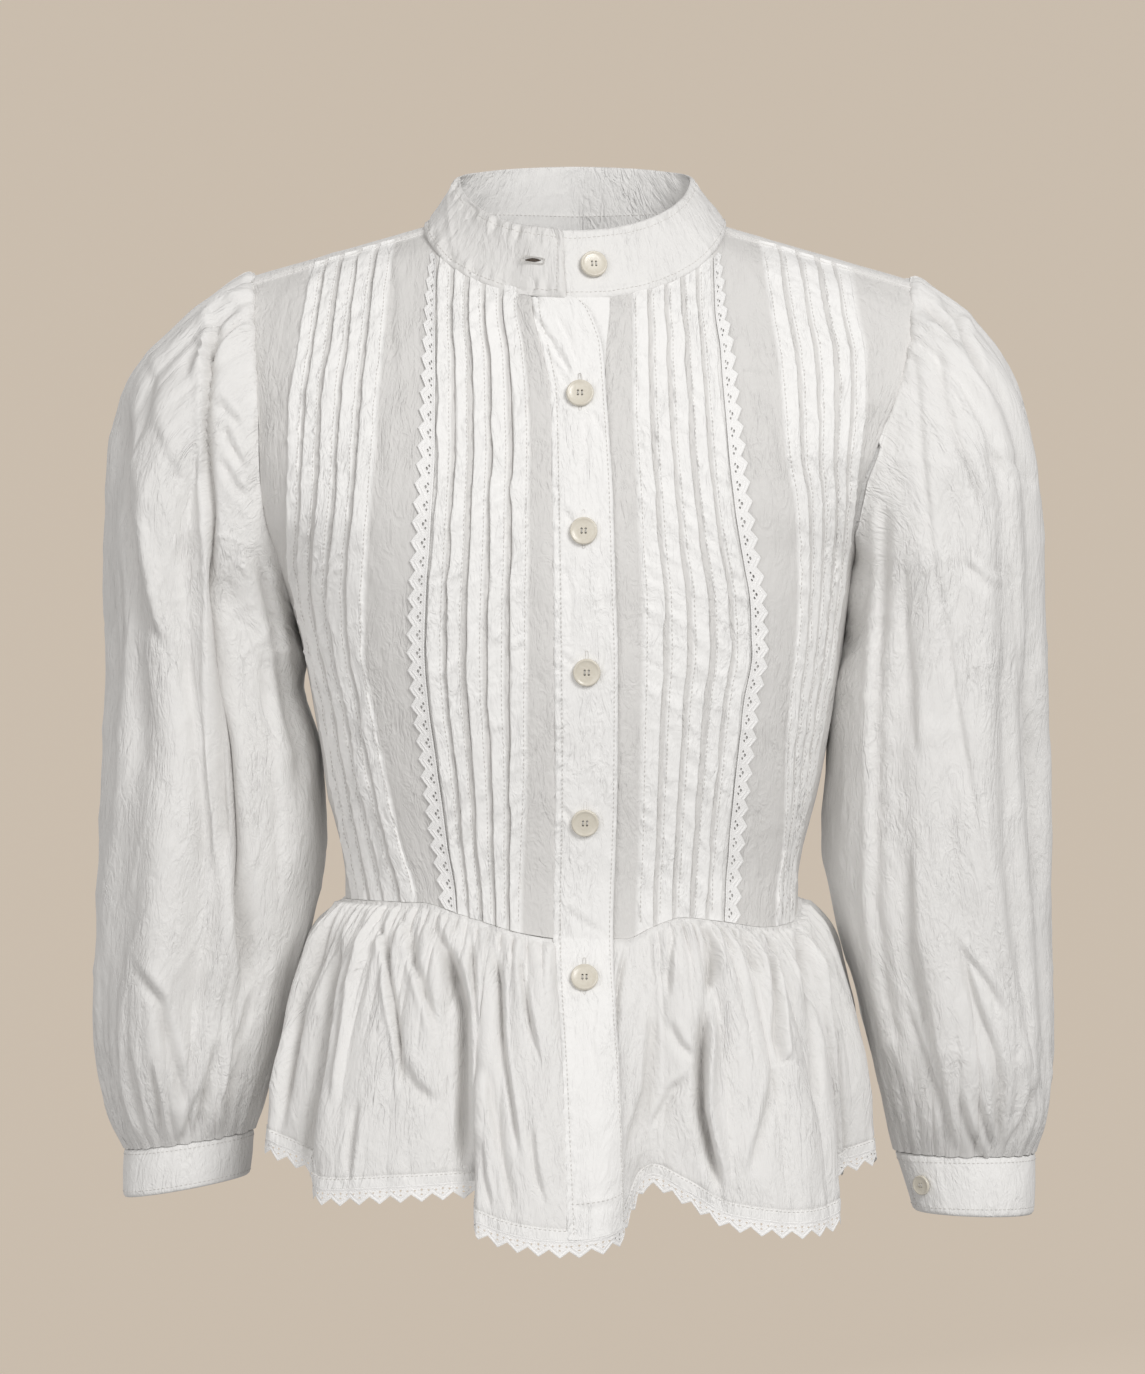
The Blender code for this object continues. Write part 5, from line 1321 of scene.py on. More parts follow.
@dataclass(frozen=True)
class Edging:
    """Lace sold by the metre: a dense worked strip with small openings and a pointed outer edge."""

    pitch: float = 0.010
    width: float = 0.0112
    point: float = 0.0038
    cell: float = 0.00046
    relief: float = 0.00055
    loop: float = 0.0017
    # Each opening's share along the repeat, its share across the strip and its radius
    holes: tuple[tuple[float, float, float], ...] = (
        (0.50, 0.40, 0.00075), (0.30, 0.27, 0.00060), (0.70, 0.27, 0.00060)
    )

    def motif(self, name: str) -> bpy.types.Mesh:
        """Makes one repeat, lying along X with its straight edge at Y = 0 and its relief in Z."""
        columns, rows = round(self.pitch / self.cell) + 1, round(self.width / self.cell) + 1
        s, t = np.meshgrid(np.linspace(0, 1, columns), np.linspace(0, 1, rows))
        edge = self.width - self.point * np.abs(2 * s - 1)
        across = t * edge
        inner_rim = 0.8 * bell(edge - across - 0.0030, 0.0005)
        rims = np.maximum(bell(edge - across - 0.0007, 0.0006), bell(across - 0.0006, 0.0006))
        turns = math.tau / self.loop
        looped = np.cos(s * self.pitch * turns) * np.cos(across * turns)
        height = self.relief * (0.3 + 0.6 * np.maximum(rims, inner_rim) + 0.2 * looped)
        points = np.stack((s * self.pitch, across, height), axis=-1).reshape(-1, 3)
        quads = grid_quads(rows, columns)
        middle = points[quads].mean(axis=1)
        open_cell = np.zeros(len(quads), bool)
        for x, y, radius in self.holes:
            away = np.hypot(middle[:, 0] - x * self.pitch, middle[:, 1] - y * self.width)
            open_cell |= away < radius
        return quad_mesh(name, points, quads[~open_cell], points[quads[~open_cell]][..., :2])

    def tree(self) -> bpy.types.NodeTree:
        """Makes the tree that repeats the motif along X and joins the repeats."""
        given = {"Motif": "Geometry", "Repeats": "Int", "Pitch": "Float", "Lace": "Material"}
        nodes = Nodes.group("lace_repeat", given, "Strip")
        motif, repeats, pitch, lace = nodes.add("NodeGroupInput").outputs[:4]
        step = nodes.out("ShaderNodeCombineXYZ", None, {"X": pitch})
        places = nodes.out("GeometryNodeMeshLine", {"mode": "OFFSET"}, {"Count": repeats, "Offset": step})
        placed = nodes.out("GeometryNodeInstanceOnPoints", None, {"Points": places, "Instance": motif})
        real = nodes.out("GeometryNodeRealizeInstances", None, {"Geometry": placed})
        joined = nodes.out(
            "GeometryNodeMergeByDistance", None, {"Geometry": real, "Distance": self.cell / 20}
        )
        finished = nodes.out("GeometryNodeSetMaterial", None, {"Geometry": joined, "Material": lace})
        nodes.add("NodeGroupOutput", None, {"Strip": finished})
        return nodes.tree

    def strip(
        self, name: str, start: np.ndarray, across: np.ndarray, facing: np.ndarray, finish: bpy.types.Material
    ) -> bpy.types.Object:
        """Lays a strip of lace along a line.

        Args:
            name: The piece's name.
            start: The line's points, where the straight edge lies.
            across: Which way the strip spreads from each.
            facing: How it faces at each.
            finish: Its material.

        Returns:
            The strip.
        """
        line = np.concatenate(([0.0], np.cumsum(np.linalg.norm(np.diff(start, axis=0), axis=1))))
        repeats = int(line[-1] / self.pitch)
        inputs = {"Repeats": repeats, "Pitch": self.pitch, "Lace": finish}
        mesh = grown(name, self.motif(f"{name}_motif"), self.tree(), inputs)
        flat = np.empty(len(mesh.vertices) * 3, np.float32)
        mesh.vertices.foreach_get("co", flat)
        s, t, height = flat.reshape(-1, 3).astype(float).T
        s *= line[-1] / (repeats * self.pitch)
        origin, way, out = (
            np.stack([np.interp(s, line, values[:, k]) for k in range(3)], axis=1)
            for values in (start, across, facing)
        )
        points = origin + unit(way) * t[:, None] + unit(out) * height[:, None]
        mesh.vertices.foreach_set("co", points.astype(np.float32).ravel())
        mesh.update()
        return add_object(name, mesh)


# ---------------------------------------------------------------- bodice


@dataclass
class Front:
    """One front of the bodice, with its two groups of tucks and the lace under the inner group's edge."""

    side: Side
    lines: Table
    armhole: Table
    creases: tuple[Crease, ...]
    seed: int
    tucks: int = 5
    tuck_height: float = 0.0019
    lift: float = 0.0
    lift_fades_over: float = 0.030
    row_step: float = 0.0021
    plain_steps: tuple[int, int, int] = (7, 14, 12)
    pucker_pitch: float = 0.0078
    pucker_depth: float = 0.0020
    lace_lift: float = 0.0008
    lace_under: float = 0.0012
    waver_length: float = 0.017
    crumple: float = 0.0011
    turned_under: float = 0.0018
    single_layers: float = 0.12
    flat: tuple[float, float] = (0.20, 0.46)
    edging: Edging = Edging()

    LINES = ("placket", "inner_near", "inner_far", "outer_near", "outer_far", "edge")
    # Each tuck's section from its stitches to its fold and back under it: the share of the tuck's
    # pitch, and the share of its height.
    SECTION = (
        (0.000, 0.00),
        (0.020, 0.16),
        (0.055, 0.30),
        (0.140, 0.46),
        (0.280, 0.62),
        (0.440, 0.80),
        (0.560, 0.94),
        (0.630, 1.00),
        (0.668, 0.92),
        (0.682, 0.68),
        (0.676, 0.36),
        (0.645, 0.00),
        (0.650, -0.50),
        (0.700, -0.50),
        (0.735, 0.00),
        (0.880, 0.00),
    )
    FOLD = 0.682
    # Heights below this one are turned under
    UNDER = -0.9

    def columns(self) -> tuple[np.ndarray, np.ndarray, np.ndarray, np.ndarray]:
        """Lists the columns of points: the line each is measured from, the share on, height and tuck."""
        near, far, edge = self.plain_steps
        found = [(0, -0.17, -1.0, -1)] + [(0, k / near, 0.0, -1) for k in range(near)]
        pitch = 1 / (self.tucks - 1 + self.FOLD)
        for line, plain in ((1, far), (3, edge)):
            for tuck in range(self.tucks):
                last = tuck == self.tucks - 1
                for share, height in self.SECTION[: -4 if last else None]:
                    found.append((line, (tuck + share) * pitch, height, tuck + 5 * (line > 1)))
            found += [(line + 1, k / plain, 0.0, -1) for k in range(1, plain + (line == 3))]
        grid = np.array(found)
        return grid[:, 0].astype(int), grid[:, 1], grid[:, 2], grid[:, 3].astype(int)

    def line_angle(self, line: str, z: np.ndarray) -> np.ndarray:
        """The angle round of one of the front's lines."""
        if line == "edge":
            return FORM.armhole_angle(self.side.value, self.armhole, z)
        return FORM.angle_across(self.lines.read(line, z), z)

    def angles(self, near: np.ndarray, share: np.ndarray, z: np.ndarray) -> np.ndarray:
        """The angle round of each column at its height."""
        lines = [self.line_angle(line, z) for line in self.LINES]
        first = np.choose(near, lines)
        second = np.choose(np.minimum(near + 1, len(lines) - 1), lines)
        return mix(first, second, share)

    def heights(self, near: np.ndarray, share: np.ndarray) -> np.ndarray:
        """The height of each point, from the waist seam up to the neck or shoulder seam."""
        foot = np.full(len(near), WAIST_SEAM.read("height", 0.0))
        for _ in range(8):
            foot = WAIST_SEAM.read("height", self.angles(near, share, foot))
        top = np.full(len(near), -0.03)
        for _ in range(16):
            x = FORM.point(self.angles(near, share, top), top)[:, 0]
            shoulder = FORM.shoulder_height(x, FORM.shoulder_seam)
            neck = np.where(np.abs(x) < FORM.neck_half_width, FORM.neck_height(x), shoulder)
            top = mix(top, np.minimum(shoulder, neck), 0.5)
        rows = round((top.max() - foot.min()) / self.row_step)
        low = np.linspace(0, 1, int(rows * 0.45))[:-1, None]
        high = np.linspace(0, 1, rows - len(low))[:, None] ** 1.08
        return np.concatenate((mix(foot + SEAM, FORM.underarm, low), mix(FORM.underarm, top - SEAM, high)))

    def waver(self, noise: Unevenness, z: np.ndarray, height: np.ndarray, tuck: np.ndarray) -> np.ndarray:
        """How far each fold wanders aside, as a share of its group's width."""
        wave = noise.at(z / self.waver_length, tuck * 3.7)
        return (0.005 * wave + 0.022 * wave * np.abs(wave) ** 1.5) * smooth((height - 0.4) / 0.5)

    def sewn(
        self, noise: Unevenness, along: np.ndarray, into: np.ndarray, height: np.ndarray, tuck: np.ndarray
    ) -> np.ndarray:
        """Works out the tucks with the puckers that their stitching draws.

        Args:
            noise: What makes them uneven. The odd factors of the tuck's number only set the tucks apart.
            along: How far up each point is.
            into: Each column's share into its tuck.
            height: Its share of the tuck's height.
            tuck: Its tuck's number, or -1.

        Returns:
            The distance outwards at each point.
        """
        # The puckers are short and slanted, and run out over the tuck
        run = along / self.pucker_pitch + 1.2 * into + tuck * 5.1
        pucker = (1 - np.abs(noise.at(run, tuck * 2.3 + 0.4 * into))) ** 4 - 0.30
        pucker = pucker + 0.25 * noise.at(run * 1.9 + 4, tuck * 1.3)
        pucker = np.where(tuck >= 0, pucker * (0.45 + 0.55 * bell(into - 0.05, 0.35)), 0.0)
        standing = 1 + 0.28 * noise.at(along / 0.022 + 11, tuck * 1.9)
        relief = np.where(height < self.UNDER, 0.0, height) * self.tuck_height * standing
        return relief + self.pucker_depth * pucker * smooth(height / 0.4)

    def build(self, name: str, finishes: Finishes) -> list[StitchRow]:
        """Makes the front and its lace, and says where it is sewn.

        Args:
            name: The front's name, as the node's.
            finishes: The shared materials.

        Returns:
            The rows of stitches on it.
        """
        near, share, height, tuck = self.columns()
        z = self.heights(near, share)
        noise = Unevenness(self.seed)
        angle = self.angles(near, share, z)
        base, normals = FORM.point(angle, z), FORM.normal(angle, z)
        middle = FORM.point(self.angles(near, share + self.waver(noise, z, height, tuck), z), z)
        distance = np.linalg.norm(base - base[:, 1:2], axis=2)
        along, from_top = z - z[0].min(), z[-1] - z
        into = (share * (self.tucks - 1 + self.FOLD)) % 1.0
        on_tuck = (tuck >= 0) & (into <= self.FOLD)
        relief = self.sewn(noise, along, into, height, tuck)
        relief = relief + crumple(noise, distance, along, self.crumple) * (0.35 + 0.65 * (tuck < 0))
        relief = relief + pushed(middle, normals, self.creases)
        # The relief lies down at the seams, less where they cross the tucks
        far = smooth((distance[:, -1:] - distance) / 0.008)
        edge = smooth(from_top / 0.012) * smooth((z - z[0]) / 0.010) * far
        neck = mix(0.2, 1.0, smooth(from_top / 0.007))
        relief = relief * np.where(tuck >= 0, np.minimum(mix(0.6, 1.0, edge), neck), edge)
        relief = relief - self.turned_under * (height < self.UNDER)
        lift = self.lift * (1 - smooth(distance / self.lift_fades_over))
        lift = lift * mix(0.35, 1.0, smooth(from_top / 0.009))
        outer = middle + normals * (FACE + lift + relief)[..., None]
        inner = base + normals * (lift + UNDERSIDE)[..., None]
        sink = 0.0009 + lift[-1][:, None]
        faces = [
            np.concatenate((face, allowance(face[-1], normals[-1], 0.003, sink))) for face in (outer, inner)
        ]
        layers = np.where(on_tuck, 1.0, self.single_layers)
        drawn = np.where(on_tuck, mix(0.6, 1.0, smooth(1 - into / 0.3)), 0.0)
        piece = shell(name, *faces, finishes.cotton, layers=layers, drawn=drawn)
        dress(piece, "white_cotton", name)
        self.flat[0] * self.flat[1] * 0.8
        self.lay_lace(name, outer, normals, np.flatnonzero(near == 2), finishes)
        foot_of_tucks = np.flatnonzero(np.isclose(height, self.SECTION[2][1]))
        return [StitchRow.along(outer[3:-3, k], normals[3:-3, k]) for k in foot_of_tucks]

    def lay_lace(
        self, name: str, outer: np.ndarray, normals: np.ndarray, after: np.ndarray, finishes: Finishes
    ) -> None:
        """Lays the lace from under the inner group's last fold, its points away from the front.

        Args:
            name: The front's name.
            outer: The front's outer points.
            normals: How it faces there.
            after: The columns that follow the inner group.
            finishes: The shared materials.
        """
        across = outer[:-2, after[4]] - outer[:-2, after[0]]
        facing = normals[:-2, after[2]]
        start = outer[:-2, after[0]] - unit(across) * self.lace_under + facing * self.lace_lift
        strip = self.edging.strip(f"lace_{name}", start, across, facing, finishes.lace)
        dress(strip, "cotton_lace", f"lace_{name}")


@dataclass
class Back:
    """The back in one piece, up over the shoulders to the seams on their front."""

    creases: tuple[Crease, ...]
    seed: int = 31
    columns: int = 110
    rows_below: int = 50
    rows_above: int = 70
    rows_over: int = 12
    waist: float = -0.384
    neck: float = -0.02
    rounds: int = 24
    half_width: float = 0.18
    crumple: float = 0.0014
    turned_edge: float = 0.0011
    flat: tuple[float, float] = (0.40, 0.48)

    def angles(self, z: np.ndarray, behind: bool = True) -> np.ndarray:
        """The angle round of each column at its height, behind the shoulder or in front of it."""
        share = np.linspace(-1, 1, self.columns)
        side = np.where(share < 0, -1, 1)
        foot_x = FORM.point(180 * side - side * 90 * np.abs(share), self.waist)[..., 0]
        top_x = side * BACK_COLUMNS.read("top", np.abs(share))
        x = mix(foot_x, top_x, np.clip((z - self.waist) / (self.neck - self.waist), 0, 1))
        right = FORM.armhole_angle(-1, RIGHT_ARMHOLE, z, behind)
        left = FORM.armhole_angle(1, LEFT_ARMHOLE, z, behind)
        near_edge = smooth((np.abs(share) - 0.86) / 0.14)
        return mix(FORM.angle_across(x, z, behind), np.where(side < 0, right, left), near_edge)

    def build(self, finishes: Finishes) -> list[StitchRow]:
        """Makes the back.

        Args:
            finishes: The shared materials.

        Returns:
            The rows of stitches on it.
        """
        share = np.linspace(-1, 1, self.columns)
        over = BACK_COLUMNS.read("top", np.abs(share)) > FORM.neck_half_width - 0.0005
        foot = WAIST_SEAM.read("height", self.angles(np.full(len(share), self.waist))) + SEAM
        top = np.full(len(share), self.neck)
        for _ in range(self.rounds):
            x = FORM.point(self.angles(top), top)[:, 0]
            ridge = FORM.shoulder_height(x, FORM.ridge - 0.0022)
            top = mix(top, np.where(over, ridge, FORM.neck_height(x, True) - SEAM), 0.5)
        low = np.linspace(0, 1, self.rows_below)[:-1, None]
        high = np.linspace(0, 1, self.rows_above)[:, None] ** 1.2
        z = np.concatenate((mix(foot, FORM.underarm, low), mix(FORM.underarm, top, high)))
        grid, normals = FORM.point(self.angles(z), z), FORM.normal(self.angles(z), z)
        rows, facing = [grid], [normals]
        # Past the ridge the rows run on down the front of the shoulder to its seam
        for s in np.linspace(0.05, 1, self.rows_over):
            level = FORM.ridge - 0.0004 - (FORM.ridge - FORM.shoulder_seam) * s**2
            ahead = z[-1].copy()
            for _ in range(self.rounds):
                x = FORM.point(self.angles(ahead, False), ahead)[:, 0]
                ahead = mix(ahead, FORM.shoulder_height(x, level), 0.5)
            before = self.angles(ahead, False)
            rows.append(np.where(over[:, None], FORM.point(before, ahead), grid[-1])[None])
            facing.append(np.where(over[:, None], FORM.normal(before, ahead), normals[-1])[None])
        grid, normals = np.concatenate(rows), np.concatenate(facing)
        u = share[None, :] * self.half_width + 0 * grid[..., 0]
        v = np.concatenate((z, np.repeat(z[-1:], self.rows_over, axis=0)))
        relief = crumple(Unevenness(self.seed), u, v, self.crumple) + pushed(grid, normals, self.creases)
        inside = smooth((1 - np.abs(share)) / 0.06) * smooth((v - foot) / 0.012)
        inside = inside * np.linspace(1, 0, len(grid))[:, None] ** 0.3
        # The seam's turned edge stands up a little over its last five rows
        fold = np.maximum(np.arange(len(grid)) - (len(grid) - 6), 0) / 5
        rounded = np.sqrt(np.maximum(1 - (2 * fold - 1.1) ** 2, 0)) * (fold > 0)
        turned = self.turned_edge * rounded[:, None] * over
        outer = grid + normals * (FACE + relief * inside + turned)[..., None]
        piece = shell("back", outer, grid + normals * UNDERSIDE, finishes.cotton)
        dress(piece, "white_cotton", "back")
        self.flat[0] * self.flat[1] * 0.85
        shoulders = (np.flatnonzero(over & (share * side > 0)) for side in (-1, 1))
        return [StitchRow.along(outer[-2, k], normals[-2, k]) for k in shoulders]


@dataclass
class Plackets:
    """The two bands down the opening: the upper one sewn on and lapped over the lower."""

    seed: int = 5
    under_left: float = -0.0030
    lift: float = 0.0025
    under_margin: float = 0.0055
    columns: int = 34
    rows: int = 300
    band_seam: float = 0.0032
    thickness: float = 0.0018
    pucker_depth: float = 0.0008
    dent_depth: float = 0.0005
    groove_depth: float = 0.0008
    crumple: float = 0.0007
    stitched: tuple[float, float] = (0.11, 0.93)
    flat: tuple[float, float] = (0.034, 0.52)

    def surface(self, x: np.ndarray, z: np.ndarray) -> np.ndarray:
        """The front's form carried on over the peplum."""
        waist = WAIST_SEAM.read("height", 0.0)
        share = (waist - z) / (waist - HEM.read("height", 0.0))
        below = PEPLUM_FORM.point(PEPLUM_FORM.angle_across(x, share), np.clip(share, 0, 1))
        above = FORM.point(FORM.angle_across(x, z), z)
        return mix(above, below, smooth((waist - z) / 0.024 + 0.5)[..., None])

    def band(
        self, near: np.ndarray, far: np.ndarray, z: np.ndarray, across: np.ndarray
    ) -> tuple[np.ndarray, np.ndarray, np.ndarray, np.ndarray]:
        """Lays a band between two edges.

        Args:
            near: Where its first edge lies across, by row.
            far: Where its other edge lies.
            z: The rows' heights.
            across: The columns' shares of the width.

        Returns:
            The points, how they face, how far across they are and how high.
        """
        x = mix(near[:, None], far[:, None], across[None, :])
        z = np.minimum(z[:, None], FORM.neck_height(x) - SEAM)
        grid = self.surface(x, z)
        return grid, normals_of(grid, False, (0, -1, 0)), x, z

    def relief(
        self, noise: Unevenness, from_seam: np.ndarray, from_edge: np.ndarray, height: np.ndarray
    ) -> np.ndarray:
        """Works out the upper band's puckers at its seams, its dents and its seam's groove.

        Args:
            noise: What makes them uneven.
            from_seam: How far each point is from the sewn edge.
            from_edge: How far it is from the free edge.
            height: How high it is.

        Returns:
            The distance outwards at each point.
        """
        ridged = (1 - np.abs(noise.at(height / 0.0036 + from_seam / 0.02, 1.7))) ** 3 * 1.6 - 0.6
        puckers = ridged * bell(from_seam - 0.002, 0.0045)
        puckers = puckers + noise.at(height / 0.0065 + 5, 8.2) * bell(from_edge - 0.001, 0.004) * 0.6
        dents = noise.at(height / 0.011, from_seam / 0.012 + 3) * 0.5
        groove = self.groove_depth * bell(from_seam - self.band_seam, 0.0007)
        return self.pucker_depth * puckers + self.dent_depth * dents - groove

    def build(self, finishes: Finishes) -> list[StitchRow]:
        """Makes both bands.

        Args:
            finishes: The shared materials.

        Returns:
            The rows of stitches on them.
        """
        top = FORM.neck_height(0.0) - SEAM
        z = np.linspace(top, HEM.read("height", 0.0) + SEAM, self.rows)
        across = np.linspace(0, 1, self.columns)
        seam, edge = PLACKET.read("seam", z), PLACKET.read("edge", z)
        grid, normals, x, height = self.band(seam, edge, z, across)
        noise = Unevenness(self.seed)
        from_seam, from_edge = x - seam[:, None], edge[:, None] - x
        relief = self.relief(noise, from_seam, from_edge, height) + crumple(noise, x, height, self.crumple)
        relief = relief + pushed(grid, normals, PLACKET_CREASES)
        drawn = np.maximum(bell(from_seam - 0.001, 0.006), 0.5 * bell(from_edge, 0.004))
        rounded = 0.0010 * (1 - np.clip(from_edge / 0.0018, 0, 1)) ** 2
        turned = 0.0007 * (1 - np.clip(from_seam / 0.0010, 0, 1)) ** 2
        lift = self.lift * mix(0.35, 1.0, smooth((z[0] - height) / 0.010))
        outer = grid + normals * (lift + self.thickness + relief - rounded - turned)[..., None]
        inner = grid + normals * (lift + 0.0001)[..., None]
        piece = shell("placket_over", outer, inner, finishes.cotton, layers=1.0, drawn=drawn)
        dress(piece, "white_cotton", "placket_over")
        self.hem_lace((outer[-1] + inner[-1]) / 2, normals[-1], finishes)
        self.under(noise, z, finishes)
        at, far = (int(np.argmin(np.abs(across - share))) for share in self.stitched)
        return [
            StitchRow.along(outer[2:-2, at], normals[2:-2, at]),
            StitchRow.along(outer[2:-2, far], normals[2:-2, far]),
            StitchRow.along(outer[-12, at:far], normals[-12, at:far]),
        ]

    def under(self, noise: Unevenness, z: np.ndarray, finishes: Finishes) -> None:
        """Makes the lower band, of which only an edge shows."""
        on_peplum = PLACKET.read("edge", z) - self.under_margin - SEAM
        far = np.where(z < -0.400, on_peplum, LEFT_LINES.read("placket", z)) - SEAM
        grid, normals, x, height = self.band(np.full(len(z), self.under_left), far, z, np.linspace(0, 1, 12))
        relief = np.clip(crumple(noise, x + 1, height, 0.0004), -0.0004, 0.0004)
        outer = grid + normals * (0.0012 + relief)[..., None]
        inner = grid + normals * UNDERSIDE
        piece = shell("placket_under", outer, inner, finishes.cotton, layers=0.9, drawn=0.6)
        dress(piece, "white_cotton", "placket_under")

    def hem_lace(self, edge: np.ndarray, normals: np.ndarray, finishes: Finishes) -> None:
        """Hangs the hem's lace under the bands' foot."""
        down = np.zeros_like(edge) + np.array((0, 0, -1.0))
        strip = HEM_EDGING.strip("lace_hem_placket", edge, down, normals, finishes.lace)
        dress(strip, "cotton_lace", "lace_hem_placket")


@dataclass
class Collar:
    """The stand collar, a stiffened band whose two ends meet at the front."""

    top_half_width: float = 0.0665
    top_front: float = -0.070
    top_back: float = 0.048
    top_side_height: float = 0.034
    top_front_drop: float = 0.038
    top_back_rise: float = 0.013
    gap_angle: float = -4.5
    gap: float = -3.2
    lap: float = 1.5
    lap_lift: float = 0.0019
    lean: float = 2.6
    corner: float = 2.4
    facing_depth: float = 0.26
    radius: float = 0.075
    thickness: float = 0.0017
    uneven: tuple[float, float] = (0.0010, 0.0028)
    # How white the collar is round it: layers from the front over the wearer's left to the back, then greyer
    # over the wearer's right as painted shade
    layers_and_shade: tuple[float, float] = (0.65, 0.36)
    columns: int = 560
    rows: int = 34
    seed: int = 17
    flat: tuple[float, float] = (0.44, 0.036)

    def point(self, angle: np.ndarray, share: np.ndarray) -> np.ndarray:
        """A place by its angle from the centre front and its share of the way up."""
        turn = np.radians(angle)
        front = np.cos(turn)
        x = FORM.neck_half_width * np.sin(turn)
        z = FORM.neck_height(x, front < 0)
        # Softened at the centre back, where the torso's two slopes meet
        beside = np.where(front < 0, np.hypot(x, 0.007), x)
        y = FORM.point(FORM.angle_across(beside, z, front < 0), z)[..., 1]
        rise = mix(np.where(front > 0, SEAM, 0.0017), 0.0029, np.abs(np.sin(turn)) ** 4)
        base = np.stack((x, y, z + rise), axis=-1)
        top = np.stack(
            (
                self.top_half_width * np.sin(turn),
                front * np.where(front > 0, self.top_front, -self.top_back),
                self.top_side_height - front * np.where(front > 0, self.top_front_drop, self.top_back_rise),
            ),
            axis=-1,
        )
        return mix(base, top, np.asarray(share)[..., None])

    def build(self, finishes: Finishes) -> list[StitchRow]:
        """Makes the collar.

        Args:
            finishes: The shared materials.

        Returns:
            The rows of stitches on it: along its top and foot, down its lapping end, and inside the back.
        """
        angles = np.linspace(self.gap_angle + self.gap, self.gap_angle + 360 + self.lap, self.columns)
        shares = np.linspace(-0.045, 1, self.rows)
        behind = smooth(-np.cos(np.radians(angles)) - 0.1)[None, :]
        facing_in = shares[:, None] - self.facing_depth * behind * (1 - shares[:, None]) ** 3
        # The lapping end leans back, and its upper corner is rounded
        rounding = 1 - np.sqrt(1 - np.clip((shares - 0.74) / 0.26, 0, 1) ** 2)
        end = smooth((angles - angles[-1] + 14) / 14)[None, :] ** 2
        back = (self.lean * shares + self.corner * rounding)[:, None] * end
        grid = self.point(angles[None, :] - back, facing_in)
        normals = normals_of(grid, False, (1, 0, 0))
        noise = Unevenness(self.seed)
        u = np.radians(angles)[None, :] * self.radius
        v = (shares[:, None] + 0.045) * 0.0345
        from_end = np.minimum(angles - angles[0], angles[-1] - angles)[None, :]
        from_end = from_end * math.radians(1) * self.radius
        rim = np.minimum(np.minimum(v, self.flat[1] - v), from_end)
        puckers = noise.at(u / 0.0036, v / 0.03) * bell(rim - 0.004, 0.0045)
        uneven = mix(*self.uneven, smooth((angles - 200) / 60))[None, :]
        groove = 0.0005 * bell(rim - 0.0042, 0.0007)
        relief = uneven * 0.7 * puckers + crumple(noise, u, v, 1.0) * uneven - groove
        rounded = 0.0009 * (1 - np.clip(rim / 0.0016, 0, 1)) ** 2
        lapped = self.lap_lift * smooth((angles - angles[-1] + 24) / 9)[None, :]
        outer = grid + normals * (self.thickness + lapped + relief * smooth(rim / 0.003) - rounded)[..., None]
        inside = crumple(noise, u + 1, v, 0.0013) * smooth(rim / 0.004)
        inside = inside - 0.0006 * bell(facing_in - 0.02, 0.02)
        inside = UNDERSIDE + lapped + rounded * 0.4 + np.minimum(inside, 0.0009)
        inner = grid + normals * inside[..., None]
        # Painted shade: the collar's colour goes greyer over its wearer's right half
        layers_and_shade = mix(*self.layers_and_shade, smooth((angles - 190) / 60))[None, :]
        piece = shell("collar", outer, inner, finishes.cotton, layers=layers_and_shade, drawn=0.45)
        dress(piece, "white_cotton", "collar")
        low, high, half = 3, self.rows - 5, self.columns // 2
        off = np.abs(from_end[0] - 0.0045)
        first, last = int(np.argmin(off[:half])), half + int(np.argmin(off[half:]))
        rows = [StitchRow.along(outer[k, first:last], normals[k, first:last]) for k in (low, high)]
        rows += [StitchRow.along(outer[low:high, last], normals[low:high, last])]
        seam = np.argmin(np.abs(facing_in - 0.05), axis=0)
        back = np.flatnonzero(np.abs(angles - 180) < 62)
        rows += [StitchRow.along(inner[seam[back], back], -normals[seam[back], back])]
        return rows


# ---------------------------------------------------------------- peplum


@dataclass(frozen=True)
class PeplumForm:
    """The form under the gathered skirt of the blouse, with its large folds."""

    square: float = 2.3

    def angle_across(self, x: np.ndarray, share: np.ndarray) -> np.ndarray:
        """The angle round of a place that far across the front."""
        half = np.where(x < 0, PEPLUM.read("right", share), PEPLUM.read("left", share))
        sine = np.minimum(np.abs(x) / half, 1.0) ** (self.square / 2)
        return np.sign(x) * np.degrees(np.arcsin(sine))

    def point(self, angle: np.ndarray, share: np.ndarray) -> np.ndarray:
        """A place by its angle from the centre front and its share of the way down."""
        angle = turned_away(np.asarray(angle), 0)
        turn = np.radians(angle)
        sine, cosine = np.sin(turn), np.cos(turn)
        power = 2 / self.square
        half = np.where(sine < 0, PEPLUM.read("right", share), PEPLUM.read("left", share))
        depth = np.where(cosine > 0, PEPLUM.read("front", share), PEPLUM.read("back", share))
        x = np.sign(sine) * half * np.abs(sine) ** power
        y = -np.sign(cosine) * depth * np.abs(cosine) ** power
        z = mix(WAIST_SEAM.read("height", angle) - SEAM / 2, HEM.read("height", angle), share)
        out = unit(np.stack(np.broadcast_arrays(x, y, 0.0), axis=-1))
        fold = PEPLUM_FOLDS.read("out", angle) * np.asarray(share) ** 1.2
        return np.stack(np.broadcast_arrays(x, y, z), axis=-1) + out * fold[..., None]


PEPLUM_FORM = PeplumForm()
HEM_EDGING = Edging(
    pitch=0.0116,
    width=0.0098,
    point=0.0044,
    holes=((0.50, 0.30, 0.0005), (0.5, 0.56, 0.0005), (0.18, 0.34, 0.0005), (0.82, 0.34, 0.0005)),
)


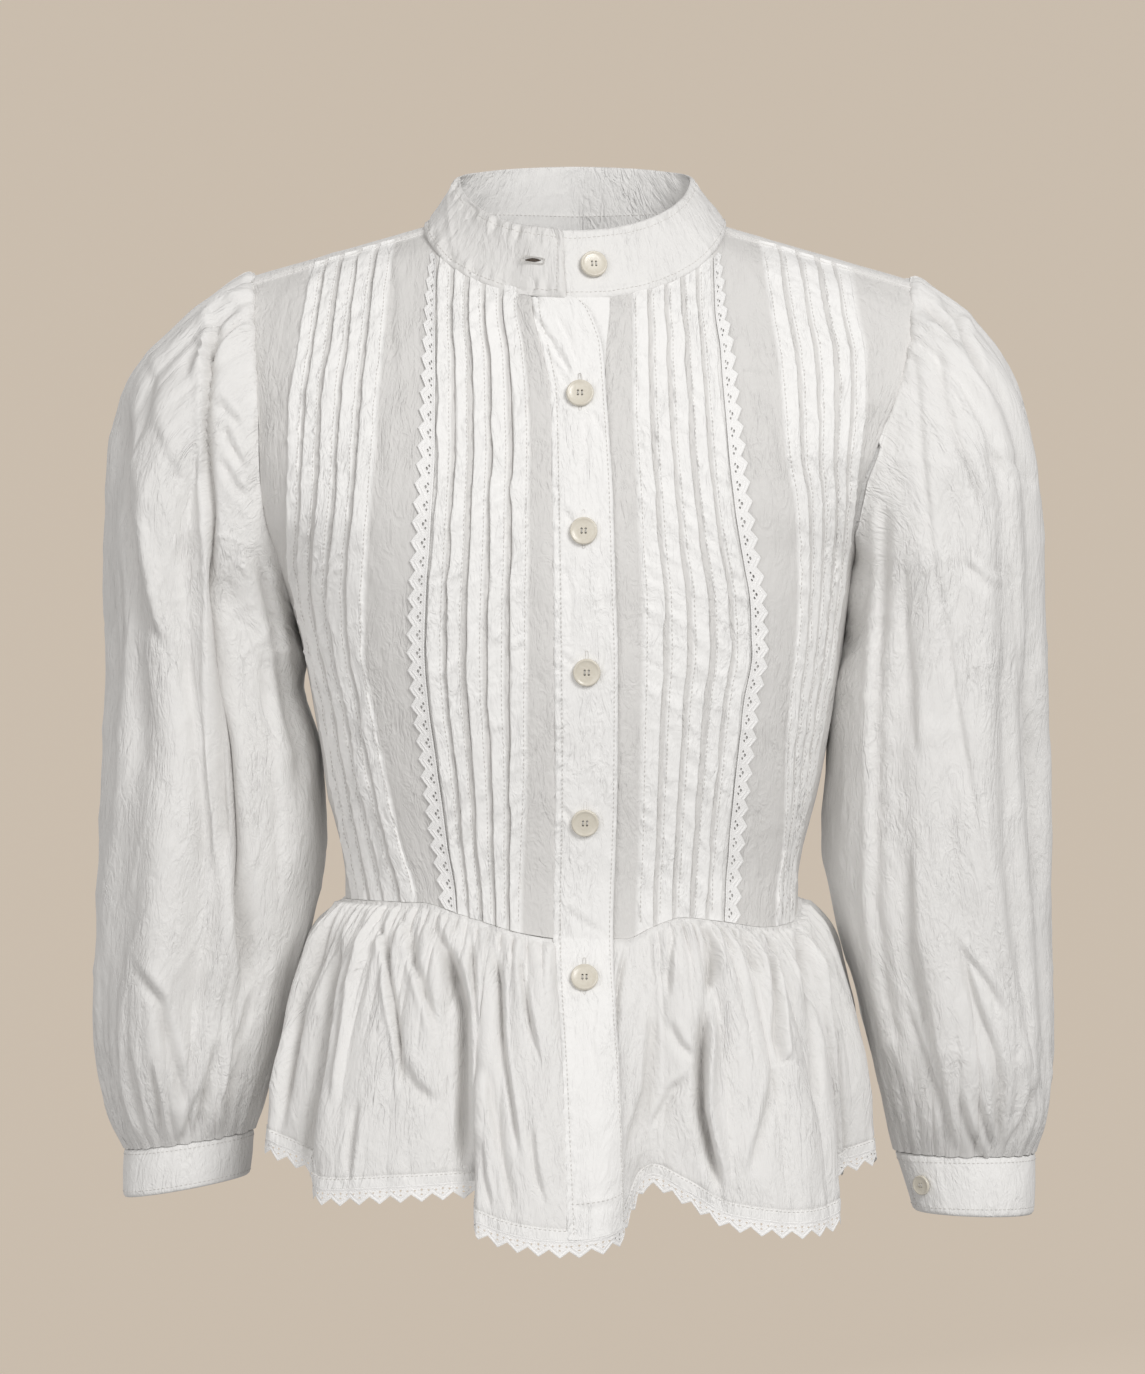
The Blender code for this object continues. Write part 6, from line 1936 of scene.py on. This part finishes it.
@dataclass
class Peplum:
    """One gathered piece of the skirt, bound at its hem and edged with lace."""

    name: str
    gathers: int
    seed: int
    creases: tuple[Crease, ...] = ()
    plain: float = 0.0
    rows: int = 84
    columns_a_gather: int = 14
    gather_height: float = 0.0060
    lift: float = 0.0
    hem_band: float = 0.0048
    hem_relief: float = 0.0006
    length: float = 0.15
    band_from: float = 0.955
    crumple: float = 0.0011
    flat: tuple[float, float] = (0.245, 0.155)

    # The gathers' share of the count, their height, how far down they reach and how sharp they are
    GATHERED = ((1.0, 1.0, 0.30, 1.0), (0.52, 1.1, 0.62, 1.2), (0.27, 1.3, 1.25, 1.3))

    def gathered(self, noise: Unevenness, way: np.ndarray, shares: np.ndarray) -> np.ndarray:
        """Works out the gathers below the waist: close and short ones, then fewer and longer ones.

        Args:
            noise: What makes them uneven.
            way: The columns' shares of the way round.
            shares: The rows' shares of the way down.

        Returns:
            Heights, about 1 where the largest stand.
        """
        wander = way + 0.35 / self.gathers * noise.at(way * self.gathers * 0.31, 2.5)
        drift = wander[None, :] + 0.010 * noise.at(wander * 9, shares * 2.2)
        total = np.zeros((len(shares), len(way)))
        for part, height, reach, sharp in self.GATHERED:
            phase = drift * (self.gathers * part)
            own = 0.55 + 0.45 * noise.at(np.floor(phase) * 7.3, 4.4 * part)
            ends = smooth(1 - shares / (reach * (0.7 + 0.6 * own)))
            starts = 1.0 if part == 1.0 else smooth(shares / (0.10 / part**0.6))
            total += height * own * ends * starts * (1.15 * gathers(phase) ** (sharp * 1.1) - 0.15)
        return total

    def build(self, start: Edge, end: Edge, finishes: Finishes) -> list[StitchRow]:
        """Makes the piece and its lace.

        Args:
            start: Gives the first edge's angle at each share of the way down.
            end: Gives the last edge's.
            finishes: The shared materials.

        Returns:
            The rows of stitches on it.
        """
        noise = Unevenness(self.seed)
        shares = np.linspace(0, 1, self.rows)
        shares = mix(shares**1.15, shares, 0.4) * self.band_from
        shares = np.concatenate((shares, np.linspace(self.band_from, 1, 14)[1:]))[:, None]
        way = np.linspace(0, 1, self.gathers * self.columns_a_gather + 1)
        angles = mix(start(shares), end(shares), way)
        grid = PEPLUM_FORM.point(angles, shares)
        quarter = math.radians(angles[-1, len(way) // 4])
        normals = normals_of(grid, False, (math.sin(quarter), -math.cos(quarter), 0))
        lies = smooth((way - self.plain) / 0.03 + 0.4) if self.plain else 1.0
        u, v, above_hem = way[None, :] * self.flat[0], shares * self.length, (1 - shares) * self.length
        relief = self.gathered(noise, way, shares) * self.gather_height * lies * smooth((v - 0.0018) / 0.0035)
        small = noise.at(u / 0.0042, 9.1 + shares * 3) * bell(above_hem - self.hem_band - 0.003, 0.006)
        relief = relief + 0.0009 * small + crumple(noise, u, v, self.crumple) * smooth(shares / 0.15)
        moved = pushed(grid, normals, self.creases) * smooth(shares / 0.03)
        relief = relief + moved + 0.0015 * bell(v - 0.0014, 0.0011)
        relief = relief - 0.0006 * bell(above_hem - self.hem_band - 0.0008, 0.0007)
        relief = relief + self.lift * (1 - smooth(way / 0.10)) * smooth(v / 0.012)
        band = smooth((self.hem_band - above_hem) / 0.0008 + 0.5)
        rolled = self.hem_relief * band * (0.7 + 0.3 * noise.at(u / 0.004 + shares * 40, 3.3))
        waist = smooth(shares / 0.006)
        sides = (1.0 if self.lift else smooth(way / 0.02)) * smooth((1 - way) / 0.02)
        stands = FACE * (0.6 + 0.4 * waist) + (relief + rolled) * mix(0.25, 1, waist) * sides
        outer = grid + normals * stands[..., None]
        inner = outer - normals * COTTON - normals * rolled[..., None]
        faces = [np.concatenate((allowance(face[0], normals[0], 0.004), face)) for face in (outer, inner)]
        # The layers carry painted shade in the deep creases; the bound hem band lies double
        layers_and_shade = mix(shaded_in_creases(SINGLE, moved, 0), 0.9, band)
        layers_and_shade = np.concatenate((layers_and_shade[:1], layers_and_shade))
        piece = shell(f"peplum_{self.name}", *faces, finishes.cotton, layers=layers_and_shade)
        dress(piece, "white_cotton", f"peplum_{self.name}")
        label, step = f"lace_hem_{self.name}", slice(None, None, 2)
        middle = (outer[-1] + inner[-1]) / 2
        down = unit(outer[-1] - outer[-4]) * np.array((1, 1, 0)) * 0.5 + np.array((0, 0, -1))
        strip = HEM_EDGING.strip(label, middle[step], down[step], normals[-1, step], finishes.lace)
        dress(strip, "cotton_lace", label)
        over = int(np.argmin(np.abs(above_hem[:, 0] - self.hem_band)))
        return [StitchRow.along(outer[over, step], normals[over, step])]


# ---------------------------------------------------------------- sleeves


@dataclass
class Sleeve:
    """A full sleeve, gathered over the shoulder and into its buttoned cuff."""

    side: Side
    table: Table
    cuff_table: Table
    armhole: Table
    folds: tuple[tuple[float, ...], ...]
    creases: tuple[Crease, ...]
    overlap: float
    seed: int
    hang: float
    hang_to: float
    columns: int = 232
    rows: int = 196
    cap_gathers: int = 15
    cap_angle: float = 72
    cuff_gathers: int = 30
    gap: float = 0.0007
    under_gap: float = 0.0031
    length: float = 0.56
    crumple: float = 0.0016
    cuff_lap: float = 24
    flat: tuple[float, float] = (0.47, 0.58)
    cuff_flat: tuple[float, float] = (0.19, 0.032)

    def seam(self, ring_angle: np.ndarray) -> tuple[np.ndarray, np.ndarray]:
        """Places on the armhole seam, 0 at the shoulder's tip and 90 in front, and how they face."""
        turn = np.radians(ring_angle)
        z = mix(self.armhole.key[-1], FORM.underarm, (1 - np.cos(turn)) / 2)
        before = FORM.armhole_angle(self.side.value, self.armhole, z)
        behind = FORM.armhole_angle(self.side.value, self.armhole, z, behind=True)
        angle = np.where(np.sin(turn) > 0, before, behind)
        return FORM.point(angle, z), FORM.normal(angle, z)

    def ring(self, table: Table, share: np.ndarray, ring_angle: np.ndarray) -> np.ndarray:
        """A place on an oval ring: 0 at its outer edge, 90 in front, 180 at its inner edge."""
        turn = np.radians(ring_angle)
        swing, sweep = (1 + np.cos(turn)) / 2, np.sin(turn)
        x = self.side.value * mix(table.read("inner", share), table.read("outer", share), swing)
        y = table.read("middle", share) - table.read("depth", share) * sweep
        z = mix(table.read("inner_z", share), table.read("outer_z", share), swing)
        return np.stack(np.broadcast_arrays(x, y, z), axis=-1)

    def fold_depth(self, share: np.ndarray, ring_angle: np.ndarray) -> np.ndarray:
        """How far the long folds push the cloth in or out."""
        total = np.zeros(np.broadcast(share, ring_angle).shape)
        for top, foot, depth, width, start, end in self.folds:
            away = turned_away(ring_angle, mix(top, foot, share))
            fades = smooth((share - start) / 0.12) * smooth((end - share) / 0.12 + 0.001)
            total += depth * np.exp(-((away / width) ** 2)) * fades
        return total

    def form(self, angles: np.ndarray, shares: np.ndarray) -> tuple[np.ndarray, np.ndarray]:
        """Works out the sleeve's form with its long folds.

        Args:
            angles: The columns' angles round it.
            shares: The rows' shares of its length.

        Returns:
            The points, and how they face.
        """
        seam, facing = self.seam(angles)
        under = smooth((np.abs(turned_away(angles, 0)) - 50) / 70)[:, None]
        seam = seam + mix(self.gap, self.under_gap, under) * np.array((self.side.value, 0, 0))
        onto = (1 - smooth(shares / 0.16))[..., None]
        grid = mix(self.ring(self.table, shares, angles), seam, onto)
        # The fullness under the arm hangs against the bodice
        inwards = bell(angles - 176, 50) * smooth((shares + 0.01) / 0.11)
        inwards = inwards * smooth((self.hang_to - shares) / 0.13)
        grid = grid - inwards[..., None] * np.array((self.side.value * self.hang, 0, 0))
        out = (0.3 * self.side.value, -1, 0)
        normals = normals_of(grid, True, out)
        grid = grid + normals * self.fold_depth(shares, angles)[..., None]
        normals = normals_of(grid, True, out)
        normals[0] = unit(mix(facing, normals[0], under))
        return grid, normals

    def gathered(self, noise: Unevenness, angles: np.ndarray, shares: np.ndarray) -> np.ndarray:
        """Works out the gathers at both ends and the soft swells between them.

        Args:
            noise: What makes them uneven.
            angles: The columns' angles round the sleeve.
            shares: The rows' shares of its length.

        Returns:
            The distance outwards at each point.
        """
        turn = np.radians(angles)

        def around(scale: float, along: float, shift: float) -> np.ndarray:
            """Noise that meets itself round the sleeve."""
            return noise.at(np.cos(turn) * scale + shift + 32, shares * along + np.sin(turn) * scale + 32)

        cap = smooth((self.cap_angle + 10 - np.abs(turned_away(angles, 0))) / 16)
        phase = (angles / (2 * self.cap_angle) * self.cap_gathers)[None, :] + 0.6 * around(2.6, 1.4, 3)
        own = 0.6 + 0.4 * noise.at(np.floor(phase) * 5.7, 1.3)
        close = own * gathers(phase) * cap * smooth(1 - shares / (0.16 + 0.16 * own))
        wide = (0.5 - 0.5 * np.cos(phase * 0.5 * math.tau)) * cap
        wide = wide * smooth(shares / 0.05) * smooth(1 - shares / 0.42)
        phase = (angles / 360 * self.cuff_gathers)[None, :] + 0.5 * around(3.1, 1.0, 11)
        own = 0.6 + 0.4 * noise.at(np.floor(phase) * 3.9, 7.7)
        at_cuff = own * gathers(phase) * smooth((shares - (0.80 - 0.10 * own)) / 0.18)
        at_cuff = at_cuff * (1 - 0.35 * smooth((shares - 0.97) / 0.03))
        swells = around(3.4, 6.0, 20) * smooth(shares / 0.1) * smooth((1 - shares) / 0.1)
        return 0.0032 * close + 0.0026 * wide + 0.0030 * at_cuff + 0.0024 * swells

    def build(self, finishes: Finishes) -> list[StitchRow]:
        """Makes the sleeve and its cuff.

        Args:
            finishes: The shared materials.

        Returns:
            The rows of stitches on them.
        """
        label = self.side.name.lower()
        noise = Unevenness(self.seed)
        step = np.linspace(0, 1, self.columns, endpoint=False)
        # The columns lie closer together in front, where the long folds are
        angles = 360 * step - 36 * (np.sin((step - 0.336) * math.tau) + math.sin(0.336 * math.tau))
        shares = np.linspace(0, 1, self.rows)[:, None]
        shares = mix(shares**1.25, shares, 0.35)
        grid, normals = self.form(angles, shares)
        u, v = angles[None, :] / 360 * self.flat[0], shares * self.length
        relief = crumple(noise, u, v, self.crumple) * smooth(shares / 0.06) * smooth((1 - shares) / 0.05)
        moved = pushed(grid, normals, self.creases)
        relief = self.gathered(noise, angles, shares) + relief + moved
        relief = relief * mix(0.45, 1.0, smooth(shares / 0.02))
        outer = grid + normals * (FACE + relief + 0.0010 * bell(v - 0.0035, 0.0014))[..., None]
        inner = outer - normals * COTTON
        outer, inner = (np.concatenate((self.turned_in(face), face)) for face in (outer, inner))
        # The layers carry painted shade in the deep creases
        layers = shaded_in_creases(SINGLE, moved, 2)
        piece = shell(f"sleeve_{label}", outer, inner, finishes.cotton, wrap=True, layers=layers)
        dress(piece, "white_cotton", f"sleeve_{label}")
        self.flat[0] * self.flat[1] * 0.86
        return self.build_cuff(label, noise, finishes)

    def turned_in(self, face: np.ndarray) -> np.ndarray:
        """The seam allowance, which runs on under the bodice's edge."""
        towards = np.array((-self.side.value, 0, 0))
        return np.stack([face[0] + towards * step for step in (0.0035, 0.0015)]) * (1, 0.985, 1)

    def build_cuff(self, label: str, noise: Unevenness, finishes: Finishes) -> list[StitchRow]:
        """Makes the cuff, whose upper end laps over the lower one, and says where it is sewn."""
        angles = np.linspace(0, 360, 220, endpoint=False)
        shares = np.linspace(0, 1, 26)[:, None]
        grid = self.ring(self.cuff_table, shares, angles[None, :])
        normals = normals_of(grid, True, (self.side.value, 0, 0))
        away = turned_away(angles, self.overlap)
        lap = 0.0009 * smooth((self.cuff_lap - away) / 3) * smooth((away + self.cuff_lap) / 8)
        width, length = self.cuff_flat
        u, v = angles[None, :] / 360 * width, shares * length
        rim = np.minimum(v, length - v)
        puckers = noise.at(u / 0.0045, v / 0.02) * bell(rim - 0.003, 0.004)
        relief = lap + 0.0005 * puckers + crumple(noise, u + 2, v, 0.0006)
        rounded = 0.0009 * (1 - np.clip(rim / 0.0016, 0, 1)) ** 2
        outer = grid + normals * (0.0016 + relief * smooth(rim / 0.002) - rounded)[..., None]
        inner = grid + normals * (UNDERSIDE + 0.3 * rounded)[..., None]
        piece = shell(f"cuff_{label}", outer, inner, finishes.cotton, wrap=True, layers=0.85)
        dress(piece, "white_cotton", f"cuff_{label}")
        rows = [StitchRow.along(np.roll(outer[k], 5, 0), np.roll(normals[k], 5, 0)) for k in (3, 22)]
        end = int(np.argmin(np.abs(away - self.cuff_lap)))
        rows.append(StitchRow.along(outer[3:22, end - 3], normals[3:22, end - 3]))
        return rows


# ---------------------------------------------------------------- buttons


@dataclass(frozen=True)
class Button:
    """A turned shell button with a raised rim, a dish and four holes, sewn on with thread."""

    radius: float = 0.0075
    height: float = 0.0030
    rim: float = 0.0009
    dish: float = 0.0006
    hole: float = 0.00062
    hole_spread: float = 0.0011
    hole_steps: int = 12
    steps: int = 48

    def mesh(self) -> bpy.types.Mesh:
        """Makes the button lying on its back at the origin, facing +Z."""
        made = bmesh.new()
        low, top = self.height - self.dish, self.height
        outer = self.radius
        profile = (
            (outer * 0.50, low),
            (outer - 2.4 * self.rim, low + 0.0001),
            (outer - 1.7 * self.rim, low + self.dish * 0.45),
            (outer - 1.2 * self.rim, top - 0.0001),
            (outer - 0.7 * self.rim, top),
            (outer - 0.25 * self.rim, top - 0.0003),
            (outer, top - 0.0010),
            (outer - 0.1 * self.rim, 0.0009),
            (outer - 0.9 * self.rim, 0.0001),
            (outer * 0.50, 0.0),
        )

        def circle(x: float, y: float, z: float, radius: float, steps: int) -> list[bmesh.types.BMVert]:
            """A ring of points."""
            turn = np.linspace(0, math.tau, steps, endpoint=False)
            return [made.verts.new((x + radius * math.cos(a), y + radius * math.sin(a), z)) for a in turn]

        rings = [circle(0, 0, z, radius, self.steps) for radius, z in profile]
        for inside, outside in zip(rings[:-1], rings[1:]):
            for k in range(self.steps):
                after = (k + 1) % self.steps
                made.faces.new((inside[k], outside[k], outside[after], inside[after]))
        spread, steps = self.hole_spread, self.hole_steps
        holes = [
            [circle(x, y, z, self.hole, steps) for z in (low, 0)]
            for x, y in ((spread, spread), (-spread, spread), (-spread, -spread), (spread, -spread))
        ]
        for upper, lower in holes:
            for k in range(steps):
                after = (k + 1) % steps
                made.faces.new((upper[k], lower[k], lower[after], upper[after]))
        for ring, level in ((rings[0], 0), (rings[-1], 1)):
            loops = [ring] + [hole[level] for hole in holes]
            pairs = [pair for loop in loops for pair in zip(loop, loop[1:] + loop[:1])]
            edges = [made.edges.get(pair) for pair in pairs]
            bmesh.ops.triangle_fill(made, edges=edges, use_beauty=True, use_dissolve=False)
        bmesh.ops.recalc_face_normals(made, faces=made.faces)
        mesh = bpy.data.meshes.new("button")
        made.to_mesh(mesh)
        made.free()
        mesh.polygons.foreach_set("use_smooth", np.ones(len(mesh.polygons), bool))
        mesh.set_sharp_from_angle(angle=math.radians(50))
        return mesh

    def place(self, name: str, finishes: Finishes) -> None:
        """Puts a button where the node of its name is, with its thread."""
        turn, scale = FRAMES[name]
        piece = add_object(name, self.mesh(), finishes.shell)
        piece.data.transform(turn @ Matrix.Scale(scale, 4))
        dress(piece, "shell_button", name)
        # Two strands of thread run from hole to hole on each side
        arc, foot = np.linspace(-1, 1, 9), self.height - self.dish - 0.0006
        strands = [side * self.hole_spread + off for side in (-1, 1) for off in (-0.00018, 0.00018)]
        runs = [[(x, self.hole_spread * a, foot + 0.0010 * (1 - a**4)) for a in arc] for x in strands]
        points = [np.array([turn @ Vector([c * scale for c in place]) for place in run]) for run in runs]
        up = np.array((turn.to_3x3() @ Vector((0, 0, 1)))[:])
        rows = [StitchRow(run, np.tile(up, (len(run), 1))) for run in points]
        thread = Seamstress(length=0.0006, thickness=0.00034, pitch=0.00035)
        thread.sew(f"{name}_thread", rows, finishes.thread, "white_cotton")


def button_frame(name: str) -> tuple[Matrix, float]:
    """Finds how a packed button lies: its back's middle, the way it faces and its scale.

    Args:
        name: The button's node.

    Returns:
        A matrix that lays a button there, and its scale.
    """
    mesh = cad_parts[name].data
    points = np.array([v.co for v in mesh.vertices])
    middle = points.mean(axis=0)
    _, _, axes = np.linalg.svd(points - middle, full_matrices=False)
    out = axes[2]
    guess = middle - np.array(OUT_FROM[name])
    out = out * np.sign(out @ guess)
    levels = (points - middle) @ out
    back = middle + out * levels.min()
    across = points - middle - np.outer(levels, out)
    radius = np.linalg.norm(across, axis=1).max()
    up = np.array((0, 0, 1.0))
    side = unit(np.cross(up, out))
    up = np.cross(out, side)
    turn = Matrix((side, up, out)).transposed().to_4x4()
    turn.translation = Vector(back)
    return turn, float(radius / Button.radius)


@dataclass(frozen=True)
class Buttonhole:
    """A worked buttonhole: a slit between two close rows of thread, with a bar at each end."""

    length: float = 0.0215
    width: float = 0.0017

    def rows(self, middle: np.ndarray, along: np.ndarray, facing: np.ndarray) -> list[StitchRow]:
        """The runs of thread round the slit.

        Args:
            middle: The slit's middle.
            along: The way it runs.
            facing: The way the cloth faces.

        Returns:
            The rows to sew closely.
        """
        side = np.cross(facing, along)
        turn = np.linspace(0, math.tau, 60)
        x = np.sign(np.cos(turn)) * np.abs(np.cos(turn)) ** 0.35 * self.length / 2
        y = np.sign(np.sin(turn)) * np.abs(np.sin(turn)) ** 0.35 * self.width / 2
        points = middle + np.outer(x, along) + np.outer(y, side) + facing * 0.0002
        return [StitchRow(points, np.tile(facing, (len(points), 1)))]


# ---------------------------------------------------------------- studio


@dataclass(frozen=True)
class Studio:
    """Beige paper that curves up all round, and the soft light of the picture."""

    paper_radius: float = 7.0
    flat_radius: float = 3.4
    wall_height: float = 6.0
    world: tuple[float, float, float, float] = (1.0, 0.97, 0.945, 1)
    world_strength: float = 0.36
    key_power: float = 64
    key_size: float = 1.4
    key_place: tuple[float, float, float] = (1.45, -2.7, 1.35)
    fill_power: float = 30
    fill_size: float = 2.6
    fill_place: tuple[float, float, float] = (-1.6, -2.9, 0.1)
    rear_power: float = 45
    rear_size: float = 2.4
    rear_place: tuple[float, float, float] = (-0.8, 2.9, 0.9)

    def build(self) -> None:
        """Makes the paper, the lights, the world and the camera."""
        self.paper()
        self.light("key", self.key_power, self.key_size, self.key_place)
        self.light("fill", self.fill_power, self.fill_size, self.fill_place)
        self.light("rear", self.rear_power, self.rear_size, self.rear_place)
        world = bpy.data.worlds.new("studio")
        bpy.context.scene.world = world
        world.use_nodes = True
        background = world.node_tree.nodes["Background"]
        background.inputs["Color"].default_value = self.world
        background.inputs["Strength"].default_value = self.world_strength
        camera = bpy.data.cameras.new("camera")
        camera.lens = CAMERA_LENS
        camera.sensor_width = SENSOR
        holder = bpy.data.objects.new("camera", camera)
        holder.location = CAMERA_PLACE
        holder.rotation_euler = (math.radians(90), 0, 0)
        bpy.context.scene.collection.objects.link(holder)
        bpy.context.scene.camera = holder
        bpy.context.scene.view_settings.view_transform = "Standard"

    def paper(self) -> None:
        """Makes a wide round floor whose edge rises on every side."""
        profile = [(self.flat_radius * k / 4, 0.0) for k in range(5)]
        bend = self.paper_radius - self.flat_radius
        for turn in np.linspace(0.1, 1, 12) * math.pi / 2:
            profile.append((self.flat_radius + bend * math.sin(turn), bend * (1 - math.cos(turn))))
        profile.append((self.paper_radius, self.wall_height))
        around = np.linspace(0, math.tau, 97)[:, None]
        r, z = np.array(profile).T + np.array((0, FLOOR_HEIGHT))[:, None]
        grid = np.stack(np.broadcast_arrays(r * np.cos(around), r * np.sin(around), z), axis=-1)
        quads, points = grid_quads(*grid.shape[:2])[:, ::-1], grid.reshape(-1, 3)
        mesh = quad_mesh("paper", points, quads, points[quads][..., :2])
        floor = add_object("paper", mesh, PaperFinish().build())
        floor.visible_diffuse = floor.visible_glossy = floor.visible_shadow = False

    def light(self, name: str, power: float, size: float, place: tuple[float, float, float]) -> None:
        """Adds a soft square light that looks at the blouse."""
        lamp = bpy.data.lights.new(name, "AREA")
        lamp.energy = power
        lamp.size = size
        holder = bpy.data.objects.new(name, lamp)
        holder.location = place
        look = Vector((0, 0, -0.25)) - Vector(place)
        holder.rotation_euler = look.to_track_quat("-Z", "Y").to_euler()
        bpy.context.scene.collection.objects.link(holder)


# ---------------------------------------------------------------- the blouse


@dataclass
class Blouse:
    """The whole garment, piece by piece."""

    finishes: Finishes
    sewing: Seamstress = Seamstress()
    under_margin: float = 0.0055

    def bodice(self) -> None:
        """Makes the fronts, back, bands and collar."""
        right = Front(Side.RIGHT, RIGHT_LINES, RIGHT_ARMHOLE, FRONT_CREASES, 101, lift=0.0025)
        left = Front(Side.LEFT, LEFT_LINES, LEFT_ARMHOLE, FRONT_CREASES, 202, tuck_height=0.0008)
        for front in (right, left):
            name = f"front_{front.side.name.lower()}"
            rows = front.build(name, self.finishes)
            self.sewing.sew(f"stitching_{name}", rows, self.finishes.thread, "white_cotton")
        rows = Back(BACK_CREASES).build(self.finishes)
        rows += Plackets().build(self.finishes)
        rows += Collar().build(self.finishes)
        self.sewing.sew("stitching_bands", rows, self.finishes.thread, "white_cotton")

    def skirt(self) -> None:
        """Makes the three gathered pieces below the waist."""
        waist, hem = WAIST_SEAM.read("height", 0.0), HEM.read("height", 0.0)

        def over_edge(shares: np.ndarray) -> np.ndarray:
            """Along the upper band's seam."""
            return PEPLUM_FORM.angle_across(PLACKET.read("seam", mix(waist, hem, shares)) + 0.0015, shares)

        def under_edge(shares: np.ndarray) -> np.ndarray:
            """Under the upper band's free edge."""
            x = PLACKET.read("edge", mix(waist, hem, shares)) - self.under_margin
            return PEPLUM_FORM.angle_across(x, shares)

        def at(angle: float) -> Edge:
            """Straight down at an angle."""
            return lambda shares: angle + 0 * shares

        right = Peplum("right", 30, 61, RIGHT_PEPLUM_CREASES, lift=0.0020)
        back = Peplum("back", 58, 62, (), rows=78, columns_a_gather=7, flat=(0.44, 0.155))
        left = Peplum("left", 28, 63, LEFT_PEPLUM_CREASES, plain=0.13)
        rows = right.build(over_edge, at(-89.94), self.finishes)
        rows += back.build(at(-90.06), at(-269.94), self.finishes)
        rows += left.build(under_edge, at(89.94), self.finishes)
        self.sewing.sew("stitching_hem", rows, self.finishes.thread, "white_cotton")

    def arms(self) -> None:
        """Makes both sleeves with their cuffs."""
        right = Sleeve(
            Side.RIGHT, RIGHT_SLEEVE, RIGHT_CUFF, RIGHT_ARMHOLE, RIGHT_SLEEVE_FOLDS, RIGHT_SLEEVE_CREASES,
            overlap=215, seed=71, hang=0.0125, hang_to=0.48,
        )
        left = Sleeve(
            Side.LEFT, LEFT_SLEEVE, LEFT_CUFF, LEFT_ARMHOLE, LEFT_SLEEVE_FOLDS, LEFT_SLEEVE_CREASES,
            overlap=138, seed=72, hang=0.0105, hang_to=0.57,
        )
        rows = right.build(self.finishes) + left.build(self.finishes)
        self.sewing.sew("stitching_cuffs", rows, self.finishes.thread, "white_cotton")

    def collar_hole(self) -> list[StitchRow]:
        """Lays a dark sheet of painted shade for the slit near the collar's lapping end, and gives the thread
        round it.
        """
        angle, share = np.array((-17.3, -17.2)), np.array((0.47, 0.47))
        middle, beside = Collar().point(angle, share)
        along = unit(beside - middle)
        up = unit(Collar().point(angle[:1], share[:1] + 0.1)[0] - middle)
        out = unit(np.cross(along, up))
        middle = middle + out * 0.0042
        s, t = np.meshgrid(np.linspace(-1, 1, 17), np.linspace(-1, 1, 5))
        x, y = s * 0.0048, t * 0.0011 * (1 - s**2) + 0.0005 * s
        face = middle + x[..., None] * along + y[..., None] * up
        # Painted shade: a thin dark sheet laid on the collar stands for the shadow inside the slit
        piece = shell("collar_slit_shade", face, face - out * 0.0012, SHADE_FINISH.build(), layers=0.0)
        dress(piece, "white_cotton")
        holes = (Buttonhole(length=0.0128, width=0.0028), Buttonhole(length=0.0140, width=0.0040))
        return [row for hole in holes for row in hole.rows(middle, along, out)]

    def buttons(self) -> None:
        """Puts the buttons on and works their holes."""
        holes = []
        for name in OUT_FROM:
            Button().place(name, self.finishes)
            if name.startswith("button_cuff"):
                continue
            turn, _ = FRAMES[name]
            out = np.array((turn.to_3x3() @ Vector((0, 0, 1)))[:])
            up = np.array((turn.to_3x3() @ Vector((0, 1, 0)))[:])
            middle = np.array(turn.translation[:])
            if name != "button_collar":
                holes += Buttonhole().rows(middle + up * 0.0012, up, out)
        holes += self.collar_hole()
        close = Seamstress(length=0.0009, thickness=0.0004, pitch=0.0005)
        close.sew("buttonholes", holes, self.finishes.thread, "white_cotton")


# Each packed button, and a place behind it that it faces away from
OUT_FROM = {
    "button_collar": (0.0, 0.0, -0.03),
    "button_1": (0.0, 0.0, -0.0998),
    "button_2": (0.0, 0.0, -0.1762),
    "button_3": (0.0, 0.0, -0.2534),
    "button_4": (0.0, 0.0, -0.3365),
    "button_5": (0.0, 0.0, -0.4254),
    "button_cuff_right": (-0.227, 0.015, -0.546),
    "button_cuff_left": (0.231, 0.010, -0.550),
}
FRAMES = {name: button_frame(name) for name in OUT_FROM}


def main() -> None:
    """Builds the blouse and its studio."""
    logging.basicConfig(level=logging.INFO, format="%(message)s")
    finishes = Finishes(
        CottonFinish().build(), LaceFinish().build(), ShellFinish().build(), THREAD_FINISH.build()
    )
    blouse = Blouse(finishes)
    blouse.bodice()
    blouse.skirt()
    blouse.arms()
    blouse.buttons()
    Studio().build()


if __name__ == "__main__":
    main()
